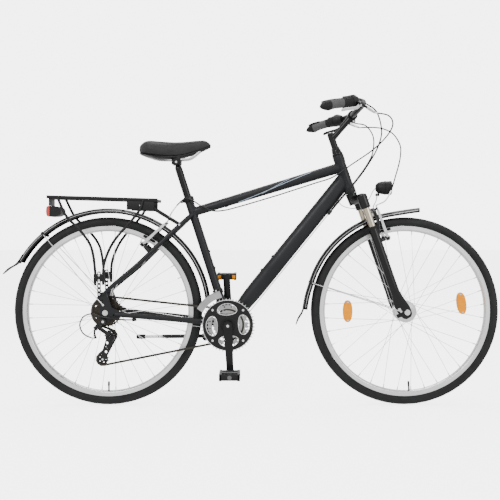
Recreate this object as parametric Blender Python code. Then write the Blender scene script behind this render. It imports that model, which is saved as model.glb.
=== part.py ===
# Trekking bike: diamond frame, sprung fork, rack, mudguards and dynamo light.
# Metres, +Z up, +X forward, the chain side at -Y.
# The origin lies on the ground, midway along the whole length.
# Shapes are written in the bike's own frame: x forward of the rear axle, y to the left, z above the ground.

import math

import bmesh
import bpy
from mathutils import Matrix, Vector

# Driving sizes

WHEEL_RADIUS = 0.350
TYRE_WIDTH = 0.038
WHEELBASE = 1.105
HEAD_ANGLE = math.radians(70.7)
FORK_RAKE = 0.0445
SEAT_ANGLE = math.radians(72.3)
BRACKET_X = 0.447
BRACKET_Z = 0.303
SEAT_TUBE_LENGTH = 0.497
HEAD_TUBE_LOW = 0.481
HEAD_TUBE_LENGTH = 0.149
CRANK_LENGTH = 0.170
CRANK_REST = math.radians(2.9)
SADDLE_LENGTH = 0.266
HANDLEBAR_HALF = 0.300
DROPOUT_HALF_REAR = 0.0675
FLAP_REACH = 0.3935

# Fits

GAP = 0.0003
RUNNING = 0.0004

# Tubes

HEAD_RADIUS = 0.0212
HEAD_WAIST = 0.0190
STEERER_RADIUS = 0.0143
QUILL_RADIUS = 0.0127
SEAT_TUBE_RADIUS = 0.0160
SEATPOST_RADIUS = 0.0136
DOWN_HALF_DEPTH = 0.0300
DOWN_HALF_WIDTH = 0.0220
DOWN_FOOT_HALF = 0.0190
DOWN_FOOT_AHEAD = 0.0100
TOP_HALF_FRONT = 0.0195
TOP_HALF_REAR = 0.0165
STAY_RADIUS = 0.0085
SHELL_RADIUS = 0.0200
SHELL_HALF = 0.0340
DROPOUT_THICK = 0.0060
AXLE_RADIUS = 0.0050
BRIDGE_X = 0.2520
BRIDGE_Z = 0.6545
BRIDGE_RADIUS = 0.0065
CRANK_AXLE_RADIUS = 0.0085

# Places along the steering axis, measured up from level with the front axle

DOWN_TUBE_HEAD = 0.540
TOP_TUBE_HEAD = 0.5845
TOP_TUBE_SEAT = 0.436
CROWN_LOW = 0.437
CROWN_HIGH = 0.4735
LEG_OFFSET = 0.0255
LEG_SPREAD = 0.0630
LEG_TOP = 0.331
LEG_RADIUS = 0.0165
STANCHION_RADIUS = 0.0130
STANCHION_LOW = 0.175
LUG_LOW = 0.411
LUG_HIGH = 0.464
FORK_TRAVEL = 0.050
ARCH_OFFSET = 0.0545
ARCH_HIGH = 0.394
ARCH_RADIUS = 0.0067

# Wheels

BEAD_ANGLE = math.radians(44)
TYRE_STEPS = 4
RIM_OUTER = 0.3175
RIM_INNER = 0.2975
RIM_HALF = 0.0120
SPOKE_COUNT = 36
SPOKE_RADIUS = 0.0011
WHEEL_STEPS = 36
HUB_STEPS = 18
HEAD_SIDES = 14
SEAT_SIDES = 12
SHELL_SIDES = 14
BAR_SIDES = 12
SPOKE_LEAD = math.radians(40)
REAR_FLANGE = 0.0225
FRONT_FLANGE = 0.0400
REAR_FLANGE_RIGHT = -0.0180
REAR_FLANGE_LEFT = 0.0340
FRONT_FLANGE_HALF = 0.0260
REFLECTOR_RADIUS = 0.213

# Mudguards

GUARD_RADIUS = 0.383
FRONT_GUARD_RADIUS = 0.3735
GUARD_HALF = 0.0255
GUARD_SKIRT = 0.0165
GUARD_THICK = 0.0018

# Drivetrain

PITCH = 0.0127
RINGS = (48, 38, 28)
COGS = (28, 24, 22, 20, 18, 16, 14)
RING_PITCH_Y = 0.0070
INNER_RING_Y = -0.0410
COG_PITCH_Y = 0.0050
LARGE_COG_Y = -0.0310
PULLEY_TEETH = 11
TOOTH_HEIGHT = 0.0035
PLATE_HALF = 0.0042
PLATE_THICK = 0.0010
PLATE_INNER = 0.0015
GUIDE_PULLEY = (0.012, 0.262)
TENSION_PULLEY = (-0.0166, 0.1748)
CAGE_PIVOT = (0.0209, 0.2556)
LINK_REAR = Vector((-0.0300, -(DROPOUT_HALF_REAR + 0.0135), 0.3030))
LINK_FRONT = Vector((0.0100, -0.0610, 0.2700))

# Brakes

ARM_SPREAD = 0.0420
ARM_LENGTH = 0.110
ARM_HALF = 0.0045
BRAKE_STUD_RADIUS = 0.0040
BRAKE_TRACK = 0.3095
PAD_TOUCH = 0.0002
PAD_ABOVE_PIVOT = 0.0270
BRAKE_SWING = math.radians(4.0)
FRONT_ARM_PLANE = 0.0245
REAR_ARM_PLANE = 0.0948

# Cables

HOUSING = 0.0024
WIRE = 0.0010
NOODLE = 0.0026
CABLE_STOP = 0.560
STOP_SPREAD = 0.0150
STAY_STOP_X = 0.1050
CABLE_END = 0.0010

# Rack

RACK_REAR_X = -0.215
RACK_FRONT_X = 0.192
RACK_REAR_Z = 0.7735
RACK_FRONT_Z = 0.7615
RACK_HALF = 0.0620
RACK_ROD = 0.0050

# Values worked out from the driving sizes

REAR_HUB_LEFT = DROPOUT_HALF_REAR - 0.0075
REAR_AXLE_X = -(WHEELBASE + WHEEL_RADIUS - FLAP_REACH) / 2
LEAN = math.pi / 2 - HEAD_ANGLE
SEAT_LEAN = math.pi / 2 - SEAT_ANGLE
SADDLE_REAR = 0.119
STAY_ANGLE = math.radians(42.5)
LATERAL = Vector((0, 1, 0))


def at(x, y, z):
    """World point of a place given from the rear axle, the middle plane and the ground."""
    return Vector((REAR_AXLE_X + x, y, z))


def steer(n, y, s):
    """Point n ahead of the steering axis and s up along it, level with the front axle at s = 0."""
    foot_x = WHEELBASE - FORK_RAKE * math.cos(LEAN)
    foot_z = WHEEL_RADIUS - FORK_RAKE * math.sin(LEAN)
    x = foot_x + n * math.cos(LEAN) - s * math.sin(LEAN)
    z = foot_z + n * math.sin(LEAN) + s * math.cos(LEAN)
    return at(x, y, z)


def seat(n, y, s):
    """Point n ahead of the seat tube's axis and s up along it from the bottom bracket."""
    x = BRACKET_X + n * math.cos(SEAT_LEAN) - s * math.sin(SEAT_LEAN)
    z = BRACKET_Z + n * math.sin(SEAT_LEAN) + s * math.cos(SEAT_LEAN)
    return at(x, y, z)


def stay(n, y, s):
    """Point n behind the seat stays' direction and s up along it, from the rear axle."""
    x = -n * math.sin(STAY_ANGLE) + s * math.cos(STAY_ANGLE)
    z = WHEEL_RADIUS + n * math.cos(STAY_ANGLE) + s * math.sin(STAY_ANGLE)
    return at(x, y, z)


def fork_brake(n, y, s):
    """The front brake's frame: like steer, but measured from the front axle."""
    return steer(FORK_RAKE + n, y, s)


# Mesh tools


def solid(name, vertices, faces):
    """Mesh object from vertices and faces, with its faces turned outward."""
    mesh = bpy.data.meshes.new(name)
    mesh.from_pydata([tuple(v) for v in vertices], [], faces)
    work = bmesh.new()
    work.from_mesh(mesh)
    bmesh.ops.recalc_face_normals(work, faces=work.faces)
    if work.calc_volume(signed=True) < 0:
        bmesh.ops.reverse_faces(work, faces=work.faces)
    work.to_mesh(mesh)
    work.free()
    obj = bpy.data.objects.new(name, mesh)
    bpy.context.scene.collection.objects.link(obj)
    return obj


def combine(base, tools, operation):
    """Apply a Boolean of each tool to base, and remove the tools."""
    for tool in tools:
        step = base.modifiers.new("step", "BOOLEAN")
        step.operation = operation
        step.solver = "EXACT"
        step.object = tool
        graph = bpy.context.evaluated_depsgraph_get()
        result = bpy.data.meshes.new_from_object(base.evaluated_get(graph))
        base.modifiers.clear()
        old = base.data
        base.data = result
        bpy.data.meshes.remove(old)
        spent = tool.data
        bpy.data.objects.remove(tool)
        bpy.data.meshes.remove(spent)
    return base


def fuse(base, *tools):
    return combine(base, tools, "UNION")


def cut(base, *tools):
    return combine(base, tools, "DIFFERENCE")


def frames(path, lateral, closed):
    """Two axes across the path at each of its points: u in the plane of the bend and v sideways."""
    count = len(path)
    tangents = []
    for i in range(count):
        before = path[i - 1] if closed or i > 0 else path[i]
        after = path[(i + 1) % count] if closed or i < count - 1 else path[i]
        tangents.append((after - before).normalized())
    axes = []
    side = lateral or tangents[0].orthogonal()
    for tangent in tangents:
        across = side - tangent * side.dot(tangent)
        across.normalize()
        if lateral is None:
            side = across
        axes.append((across.cross(tangent), across))
    return axes


def sweep(path, sections, lateral=None, closed=False):
    """Closed solid through one section per path point; a section holds (u, v) offsets."""
    vertices = []
    for point, (u, v), section in zip(path, frames(path, lateral, closed), sections):
        vertices += [point + u * a + v * b for a, b in section]
    size = len(sections[0])
    count = len(path)
    faces = []
    for i in range(count if closed else count - 1):
        low = i * size
        high = ((i + 1) % count) * size
        for j in range(size):
            k = (j + 1) % size
            faces.append((low + j, low + k, high + k, high + j))
    if not closed:
        faces.append(tuple(range(size)))
        faces.append(tuple(range((count - 1) * size, count * size)))
    return solid("sweep", vertices, faces)


def ellipse(half_u, half_v, sides):
    turn = 2 * math.pi / sides
    start = turn / 2
    return [(half_u * math.cos(start + turn * i), half_v * math.sin(start + turn * i)) for i in range(sides)]


def rectangle(half_u, half_v):
    return [(-half_u, -half_v), (half_u, -half_v), (half_u, half_v), (-half_u, half_v)]


def rod(path, radius, sides=8, closed=False):
    """Round bar along a path."""
    return sweep(path, [ellipse(radius, radius, sides)] * len(path), None, closed)


def tube(stations, sides=10):
    """Bar along the middle plane's direction; each station is (point, half height, half width)."""
    path = [station[0] for station in stations]
    sections = [ellipse(up, across, sides) for _, up, across in stations]
    return sweep(path, sections, LATERAL)


def bar(path, half_u, half_v):
    """Flat bar along a path, with half_v measured sideways."""
    return sweep(path, [rectangle(half_u, half_v)] * len(path), LATERAL)


def smooth(points, steps):
    """Smooth curve through the points, with the given number of steps in each span."""
    ends = [points[0] * 2 - points[1]] + list(points) + [points[-1] * 2 - points[-2]]
    curve = []
    for i in range(1, len(ends) - 2):
        a, b, c, d = ends[i - 1], ends[i], ends[i + 1], ends[i + 2]
        for k in range(steps):
            t = k / steps
            curve.append(
                b + (c - a) * (t / 2) + (a * 2 - b * 5 + c * 4 - d) * (t * t / 2)
                + (b * 3 - a - c * 3 + d) * (t * t * t / 2)
            )
    curve.append(ends[-2])
    return curve


def turned(profile, centre, axis, segments, phase=0.0):
    """Solid of revolution; profile points are (radius, distance along the axis)."""
    axis = axis.normalized()
    reference = Vector((1, 0, 0)) if abs(axis.x) < 0.9 else Vector((0, 0, 1))
    u = (reference - axis * reference.dot(axis)).normalized()
    v = axis.cross(u)
    vertices = []
    rings = []
    for radius, height in profile:
        base = centre + axis * height
        if radius == 0:
            rings.append([len(vertices)])
            vertices.append(base)
            continue
        ring = []
        for i in range(segments):
            angle = phase + 2 * math.pi * i / segments
            ring.append(len(vertices))
            vertices.append(base + u * (radius * math.cos(angle)) + v * (radius * math.sin(angle)))
        rings.append(ring)
    faces = []
    open_ends = len(rings[0]) == 1
    for index in range(len(rings) - 1 if open_ends else len(rings)):
        low = rings[index]
        high = rings[(index + 1) % len(rings)]
        for i in range(segments):
            k = (i + 1) % segments
            corners = [low[i % len(low)], low[k % len(low)], high[k % len(high)], high[i % len(high)]]
            faces.append(tuple(dict.fromkeys(corners)))
    return solid("turned", vertices, faces)


def disc(start, end, radius, sides=16):
    """Plain cylinder between two points."""
    length = (end - start).length
    return turned([(0, 0), (radius, 0), (radius, length), (0, length)], start, end - start, sides)


def ring(start, end, outer, inner, sides=24):
    """Plain sleeve between two points."""
    length = (end - start).length
    profile = [(inner, 0), (outer, 0), (outer, length), (inner, length)]
    return turned(profile, start, end - start, sides)


def block(centre, size, u=Vector((1, 0, 0)), v=LATERAL):
    """Box with its length along u, its width along v and its height across both."""
    w = u.cross(v)
    vertices = []
    for a in (-0.5, 0.5):
        for b in (-0.5, 0.5):
            for c in (-0.5, 0.5):
                vertices.append(centre + u * (a * size[0]) + v * (b * size[1]) + w * (c * size[2]))
    faces = [(0, 1, 3, 2), (4, 6, 7, 5), (0, 4, 5, 1), (2, 3, 7, 6), (0, 2, 6, 4), (1, 5, 7, 3)]
    return solid("block", vertices, faces)


def plate(outline, near, far):
    """Flat plate: near and far place an outline point (a, b) on its two faces."""
    vertices = [near(a, b) for a, b in outline] + [far(a, b) for a, b in outline]
    size = len(outline)
    faces = [tuple(range(size)), tuple(range(size, 2 * size))]
    for j in range(size):
        k = (j + 1) % size
        faces.append((j, k, size + k, size + j))
    return solid("plate", vertices, faces)


def side_plate(outline, low_y, high_y):
    """Plate lying in the bike's long plane; the outline holds (x, z)."""
    return plate(outline, lambda a, b: at(a, low_y, b), lambda a, b: at(a, high_y, b))


def arc(centre, radius, start, end, count):
    """Points of a circular arc, from angle start to angle end in degrees."""
    points = []
    for i in range(count + 1):
        angle = math.radians(start + (end - start) * i / count)
        points.append((centre[0] + radius * math.cos(angle), centre[1] + radius * math.sin(angle)))
    return points


# Materials and placing


def material(name, colour, roughness, metallic):
    made = bpy.data.materials.new(name)
    made.use_nodes = True
    shader = made.node_tree.nodes["Principled BSDF"]
    shader.inputs["Base Color"].default_value = (*colour, 1.0)
    shader.inputs["Roughness"].default_value = roughness
    shader.inputs["Metallic"].default_value = metallic
    made.diffuse_color = (*colour, 1.0)
    return made


BLACK_PAINT = (0.030, 0.030, 0.033)
GLOSS_BLACK = (0.012, 0.012, 0.013)
BLACK_PLASTIC = (0.022, 0.022, 0.024)
BLACK_RUBBER = (0.018, 0.018, 0.018)
GREY_RUBBER = (0.36, 0.35, 0.36)
DARK_VINYL = (0.050, 0.052, 0.058)
SILVER = (0.62, 0.62, 0.63)
BRIGHT_STEEL = (0.70, 0.70, 0.71)
DARK_STEEL = (0.085, 0.080, 0.075)
CHAIN_BROWN = (0.17, 0.145, 0.115)
BLUSH_STEEL = (0.72, 0.66, 0.55)
RED_LENS = (0.55, 0.02, 0.02)


def joint_origin(name, point, tilt=0.0):
    """Empty on a joint's axis, leaning forward by tilt about the sideways axis."""
    empty = bpy.data.objects.new(name, None)
    empty.location = point
    empty.rotation_euler = (0.0, tilt, 0.0)
    bpy.context.scene.collection.objects.link(empty)
    bpy.context.view_layer.update()
    return empty


def keep(obj, name, colour, roughness, metallic, origin):
    """Name a finished piece, give it its material and hang it on its joint's empty."""
    obj.name = name
    obj.data.name = name
    obj.data.materials.clear()
    obj.data.materials.append(material(name, colour, roughness, metallic))
    obj.data.transform(origin.matrix_world.inverted())
    obj.parent = origin
    obj.data.shade_smooth()
    obj.data.set_sharp_from_angle(angle=math.radians(35))
    return obj


# Frame tubes


def head_profile(extra):
    """Outline of the head tube: thicker at both ends than at its waist."""
    low = HEAD_TUBE_LOW
    high = HEAD_TUBE_LOW + HEAD_TUBE_LENGTH
    return [
        (HEAD_RADIUS + extra, low),
        (HEAD_RADIUS + extra, low + 0.018),
        (HEAD_WAIST + extra, low + 0.034),
        (HEAD_WAIST + extra, high - 0.034),
        (HEAD_RADIUS + extra, high - 0.018),
        (HEAD_RADIUS + extra, high),
    ]


def steering_direction():
    return (steer(0, 0, 1) - steer(0, 0, 0)).normalized()


def head_envelope():
    profile = head_profile(GAP)
    closed_profile = [(0, profile[0][1] - 0.02), (profile[0][0], profile[0][1] - 0.02)]
    closed_profile += profile[1:-1]
    closed_profile += [(profile[-1][0], profile[-1][1] + 0.02), (0, profile[-1][1] + 0.02)]
    return turned(closed_profile, steer(0, 0, 0), steering_direction(), HEAD_SIDES)


def head_tube():
    outer = head_profile(0.0)
    bore = STEERER_RADIUS + RUNNING
    profile = outer + [(bore, outer[-1][1]), (bore, outer[0][1])]
    return turned(profile, steer(0, 0, 0), steering_direction(), HEAD_SIDES)


def seat_tube_envelope(extra):
    return disc(seat(0, 0, -0.06), seat(0, 0, SEAT_TUBE_LENGTH + 0.02), SEAT_TUBE_RADIUS + extra, SEAT_SIDES)


def shell_envelope(extra):
    low = at(BRACKET_X, -SHELL_HALF - 0.01, BRACKET_Z)
    high = at(BRACKET_X, SHELL_HALF + 0.01, BRACKET_Z)
    return disc(low, high, SHELL_RADIUS + extra, SHELL_SIDES)


def seat_tube():
    """Seat tube with the bottom bracket shell, its cartridge and the front derailleur's band."""
    direction = (seat(0, 0, 1) - seat(0, 0, 0)).normalized()
    bore = SEATPOST_RADIUS + RUNNING
    band = SEAT_TUBE_RADIUS + 0.0035
    profile = [(0, 0.012), (SEAT_TUBE_RADIUS, 0.012), (SEAT_TUBE_RADIUS, 0.118), (band, 0.118), (band, 0.134),
               (SEAT_TUBE_RADIUS, 0.134), (SEAT_TUBE_RADIUS, SEAT_TUBE_LENGTH), (bore, SEAT_TUBE_LENGTH),
               (bore, 0.200),
               (0, 0.200)]
    body = turned(profile, seat(0, 0, 0), direction, SEAT_SIDES)
    half = LATERAL * SHELL_HALF
    middle = at(BRACKET_X, 0, BRACKET_Z)
    mast = block(seat(0.004, -0.0205, 0.126), (0.016, 0.011, 0.0120), LATERAL.cross(direction), LATERAL)
    body = fuse(body, mast, disc(middle - half, middle + half, SHELL_RADIUS, SHELL_SIDES))
    return cut(body, disc(middle - half * 1.2, middle + half * 1.2, CRANK_AXLE_RADIUS + RUNNING, 12))


def down_tube_stations(extra):
    foot = at(BRACKET_X, 0, BRACKET_Z)
    head = steer(0, 0, DOWN_TUBE_HEAD)
    along = head - foot
    start = DOWN_FOOT_AHEAD / along.length
    shares = ((start, DOWN_FOOT_HALF, DOWN_FOOT_HALF), (0.10, 0.0245, 0.0205),
              (0.22, DOWN_HALF_DEPTH, DOWN_HALF_WIDTH),
              (0.80, DOWN_HALF_DEPTH, DOWN_HALF_WIDTH), (1.0, DOWN_HALF_DEPTH, 0.0170))
    return [(foot + along * share, up + extra, across + extra) for share, up, across in shares]


def boss_pair(foot, direction, normal, distances, depth, height, radius=0.0055):
    """Flat-topped bosses for a bottle cage, standing out of a tube."""
    bosses = []
    for distance in distances:
        base = foot + direction * distance + normal * depth
        bosses.append(disc(base - normal * 0.006, base + normal * height, radius, 10))
    return bosses


def under_down_tube(distance, y):
    """Point on a cable's line below the down tube, a distance up from the bottom bracket."""
    foot = at(BRACKET_X, 0, BRACKET_Z)
    along = (steer(0, 0, DOWN_TUBE_HEAD) - foot).normalized()
    upward = Vector((-along.z, 0, along.x))
    return foot + along * distance - upward * (DOWN_HALF_DEPTH + 0.0040) + LATERAL * y


def down_tube():
    stations = down_tube_stations(0.0)
    foot = at(BRACKET_X, 0, BRACKET_Z)
    along = (stations[-1][0] - foot).normalized()
    upward = Vector((-along.z, 0, along.x))
    body = tube(stations)
    body = fuse(body, *boss_pair(foot, along, upward, (0.235, 0.299), DOWN_HALF_DEPTH, 0.0022))
    stop = block(foot + along * CABLE_STOP - upward * (DOWN_HALF_DEPTH + 0.001), (0.016, 0.044, 0.014), along)
    body = fuse(body, stop)
    for side in (-1, 1):
        start = under_down_tube(CABLE_STOP - 0.015, side * STOP_SPREAD)
        body = cut(body, disc(start, start + along * 0.030, HOUSING + 0.0008, 8))
    return cut(body, shell_envelope(GAP), seat_tube_envelope(GAP), head_envelope())


def top_tube_stations(extra):
    rear = seat(0, 0, TOP_TUBE_SEAT)
    head = steer(0, 0, TOP_TUBE_HEAD)
    along = head - rear
    return [
        (rear, TOP_HALF_REAR + extra, 0.0152 + extra),
        (rear + along * 0.5, 0.0175 + extra, 0.0165 + extra),
        (head, TOP_HALF_FRONT + extra, 0.0175 + extra),
    ]


def top_tube():
    body = tube(top_tube_stations(0.0))
    return cut(body, head_envelope(), seat_tube_envelope(GAP), tube(down_tube_stations(GAP)))


# Rear triangle


def dropout_outline():
    """Fork end plate in side view: hanger below, seat stay lug above and chain stay lug ahead."""
    foot = arc((-0.006, WHEEL_RADIUS - 0.030), 0.0125, 180, 300, 4)
    lug = [(0.030, WHEEL_RADIUS - 0.020), (0.056, WHEEL_RADIUS - 0.018), (0.056, WHEEL_RADIUS + 0.004)]
    top = [(0.024, WHEEL_RADIUS + 0.020), (0.006, WHEEL_RADIUS + 0.070), (-0.012, WHEEL_RADIUS + 0.076)]
    back = [(-0.030, WHEEL_RADIUS + 0.058), (-0.020, WHEEL_RADIUS + 0.012), (-0.020, WHEEL_RADIUS - 0.012)]
    return foot + lug + top + back


def stay_side_path(side):
    """One chain stay from the bottom bracket to its dropout."""
    middle = DROPOUT_HALF_REAR + DROPOUT_THICK / 2
    points = ((0.428, 0.0235, 0.306), (0.385, 0.0315, 0.310), (0.250, 0.0475, 0.325),
              (0.060, middle - 0.0015, 0.342), (0.040, middle, 0.344))
    return [at(x, side * y, z) for x, y, z in points]


KICKSTAND_PIVOT = at(0.357, 0.0455, 0.2505)
KICKSTAND_FOLDED = Vector((-0.985, 0.150, -0.030)).normalized()
KICKSTAND_DOWN = Vector((0.130, 0.460, -0.878)).normalized()
KICKSTAND_LEAN = Vector((-0.159, 0.980, 0.121))
KICKSTAND_LENGTH = 0.262


def kickstand_axis():
    """Hinge axis that carries the folded direction to the one it has when it is down."""
    apart = KICKSTAND_FOLDED - KICKSTAND_DOWN
    share = KICKSTAND_LEAN.dot(apart) / apart.length_squared
    return (KICKSTAND_LEAN - apart * share).normalized()


def chain_stays():
    body = None
    for side in (-1, 1):
        path = stay_side_path(side)
        halves = ((0.0105, 0.0065), (0.0110, 0.0060), (0.0105, 0.0080), (0.0085, 0.0065), (0.0080, 0.0060))
        one = tube([(point, up, across) for point, (up, across) in zip(path, halves)], 8)
        inner = side * DROPOUT_HALF_REAR
        outer = side * (DROPOUT_HALF_REAR + DROPOUT_THICK)
        one = fuse(one, side_plate(dropout_outline(), inner, outer))
        body = one if body is None else fuse(body, one)
    bridge = block(at(0.392, 0, 0.309), (0.016, 0.060, 0.012))
    hanger = block(at(0.372, 0.0300, 0.2860), (0.026, 0.012, 0.042))
    hinge = kickstand_axis()
    lower = disc(KICKSTAND_PIVOT - hinge * 0.026, KICKSTAND_PIVOT - hinge * 0.0085, 0.0125, 12)
    web = block(at(0.366, 0.0280, 0.2600), (0.024, 0.012, 0.020))
    body = fuse(body, bridge, hanger, web, lower)
    axle_hole = disc(at(0, -0.09, WHEEL_RADIUS), at(0, 0.09, WHEEL_RADIUS), AXLE_RADIUS + GAP, 12)
    pin = disc(KICKSTAND_PIVOT - hinge * 0.020, KICKSTAND_PIVOT + hinge * 0.012, 0.0045, 10)
    body = cut(body, axle_hole)
    body = fuse(body, pin, block(at(STAY_STOP_X, -0.0650, 0.3255), (0.0160, 0.0110, 0.0130)))
    body = cut(body, disc(at(STAY_STOP_X - 0.02, -0.0662, 0.3236), at(STAY_STOP_X + 0.02, -0.0622, 0.3252),
                          HOUSING + 0.0011, 8))
    return cut(body, shell_envelope(GAP), seat_tube_envelope(GAP))


def seat_stay_path(side):
    middle = DROPOUT_HALF_REAR + DROPOUT_THICK / 2
    points = ((-0.006, middle, 0.4190), (0.030, middle - 0.0005, 0.4520), (0.108, 0.0610, 0.5170),
              (0.168, 0.0510, 0.5735), (0.234, 0.0395, 0.6370), (0.290, 0.0265, 0.6890),
              (0.312, 0.0200, 0.7090))
    return [at(x, side * y, z) for x, y, z in points]


def rear_boss(side):
    base = stay(REAR_ARM_PLANE - 0.050, side * 0.0490, rear_pivot())
    pivot = stay(REAR_ARM_PLANE - 0.0095, side * ARM_SPREAD, rear_pivot())
    tip = stay(REAR_ARM_PLANE + 0.0080, side * ARM_SPREAD, rear_pivot())
    return [disc(base, pivot, 0.0075, 6), disc(pivot - (tip - pivot) * 0.2, tip, BRAKE_STUD_RADIUS, 8)]


def seat_stays():
    body = None
    for side in (-1, 1):
        one = rod(seat_stay_path(side), STAY_RADIUS, 7)
        one = fuse(one, *rear_boss(side))
        body = one if body is None else fuse(body, one)
    bridge = disc(at(BRIDGE_X, -0.034, BRIDGE_Z), at(BRIDGE_X, 0.034, BRIDGE_Z), BRIDGE_RADIUS, 6)
    body = fuse(body, bridge)
    for side in (-1, 1):
        inner = side * (DROPOUT_HALF_REAR - GAP)
        outer = side * (DROPOUT_HALF_REAR + DROPOUT_THICK + GAP)
        grown = [(x * 1.02, WHEEL_RADIUS + (z - WHEEL_RADIUS) * 1.02) for x, z in dropout_outline()]
        cut(body, side_plate(grown, inner, outer))
    return cut(body, seat_tube_envelope(GAP))


def seat_clamp():
    low = SEAT_TUBE_LENGTH - 0.019
    high = SEAT_TUBE_LENGTH - 0.003
    body = disc(seat(0, 0, low), seat(0, 0, high), SEAT_TUBE_RADIUS + 0.0045, SEAT_SIDES)
    ears = block(seat(-0.024, 0, (low + high) / 2), (0.014, 0.018, 0.011))
    bolt = disc(seat(-0.0255, -0.014, (low + high) / 2), seat(-0.0255, 0.014, (low + high) / 2), 0.0035, 6)
    body = fuse(body, ears, bolt)
    return cut(body, disc(seat(0, 0, low - 0.01), seat(0, 0, high + 0.01), SEAT_TUBE_RADIUS + GAP,
                          SEAT_SIDES))


# Saddle and seatpost

SADDLE_PIVOT = seat(0, 0, 0.6300)


def seatpost():
    body = disc(seat(0, 0, 0.330), seat(0, 0, 0.6190), SEATPOST_RADIUS, SEAT_SIDES)
    head = disc(SADDLE_PIVOT - LATERAL * 0.0145, SADDLE_PIVOT + LATERAL * 0.0145, 0.0125, 12)
    body = fuse(body, head)
    bore = disc(SADDLE_PIVOT - LATERAL * 0.02, SADDLE_PIVOT + LATERAL * 0.02, 0.0045 + RUNNING, 10)
    return cut(body, bore)


def saddle_width(t):
    """Half width of the saddle at share t of its length, from the tail to the nose."""
    flank = 0.5 - 0.5 * math.tanh((t - 0.42) * 6.2)
    tail = min(1.0, math.sqrt(max(0.0, t) / 0.16)) if t < 0.16 else 1.0
    nose = math.sqrt(max(0.0, (1.0 - t) / 0.10)) if t > 0.90 else 1.0
    return (0.0205 + 0.0595 * flank) * (0.30 + 0.70 * tail) * (0.34 + 0.66 * min(1.0, nose))


def saddle_top(t):
    """Height of the saddle's middle line: raised tail, dip and nose."""
    tail_drop = 0.022 * max(0.0, 1 - t / 0.13) ** 2
    nose_drop = 0.024 * max(0.0, (t - 0.88) / 0.12) ** 2
    return 0.9755 + 0.0040 * t + 0.0115 * abs(2 * t - 1) ** 1.5 - tail_drop - nose_drop


def saddle_hem(t):
    """Height of the seam between cover and shell."""
    return 0.9350 - 0.070 * t * (0.55 - t)


def saddle_section(t, top, bottom, width, crown):
    """One cross section: crowned top, drawn-in sides and a flat underside."""
    profile = []
    shape = ((-0.90, 0.0), (-1.0, 0.30), (-0.985, 0.62), (-0.84, 0.86), (-0.55, 0.965), (-0.25, 1.0),
             (0.0, 1.0 - crown),
             (0.25, 1.0), (0.55, 0.965), (0.84, 0.86), (0.985, 0.62), (1.0, 0.30), (0.90, 0.0))
    x = SADDLE_REAR + SADDLE_LENGTH * t
    for across, up in shape:
        profile.append(at(x, width * across, bottom + (top - bottom) * up))
    return profile


def loft(sections):
    size = len(sections[0])
    vertices = [point for section in sections for point in section]
    faces = [tuple(range(size)), tuple(range(len(vertices) - size, len(vertices)))]
    for i in range(len(sections) - 1):
        for j in range(size):
            k = (j + 1) % size
            faces.append((i * size + j, i * size + k, (i + 1) * size + k, (i + 1) * size + j))
    return solid("loft", vertices, faces)


SADDLE_SHARES = (0.0, 0.015, 0.05, 0.11, 0.20, 0.30, 0.39, 0.48, 0.58, 0.70, 0.82, 0.91, 0.965, 1.0)


def saddle_cushion():
    sections = []
    for t in SADDLE_SHARES:
        crown = 0.10 * math.exp(-((t - 0.42) / 0.30) ** 2)
        sections.append(saddle_section(t, saddle_top(t), saddle_hem(t), saddle_width(t), crown))
    return loft(sections)


def saddle_base():
    """Plastic shell under the cushion, with its steel rails and the clamp that grips them."""
    sections = []
    for t in SADDLE_SHARES:
        hem = saddle_hem(t) - GAP
        depth = 0.0165 - 0.0085 * t
        shape = ((-0.90, 0.0), (-0.93, -0.45), (-0.72, -0.85), (-0.40, -1.0), (0.40, -1.0), (0.72, -0.85),
                 (0.93, -0.45), (0.90, 0.0))
        x = SADDLE_REAR + SADDLE_LENGTH * t
        width = saddle_width(t)
        sections.append([at(x, width * across, hem + depth * down) for across, down in shape])
    body = loft(sections)
    half = ((0.156, 0.036, 0.9240), (0.168, 0.033, 0.9195), (0.186, 0.026, 0.9150), (0.212, 0.0225, 0.9130),
            (0.290, 0.0225, 0.9140), (0.318, 0.020, 0.9240), (0.346, 0.013, 0.9470), (0.356, 0.0, 0.9500))
    route = [at(x, -y, z) for x, y, z in half] + [at(x, y, z) for x, y, z in reversed(half[:-1])]
    rails = rod(route, 0.0035, 5)
    body = fuse(body, rails)
    for side in (-1, 1):
        rail_z = 0.9145
        centre = Vector((SADDLE_PIVOT.x, side * 0.0225, (SADDLE_PIVOT.z + rail_z) / 2))
        body = fuse(body, block(centre, (0.034, 0.0125, 0.030)))
    bolt = disc(SADDLE_PIVOT - LATERAL * 0.0245, SADDLE_PIVOT + LATERAL * 0.0245, 0.0045, 10)
    return fuse(body, bolt)


# Fork, stem and handlebar


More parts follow.
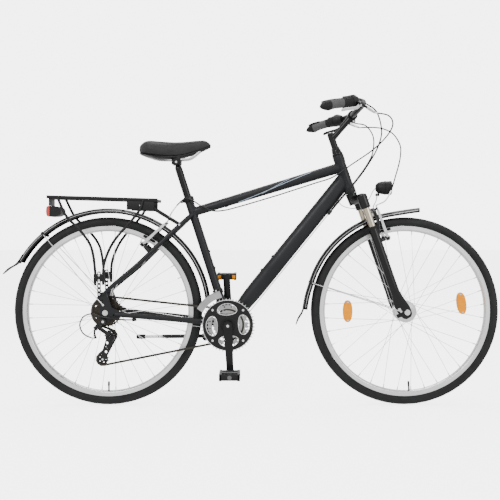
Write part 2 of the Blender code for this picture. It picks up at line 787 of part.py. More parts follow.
def fork_upper():
    """Steerer, crown, both stanchions, and the cup that covers the upper bearing."""
    direction = steering_direction()
    top = HEAD_TUBE_LOW + HEAD_TUBE_LENGTH
    cup = top + GAP
    bore = QUILL_RADIUS + GAP
    core = turned([(0, CROWN_LOW), (0.0185, CROWN_LOW), (0.0205, CROWN_HIGH), (0.0205, HEAD_TUBE_LOW - GAP),
                   (STEERER_RADIUS, HEAD_TUBE_LOW - GAP), (STEERER_RADIUS, cup), (0.0198, cup),
                   (0.0198, cup + 0.008),
                   (0.0170, cup + 0.009), (0.0165, cup + 0.017), (0.0155, cup + 0.018), (0.0145, cup + 0.030),
                   (bore, cup + 0.030), (bore, 0.5552), (0, 0.5552)], steer(0, 0, 0), direction, HEAD_SIDES)
    half = [(0.016, 0.0035), (0.040, 0.0145), (LEG_SPREAD - 0.0035, LEG_OFFSET - 0.0018)]
    route = [(-y, n) for y, n in reversed(half)] + half
    middle = (CROWN_LOW + CROWN_HIGH - 0.006) / 2
    path = [steer(n, y, middle) for y, n in route]
    body = fuse(core, sweep(path, [ellipse(0.0155, 0.0165, 8)] * len(path), direction))
    for side in (-1, 1):
        leg = turned([(0, STANCHION_LOW), (STANCHION_RADIUS, STANCHION_LOW), (STANCHION_RADIUS, LUG_LOW),
                      (0.0175, LUG_LOW),
                      (0.0185, LUG_LOW + 0.010), (0.0185, LUG_HIGH - 0.007), (0.0140, LUG_HIGH),
                      (0, LUG_HIGH)],
                     steer(LEG_OFFSET, side * LEG_SPREAD, 0), direction, 12)
        body = fuse(body, leg)
    return body


STEM_CLAMP = at(WHEELBASE - 0.1970, 0, 1.0768)
BAR_RADIUS = 0.0111
BAR_CLAMP_RADIUS = 0.0127
BAR_SET_IN = 0.024
BAR_TIP = (WHEELBASE - 0.3424, HANDLEBAR_HALF, 1.0675)
GRIP_DIRECTION = Vector((-0.8157, 0.5532, -0.1720)).normalized()


def grip_axis(side):
    """Direction along a grip, from the bend to the bar's end."""
    return Vector((GRIP_DIRECTION.x, side * GRIP_DIRECTION.y, GRIP_DIRECTION.z))


def on_bar(side, distance):
    """Point on the straight end of the bar, a distance in from its tip."""
    return at(BAR_TIP[0], side * BAR_TIP[1], BAR_TIP[2]) - grip_axis(side) * distance


def stem():
    """Quill post with its slanted extension and the clamp around the bar."""
    direction = steering_direction()
    post = turned([(0, 0.565), (QUILL_RADIUS, 0.565), (QUILL_RADIUS, 0.712), (0.0085, 0.7185), (0, 0.7185)],
                  steer(0, 0, 0), direction, HEAD_SIDES)
    foot = steer(0.000, 0, 0.694)
    reach = STEM_CLAMP - foot
    arm = tube([(foot - reach * 0.02, 0.0120, 0.0125), (foot + reach * 0.5, 0.0115, 0.0125),
                (STEM_CLAMP, 0.0135, 0.0150)], 10)
    clamp = disc(STEM_CLAMP - LATERAL * 0.0190, STEM_CLAMP + LATERAL * 0.0190, 0.0182, BAR_SIDES)
    lip = block(STEM_CLAMP + Vector((0.004, 0, -0.0205)), (0.016, 0.026, 0.012))
    body = fuse(post, arm, clamp, lip)
    return cut(body, disc(STEM_CLAMP - LATERAL * 0.03, STEM_CLAMP + LATERAL * 0.03,
                          BAR_CLAMP_RADIUS + 2 * GAP, BAR_SIDES))


def handlebar():
    sweep_points = ((0.0, 0.0, 0.0), (0.0, 0.024, 0.0), (0.002, 0.046, 0.001), (0.0090, 0.074, 0.0087),
                    (0.0190, 0.110, 0.0187), (0.0210, 0.135, 0.0232), (0.0160, 0.160, 0.0240),
                    (0.0050, 0.185, 0.0222))
    route = [STEM_CLAMP + Vector(point) for point in sweep_points]
    route += [on_bar(1, distance) for distance in (0.172, 0.150)]
    points = route + [on_bar(1, BAR_SET_IN)]
    left = points[1:]
    right = [Vector((p.x, -p.y, p.z)) for p in reversed(left)]
    path = right + [points[0]] + left
    radii = []
    for p in path:
        swell = max(0.0, min(1.0, (0.040 - abs(p.y)) / 0.014))
        radii.append(BAR_RADIUS + (BAR_CLAMP_RADIUS - BAR_RADIUS) * swell)
    return sweep(path, [ellipse(r, r, 8) for r in radii])


GRIP_LENGTH = 0.096
TWIST_START = 0.0966
TWIST_END = 0.1310
POD_START = 0.1316
POD_END = 0.1640


def grip(side):
    """Rubber grip with a palm wing that widens towards a tapered end."""
    axis = grip_axis(side)
    down = Vector((0, 0, -1))
    outward = (down - axis * down.dot(axis)).normalized()
    across = axis.cross(outward)
    stations = ((-0.0040, 0.0030, 0.0036, 0.0060), (0.005, 0.0092, 0.0100, 0.0042),
                (0.014, 0.0132, 0.0142, 0.0034), (0.024, 0.0166, 0.0178, 0.003),
                (0.034, 0.0182, 0.0196, 0.003), (0.044, 0.0172, 0.0182, 0.002), (0.064, 0.0166, 0.0168, 0.0),
                (GRIP_LENGTH, 0.0166, 0.0166, 0.0))
    sections = []
    for distance, up, wide, drop in stations:
        centre = on_bar(side, distance) + outward * drop
        section = []
        for a, b in ellipse(up, wide, 10):
            section.append(centre + outward * a + across * b)
        sections.append(section)
    body = loft(sections)
    return cut(body, disc(on_bar(side, BAR_SET_IN - GAP), on_bar(side, GRIP_LENGTH + 0.01), BAR_RADIUS + RUNNING,
                          BAR_SIDES))


def twist_grip(side):
    """Turning sleeve of the shifter, ribbed lengthwise."""
    start = on_bar(side, TWIST_START)
    end = on_bar(side, TWIST_END)
    length = (end - start).length
    bore = BAR_RADIUS + RUNNING
    profile = [(bore, 0), (0.0182, 0), (0.0205, length - 0.010), (0.0222, length - 0.004), (0.0222, length),
               (bore, length)]
    body = turned(profile, start, end - start, BAR_SIDES)
    ridge = start.lerp(end, 0.45)
    axis = (end - start).normalized()
    up = (Vector((0, 0, 1)) - axis * axis.z).normalized()
    return fuse(body, block(ridge + up * 0.0200, (0.020, 0.006, 0.005), axis, axis.cross(up)))


LEVER_ALONG = 0.1500
LEVER_DROP = math.radians(28)


def lever_reach(side):
    """Direction from the bar to the brake lever: outboard, forward and a little down."""
    axis = grip_axis(side)
    level = Vector((-axis.y, axis.x, 0)).normalized() * (-side)
    level = level if level.x > 0 else -level
    down = axis.cross(level)
    down = down if down.z < 0 else -down
    return (level * math.cos(LEVER_DROP) + down * math.sin(LEVER_DROP)).normalized()


def lever_axis(side):
    """The brake lever's hinge axis, across the grip and the lever's reach."""
    return grip_axis(side).cross(lever_reach(side)).normalized()


def lever_pivot(side):
    return on_bar(side, LEVER_ALONG) + lever_reach(side) * 0.0315


def barrel_foot(side):
    """Root of the brake cable's adjuster, between the bracket's horn and the lever."""
    return lever_pivot(side) - grip_axis(side) * 0.0140 - lever_reach(side) * 0.0110


def barrel_tip(side):
    return at(WHEELBASE - 0.1440, side * (HANDLEBAR_HALF - 0.1100), 1.0600)


def control_bracket(side):
    """Fixed part of the shifter and the brake lever's bracket, in one housing on the bar."""
    axis = grip_axis(side)
    reach = lever_reach(side)
    hinge = lever_axis(side)
    start = on_bar(side, POD_START)
    end = on_bar(side, POD_END)
    length = (end - start).length
    profile = [(0, 0), (0.0235, 0), (0.0235, length - 0.012), (0.0165, length), (0, length)]
    body = turned(profile, start, end - start, BAR_SIDES)
    nose = block(on_bar(side, LEVER_ALONG) + reach * 0.0105, (0.018, 0.016, 0.021), axis, hinge)
    horn = block(on_bar(side, LEVER_ALONG + 0.012) + reach * 0.0115, (0.018, 0.012, 0.020), axis, hinge)
    body = fuse(body, nose, horn)
    pivot = lever_pivot(side)
    for offset in (-1, 1):
        ear = block(pivot + hinge * (offset * 0.0080) - reach * 0.004, (0.016, 0.0050, 0.022), axis, hinge)
        body = fuse(body, ear)
    body = fuse(body, disc(barrel_foot(side), barrel_tip(side), 0.0052, 8))
    body = fuse(body, disc(pivot - hinge * 0.0100, pivot + hinge * 0.0100, 0.0026, 8))
    return cut(body, disc(on_bar(side, POD_START - 0.01), on_bar(side, POD_END + 0.012),
                          BAR_RADIUS + RUNNING, BAR_SIDES))


def brake_lever(side):
    """Two-finger lever blade, curved along the grip and ending in a rounded tip."""
    axis = grip_axis(side)
    reach = lever_reach(side)
    hinge = lever_axis(side)
    pivot = lever_pivot(side)
    stations = ((0.002, 0.001, 0.0050), (0.012, 0.008, 0.0050), (0.030, 0.0185, 0.0046),
                (0.050, 0.0220, 0.0044),
                (0.085, 0.0220, 0.0044), (0.104, 0.0260, 0.0036))
    path = [pivot + axis * along + reach * out for along, out, _ in stations]
    sections = [ellipse(half, 0.0048, 8) for _, _, half in stations]
    body = sweep(path, sections, hinge)
    body = fuse(body, disc(pivot - hinge * 0.0050, pivot + hinge * 0.0050, 0.0070, 12))
    return cut(body, disc(pivot - hinge * 0.02, pivot + hinge * 0.02, 0.0026 + RUNNING, 8))


# Fork lowers, arch and front axle


def fork_leg(side):
    """One lower leg, round at the seal and flattened into the fork end."""
    stations = ((LEG_TOP, LEG_OFFSET, LEG_SPREAD, LEG_RADIUS, LEG_RADIUS),
                (0.115, LEG_OFFSET, LEG_SPREAD, LEG_RADIUS, LEG_RADIUS),
                (0.078, 0.0265, 0.0620, 0.0175, 0.0140),
                (0.040, 0.0300, 0.0580, 0.0235, 0.0088),
                (0.012, 0.0365, 0.0555, 0.0245, 0.0052),
                (-0.012, 0.0420, 0.0550, 0.0190, 0.0047),
                (-0.021, 0.0440, 0.0550, 0.0100, 0.0040))
    path = [steer(n, side * y, s) for s, n, y, _, _ in stations]
    sections = [ellipse(deep, wide, 8) for _, _, _, deep, wide in stations]
    return sweep(path, sections, LATERAL)


def front_boss(side):
    base = fork_brake(FRONT_ARM_PLANE - 0.036, side * 0.0520, front_pivot())
    shoulder = fork_brake(FRONT_ARM_PLANE - 0.0112, side * ARM_SPREAD, front_pivot())
    tip = fork_brake(FRONT_ARM_PLANE + 0.0080, side * ARM_SPREAD, front_pivot())
    return [disc(base, shoulder, 0.0075, 6), disc(shoulder - (tip - shoulder) * 0.2, tip, 0.0040, 8)]


def fork_lowers():
    """Both lower legs with their arch, brake bosses and the fixed front axle."""
    body = None
    for side in (-1, 1):
        one = fuse(fork_leg(side), *front_boss(side))
        body = one if body is None else fuse(body, one)
    half = [(LEG_SPREAD, 0.0330, 0.300), (0.0625, 0.0440, 0.326), (0.0560, 0.0530, 0.356),
            (0.0400, ARCH_OFFSET, 0.382),
            (0.0180, ARCH_OFFSET, ARCH_HIGH)]
    path = [steer(n, -y, s) for y, n, s in half] + [steer(n, y, s) for y, n, s in reversed(half)]
    forward = (steer(1, 0, 0) - steer(0, 0, 0)).normalized()
    arch = sweep(path, [ellipse(ARCH_RADIUS, ARCH_RADIUS, 6)] * len(path), forward)
    axle = disc(fork_brake(0, -0.0690, 0), fork_brake(0, 0.0690, 0), AXLE_RADIUS, 12)
    body = fuse(body, arch, axle)
    for side in (-1, 1):
        nut = disc(fork_brake(0, side * 0.0560, 0), fork_brake(0, side * 0.0670, 0), 0.0090, 6)
        spacer = disc(fork_brake(0, side * 0.0470, 0), fork_brake(0, side * 0.0530, 0), 0.0080, 6)
        body = fuse(body, nut, spacer)
        low = steer(LEG_OFFSET, side * LEG_SPREAD, STANCHION_LOW - FORK_TRAVEL - 0.004)
        high = steer(LEG_OFFSET, side * LEG_SPREAD, LEG_TOP + 0.01)
        body = cut(body, disc(low, high, STANCHION_RADIUS + RUNNING, 12))
    return body


# Rim brakes


def front_pivot():
    return math.sqrt(BRAKE_TRACK ** 2 - FRONT_ARM_PLANE ** 2) - PAD_ABOVE_PIVOT


def rear_pivot():
    return math.sqrt(BRAKE_TRACK ** 2 - REAR_ARM_PLANE ** 2) - PAD_ABOVE_PIVOT


def brake_arm(place, side, plane, pivot):
    """Linear-pull arm with its pad; place maps (n, y, s) in the brake's own frame."""
    outline = [(ARM_SPREAD - 0.0080, 0.0), (ARM_SPREAD, -0.0100), (ARM_SPREAD + 0.0095, 0.0)]
    outline += [(ARM_SPREAD + 0.0080, 0.030), (ARM_SPREAD + 0.0030, 0.062), (ARM_SPREAD - 0.0030, ARM_LENGTH),
                (ARM_SPREAD - 0.0110, ARM_LENGTH), (ARM_SPREAD - 0.0070, 0.060), (ARM_SPREAD - 0.0060, 0.030)]

    def face(offset):
        return lambda a, b: place(plane + offset, side * a, pivot + b)

    hinge = place(plane, side * ARM_SPREAD, pivot)
    forward = (place(1, 0, 0) - place(0, 0, 0)).normalized()
    upward = (place(0, 0, 1) - place(0, 0, 0)).normalized()
    body = plate(outline, face(-ARM_HALF), face(ARM_HALF))
    body = fuse(body, disc(hinge - forward * 0.0075, hinge + forward * 0.0060, 0.0100, 10))
    tilt = math.asin(plane / BRAKE_TRACK)
    tangent = forward * math.cos(tilt) - upward * math.sin(tilt)
    pad_half = 0.0045
    centre = place(plane, side * (RIM_HALF + PAD_TOUCH + pad_half), pivot + PAD_ABOVE_PIVOT)
    pad = block(centre, (0.050, 2 * pad_half, 0.0085), tangent, LATERAL)
    stud = disc(centre, centre + LATERAL * (side * 0.034), 0.0038, 6)
    pad = fuse(pad, stud)
    swing = Matrix.Rotation(BRAKE_SWING * opening_sign(side, forward), 4, forward)
    pad.data.transform(Matrix.Translation(hinge) @ swing @ Matrix.Translation(-hinge))
    body = fuse(body, pad)
    return cut(body, disc(hinge - forward * 0.02, hinge + forward * 0.02, BRAKE_STUD_RADIUS + RUNNING, 8))


def opening_sign(side, forward):
    """Sense of turn about the boss that carries a brake pad away from the rim."""
    return math.copysign(1.0, side * forward.cross(Vector((0, 0, 1))).y)


# Wheels


def tyre(axle):
    """Tyre with a round tread, flat where it sits on the rim."""
    seat_radius = RIM_OUTER + GAP
    half_height = (WHEEL_RADIUS - seat_radius) / (1 + math.sin(BEAD_ANGLE))
    centre = WHEEL_RADIUS - half_height
    profile = []
    for i in range(TYRE_STEPS + 1):
        angle = -BEAD_ANGLE + (math.pi + 2 * BEAD_ANGLE) * i / TYRE_STEPS
        profile.append((centre + half_height * math.sin(angle), TYRE_WIDTH / 2 * math.cos(angle)))
    return turned(profile, axle, LATERAL, WHEEL_STEPS)


def rim(axle):
    """Double-wall rim with upright brake tracks."""
    profile = [(RIM_OUTER, -RIM_HALF), (RIM_OUTER, RIM_HALF), (RIM_INNER + 0.0050, RIM_HALF),
               (RIM_INNER, 0.0),
               (RIM_INNER + 0.0050, -RIM_HALF)]
    return turned(profile, axle, LATERAL, WHEEL_STEPS)


def spokes(axle, flange, flange_sides):
    """Laced spokes, joined by a ring of nipples at the rim and a ring at each hub flange."""
    nipple_face = RIM_INNER - 0.0032
    flange_face = flange + 0.0032
    body = turned([(nipple_face, -0.0042), (RIM_INNER - 0.0006, 0.0), (nipple_face, 0.0042)], axle, LATERAL,
                  WHEEL_STEPS)
    for y in flange_sides:
        band = turned([(flange + 0.0004, y), (flange_face, y + 0.0046), (flange_face, y - 0.0046)], axle,
                      LATERAL, HUB_STEPS)
        body = fuse(body, band)
    hub_step = 2 * math.pi / HUB_STEPS
    end_radius = nipple_face * math.cos(math.pi / WHEEL_STEPS) + 0.0008
    start_radius = flange_face * math.cos(hub_step / 2) - 0.0008
    for index in range(SPOKE_COUNT):
        y = flange_sides[index % 2]
        pull = 1 if (index // 2) % 2 else -1
        rim_angle = (index + 0.5) * 2 * math.pi / SPOKE_COUNT
        hub_angle = (math.floor((rim_angle + pull * SPOKE_LEAD) / hub_step) + 0.5) * hub_step
        hub_y = y + pull * 0.0014
        rim_y = math.copysign(0.0012, y)
        start = axle + Vector((start_radius * math.cos(hub_angle), hub_y, start_radius * math.sin(hub_angle)))
        end = axle + Vector((end_radius * math.cos(rim_angle), rim_y, end_radius * math.sin(rim_angle)))
        body = fuse(body, rod([start, end], SPOKE_RADIUS, 3))
    return body


def front_spokes(axle):
    """Front spokes with the two clip-on reflectors."""
    body = spokes(axle, FRONT_FLANGE, (-FRONT_FLANGE_HALF, FRONT_FLANGE_HALF))
    for angle in (math.radians(180), math.radians(8)):
        radial = Vector((math.cos(angle), 0, math.sin(angle)))
        body = fuse(body, block(axle + radial * REFLECTOR_RADIUS - LATERAL * 0.0090, (0.036, 0.0120, 0.082),
                                radial))
    return body


def front_hub(axle):
    """Dynamo hub: wide shell between two large flanges."""
    bore = AXLE_RADIUS + RUNNING
    edge = FRONT_FLANGE_HALF
    shell = 0.0345
    half = 0.0440
    profile = [(bore, -half), (0.0180, -half), (FRONT_FLANGE, -edge - 0.0016), (FRONT_FLANGE, -edge + 0.0016),
               (shell, -edge + 0.0050), (shell, edge - 0.0050), (FRONT_FLANGE, edge - 0.0016),
               (FRONT_FLANGE, edge + 0.0016),
               (0.0180, half), (bore, half)]
    return turned(profile, axle, LATERAL, HUB_STEPS)


def rear_hub(axle):
    bore = AXLE_RADIUS + RUNNING
    right = REAR_FLANGE_RIGHT
    left = REAR_FLANGE_LEFT
    profile = [(bore, -0.0250), (0.0165, -0.0250), (REAR_FLANGE, right - 0.0014),
               (REAR_FLANGE, right + 0.0014),
               (0.0140, right + 0.0060), (0.0140, left - 0.0060), (REAR_FLANGE, left - 0.0014),
               (REAR_FLANGE, left + 0.0014), (0.0130, REAR_HUB_LEFT), (bore, REAR_HUB_LEFT)]
    return turned(profile, axle, LATERAL, HUB_STEPS)


def rear_axle(axle):
    nut_low = DROPOUT_HALF_REAR + DROPOUT_THICK + GAP
    end = nut_low + 0.0142
    body = disc(axle - LATERAL * end, axle + LATERAL * end, AXLE_RADIUS, 12)
    for side in (-1, 1):
        start = axle + LATERAL * (side * nut_low)
        body = fuse(body, disc(start, start + LATERAL * (side * 0.0085), 0.0090, 6))
    inner = axle + LATERAL * (DROPOUT_HALF_REAR - GAP)
    return fuse(body, disc(axle + LATERAL * (REAR_HUB_LEFT + 0.0006), inner, 0.0085, 8))


# Chainset, cassette and chain


def pitch_radius(teeth):
    return PITCH / (2 * math.sin(math.pi / teeth))


def toothed(teeth, centre, low_y, high_y):
    """Sprocket disc with pointed teeth."""
    radius = pitch_radius(teeth)
    outline = []
    for i in range(2 * teeth):
        reach = radius + (TOOTH_HEIGHT if i % 2 else -TOOTH_HEIGHT)
        angle = math.pi * i / teeth
        outline.append((centre[0] + reach * math.cos(angle), centre[1] + reach * math.sin(angle)))
    return side_plate(outline, low_y, high_y)


def ring_y(index):
    """Middle plane of chainring index, counted from the largest."""
    return INNER_RING_Y - RING_PITCH_Y * (len(RINGS) - 1 - index)


def crank_point(side, distance):
    """Point on the crank's line in side view; the right crank hangs down at rest."""
    turn = CRANK_REST if side < 0 else CRANK_REST + math.pi
    return BRACKET_X + distance * math.sin(turn), BRACKET_Z - distance * math.cos(turn)


def crank_arm(side):
    """Tapered crank arm from the axle's boss to the pedal's boss."""
    inner = 0.0665
    outer = 0.0815
    stations = ((-0.012, 0.0150), (0.010, 0.0175), (0.060, 0.0155), (0.150, 0.0130),
                (CRANK_LENGTH + 0.006, 0.0145),
                (CRANK_LENGTH + 0.014, 0.0080))
    path = []
    sections = []
    for distance, half in stations:
        x, z = crank_point(side, distance)
        path.append(at(x, side * (inner + outer) / 2, z))
        sections.append([(-half, -0.0050), (0.0, -0.0075), (half, -0.0050), (half, 0.0050), (0.0, 0.0075),
                         (-half, 0.0050)])
    return sweep(path, sections, LATERAL)


def pedal_axle(side):
    x, z = crank_point(side, CRANK_LENGTH)
    return disc(at(x, side * 0.0700, z), at(x, side * 0.1640, z), 0.0050, 8)


def spider_outline():
    """Four arms with waisted gaps between them, in side view."""
    outline = []
    for quarter in range(4):
        middle = 45 + 90 * quarter
        for reach, spread in ((0.030, -32), (0.086, -6.5), (0.086, 6.5), (0.030, 32)):
            angle = math.radians(middle + spread)
            outline.append((BRACKET_X + reach * math.cos(angle), BRACKET_Z + reach * math.sin(angle)))
    return outline


def on_crank_axis(y):
    return at(BRACKET_X, y, BRACKET_Z)


def crank_right():
    """Drive crank with its four-armed spider and three riveted chainrings."""
    centre = (BRACKET_X, BRACKET_Z)
    body = disc(on_crank_axis(-0.0815), on_crank_axis(-0.0375), 0.0175, 12)
    body = fuse(body, side_plate(spider_outline(), -0.0572, -0.0476))
    for index, inner in ((0, 0.0780), (1, 0.0600), (2, 0.0400)):
        y = ring_y(index)
        if index == 0:
            gear = toothed(RINGS[index], centre, y - 0.0009, y + 0.0009)
        else:
            gear = disc(on_crank_axis(y - 0.0009), on_crank_axis(y + 0.0009),
                        pitch_radius(RINGS[index]) + TOOTH_HEIGHT / 2, 18)
        gear = cut(gear, disc(on_crank_axis(y - 0.01), on_crank_axis(y + 0.01), inner, 12))
        if index == 2:
            for quarter in range(4):
                angle = math.radians(45 + 90 * quarter)
                place = on_crank_axis(0) + Vector((math.cos(angle), 0, math.sin(angle))) * 0.0455
                gear = fuse(gear, disc(place + LATERAL * (y + 0.0020), place + LATERAL * (-0.0500), 0.0042,
                                       4))
        body = fuse(body, gear)
    body = fuse(body, crank_arm(-1), pedal_axle(-1))
    return cut(body, disc(on_crank_axis(-0.0700), on_crank_axis(-0.0300), CRANK_AXLE_RADIUS + GAP, 12))


def crank_left():
    """Left crank with the axle that runs through the bottom bracket."""
    boss = disc(on_crank_axis(0.0345 + RUNNING), on_crank_axis(0.0815), 0.0150, 12)
    axle = disc(on_crank_axis(-0.0690), on_crank_axis(0.0700), CRANK_AXLE_RADIUS, 12)
    return fuse(boss, crank_arm(1), pedal_axle(1), axle)


def chain_guard():
    """Plastic guard on the large ring: a flat ring with four oval windows."""
    centre = at(BRACKET_X, 0, BRACKET_Z)
    low = centre + LATERAL * (-0.0615)
    high = centre + LATERAL * (-0.0578)
    body = ring(low, high, 0.0935, 0.0260, 24)
    for quarter in range(4):
        angle = math.radians(90 * quarter + 3)
        outline = []
        for i in range(10):
            a = 2 * math.pi * i / 10
            radius = 0.0590 + 0.0205 * math.cos(a)
            turn = angle + math.radians(34) * math.sin(a)
            outline.append((BRACKET_X + radius * math.cos(turn), BRACKET_Z + radius * math.sin(turn)))
        body = cut(body, side_plate(outline, -0.070, -0.050))
    return body


def pedal(side):
    """Platform pedal: axle barrel, front and back bars and two end plates."""
    x, z = crank_point(side, CRANK_LENGTH)
    start = 0.0880
    end = 0.1850
    barrel = disc(at(x, side * start, z), at(x, side * end, z), 0.0100, 8)
    parts = []
    for along in (-1, 1):
        centre = at(x + along * 0.0325, side * (start + end) / 2, z)
        parts.append(block(centre, (0.0100, end - start, 0.0270)))
    for y in (start + 0.0030, end - 0.0030):
        parts.append(block(at(x, side * y, z), (0.0700, 0.0060, 0.0230)))
    body = fuse(barrel, *parts)
    return cut(body, disc(at(x, side * (start - 0.01), z), at(x, side * 0.1700, z), 0.0050 + RUNNING, 8))


def cassette(axle):
    """Seven cogs on their carrier, the largest inboard."""
    root = 0.0200
    profile = [(AXLE_RADIUS + RUNNING, LARGE_COG_Y + 0.0040), (root, LARGE_COG_Y + 0.0040)]
    for index, teeth in enumerate(COGS):
        y = LARGE_COG_Y - COG_PITCH_Y * index
        reach = pitch_radius(teeth) + TOOTH_HEIGHT / 2
        profile += [(reach, y + 0.0009), (reach, y - 0.0009), (root, y - COG_PITCH_Y / 2)]
    profile.append((AXLE_RADIUS + RUNNING, profile[-1][1]))
    return turned(profile, axle, LATERAL, 12)


def tangent_points(first, second):
    """Ends of the straight run from one circle to the next; a negative radius turns clockwise."""
    (c1, r1), (c2, r2) = first, second
    dx = c2[0] - c1[0]
    dz = c2[1] - c1[1]
    distance = math.hypot(dx, dz)
    heading = math.atan2(dz, dx) - math.asin((r2 - r1) / distance)
    left = (-math.sin(heading), math.cos(heading))
    start = (c1[0] - left[0] * r1, c1[1] - left[1] * r1)
    end = (c2[0] - left[0] * r2, c2[1] - left[1] * r2)
    return start, end


def chain_circles():
    """The wheels that the chain goes round, in its order: centre, signed radius and plane."""
    pulley = pitch_radius(PULLEY_TEETH)
    return [
        (((BRACKET_X, BRACKET_Z), -pitch_radius(RINGS[2])), INNER_RING_Y),
        ((TENSION_PULLEY, -pulley), LARGE_COG_Y),
        ((GUIDE_PULLEY, pulley), LARGE_COG_Y),
        (((0.0, WHEEL_RADIUS), -pitch_radius(COGS[0])), LARGE_COG_Y),
    ]


def chain_path():
    """Chain line as (x, y, z) points, and the straight runs between its wheels."""
    circles = chain_circles()
    runs = []
    for i, (circle, plane) in enumerate(circles):
        following, next_plane = circles[(i + 1) % len(circles)]
        start, end = tangent_points(circle, following)
        runs.append((at(start[0], plane, start[1]), at(end[0], next_plane, end[1])))
    points = []
    for i, ((centre, radius), plane) in enumerate(circles):
        arrive = runs[i - 1][1]
        leave = runs[i][0]
        middle = at(centre[0], plane, centre[1])
        a = math.atan2(arrive.z - middle.z, arrive.x - middle.x)
        b = math.atan2(leave.z - middle.z, leave.x - middle.x)
        turn = (b - a) % (2 * math.pi) if radius > 0 else -((a - b) % (2 * math.pi))
        steps = max(3, round(abs(turn) / math.radians(28)))
        for k in range(steps + 1):
            angle = a + turn * k / steps
            reach = abs(radius)
            points.append(middle + Vector((reach * math.cos(angle), 0, reach * math.sin(angle))))
    return points, runs


def chain():
    """Two closed bands of side plates, pinned together on the free runs."""
    points, runs = chain_path()
    middle = PLATE_INNER + PLATE_THICK / 2
    body = None
    for side in (-1, 1):
        path = [p + LATERAL * (side * middle) for p in points]
        band = sweep(path, [rectangle(PLATE_HALF, PLATE_THICK / 2)] * len(path), LATERAL, True)
        body = band if body is None else fuse(body, band)
    for start, end in (runs[0], runs[3]):
        for share in (0.3, 0.7):
            place = start.lerp(end, share)
            body = fuse(body, disc(place - LATERAL * middle, place + LATERAL * middle, 0.0024, 6))
    return body


# Derailleurs


def link_pin_axis():
    """Direction of the parallelogram's pins: across the link in side view."""
    along = LINK_FRONT - LINK_REAR
    return Vector((-along.z, 0, along.x)).normalized()


def link_point(local):
    return at(local.x, local.y, local.z)


def derailleur_hanger():
    """Upper knuckle of the rear derailleur, bolted to the dropout, with the pin of its link."""
    face = -(DROPOUT_HALF_REAR + DROPOUT_THICK + GAP)
    bolt_x = -0.006
    bolt_z = WHEEL_RADIUS - 0.031
    body = disc(at(bolt_x, face, bolt_z), at(bolt_x, face - 0.0130, bolt_z), 0.0105, 12)
    pin = link_pin_axis()
    pivot = link_point(LINK_REAR)
    across = Vector((pin.z, 0, -pin.x))
    arm = block(pivot + pin * 0.0185 + across * 0.0045, (0.0150, 0.0090, 0.0212), across, LATERAL)
    body = fuse(body, arm)
    for side in (-1, 1):
        body = fuse(body, block(pivot + pin * (side * 0.0100) + across * 0.0030, (0.0180, 0.0120, 0.0042),
                                across, LATERAL))
    body = fuse(body, disc(pivot - pin * 0.0115, pivot + pin * 0.0115, 0.0022, 8))
    barrel_y = LINK_REAR.y - 0.0020
    barrel = ((-0.0350, barrel_y, 0.2930), (-0.0370, barrel_y, 0.2760), (-0.0330, barrel_y + 0.0015, 0.2570))
    return fuse(body, rod([at(*point) for point in barrel], 0.0040, 6))


def derailleur_link():
    pin = link_pin_axis()
    rear = link_point(LINK_REAR)
    front = link_point(LINK_FRONT)
    along = (front - rear).normalized()
    across = pin.cross(along)
    body = disc(rear - pin * 0.0072, rear + pin * 0.0072, 0.0052, 10)
    body = fuse(body, disc(front - pin * 0.0072, front + pin * 0.0072, 0.0052, 10))
    length = (front - rear).length
    body = fuse(body, block((rear + front) / 2, (length, 0.0062, 0.0140), along, across))
    for end in (rear, front):
        body = cut(body, disc(end - pin * 0.02, end + pin * 0.02, 0.0022 + RUNNING, 8))
    return body


def derailleur_body():
    """Lower knuckle, which the link carries and the pulley cage turns on."""
    pin = link_pin_axis()
    front = link_point(LINK_FRONT)
    cage_face = LARGE_COG_Y - 0.0062
    start = at(CAGE_PIVOT[0], cage_face - RUNNING, CAGE_PIVOT[1])
    end = at(CAGE_PIVOT[0], -0.0640, CAGE_PIVOT[1])
    body = disc(end, start, 0.0110, 14)
    across = Vector((pin.z, 0, -pin.x))
    for side in (-1, 1):
        centre = front + pin * (side * 0.0100) + across * 0.0040
        body = fuse(body, block(centre, (0.0180, 0.0120, 0.0042), across, LATERAL))
    body = fuse(body, disc(front - pin * 0.0115, front + pin * 0.0115, 0.0022, 8))
    return cut(body, disc(at(CAGE_PIVOT[0], -0.0600, CAGE_PIVOT[1]), at(CAGE_PIVOT[0], 0, CAGE_PIVOT[1]),
                          0.0045 + RUNNING, 10))


def cage_outline(swell):
    """Outline of a cage plate round both pulleys and the pivot."""
    gx, gz = GUIDE_PULLEY
    tx, tz = TENSION_PULLEY
    heading = math.degrees(math.atan2(gz - tz, gx - tx))
    outline = arc((tx, tz), 0.0105 + swell, heading + 90, heading + 270, 6)
    outline += [(CAGE_PIVOT[0] + 0.010, CAGE_PIVOT[1] - 0.010)]
    outline += arc((gx, gz), 0.0115 + swell, heading - 60, heading + 90, 5)
    return outline


def derailleur_cage():
    """Two plates that hold the pulleys, their pins and the pivot boss."""
    inner = 0.0044
    outer = 0.0060
    near = side_plate(cage_outline(0.0), LARGE_COG_Y - outer, LARGE_COG_Y - inner)
    far = side_plate(cage_outline(-0.001), LARGE_COG_Y + inner, LARGE_COG_Y + outer)
    body = near
    for x, z in (GUIDE_PULLEY, TENSION_PULLEY):
        body = fuse(body, disc(at(x, LARGE_COG_Y - outer - 0.0001, z),
                               at(x, LARGE_COG_Y + outer - 0.0005, z), 0.0026, 8))
    body = fuse(body, far)
    stub_low = at(CAGE_PIVOT[0], -0.0585, CAGE_PIVOT[1])
    stub_high = at(CAGE_PIVOT[0], LARGE_COG_Y - inner - 0.0002, CAGE_PIVOT[1])
    return fuse(body, disc(stub_low, stub_high, 0.0045, 10))


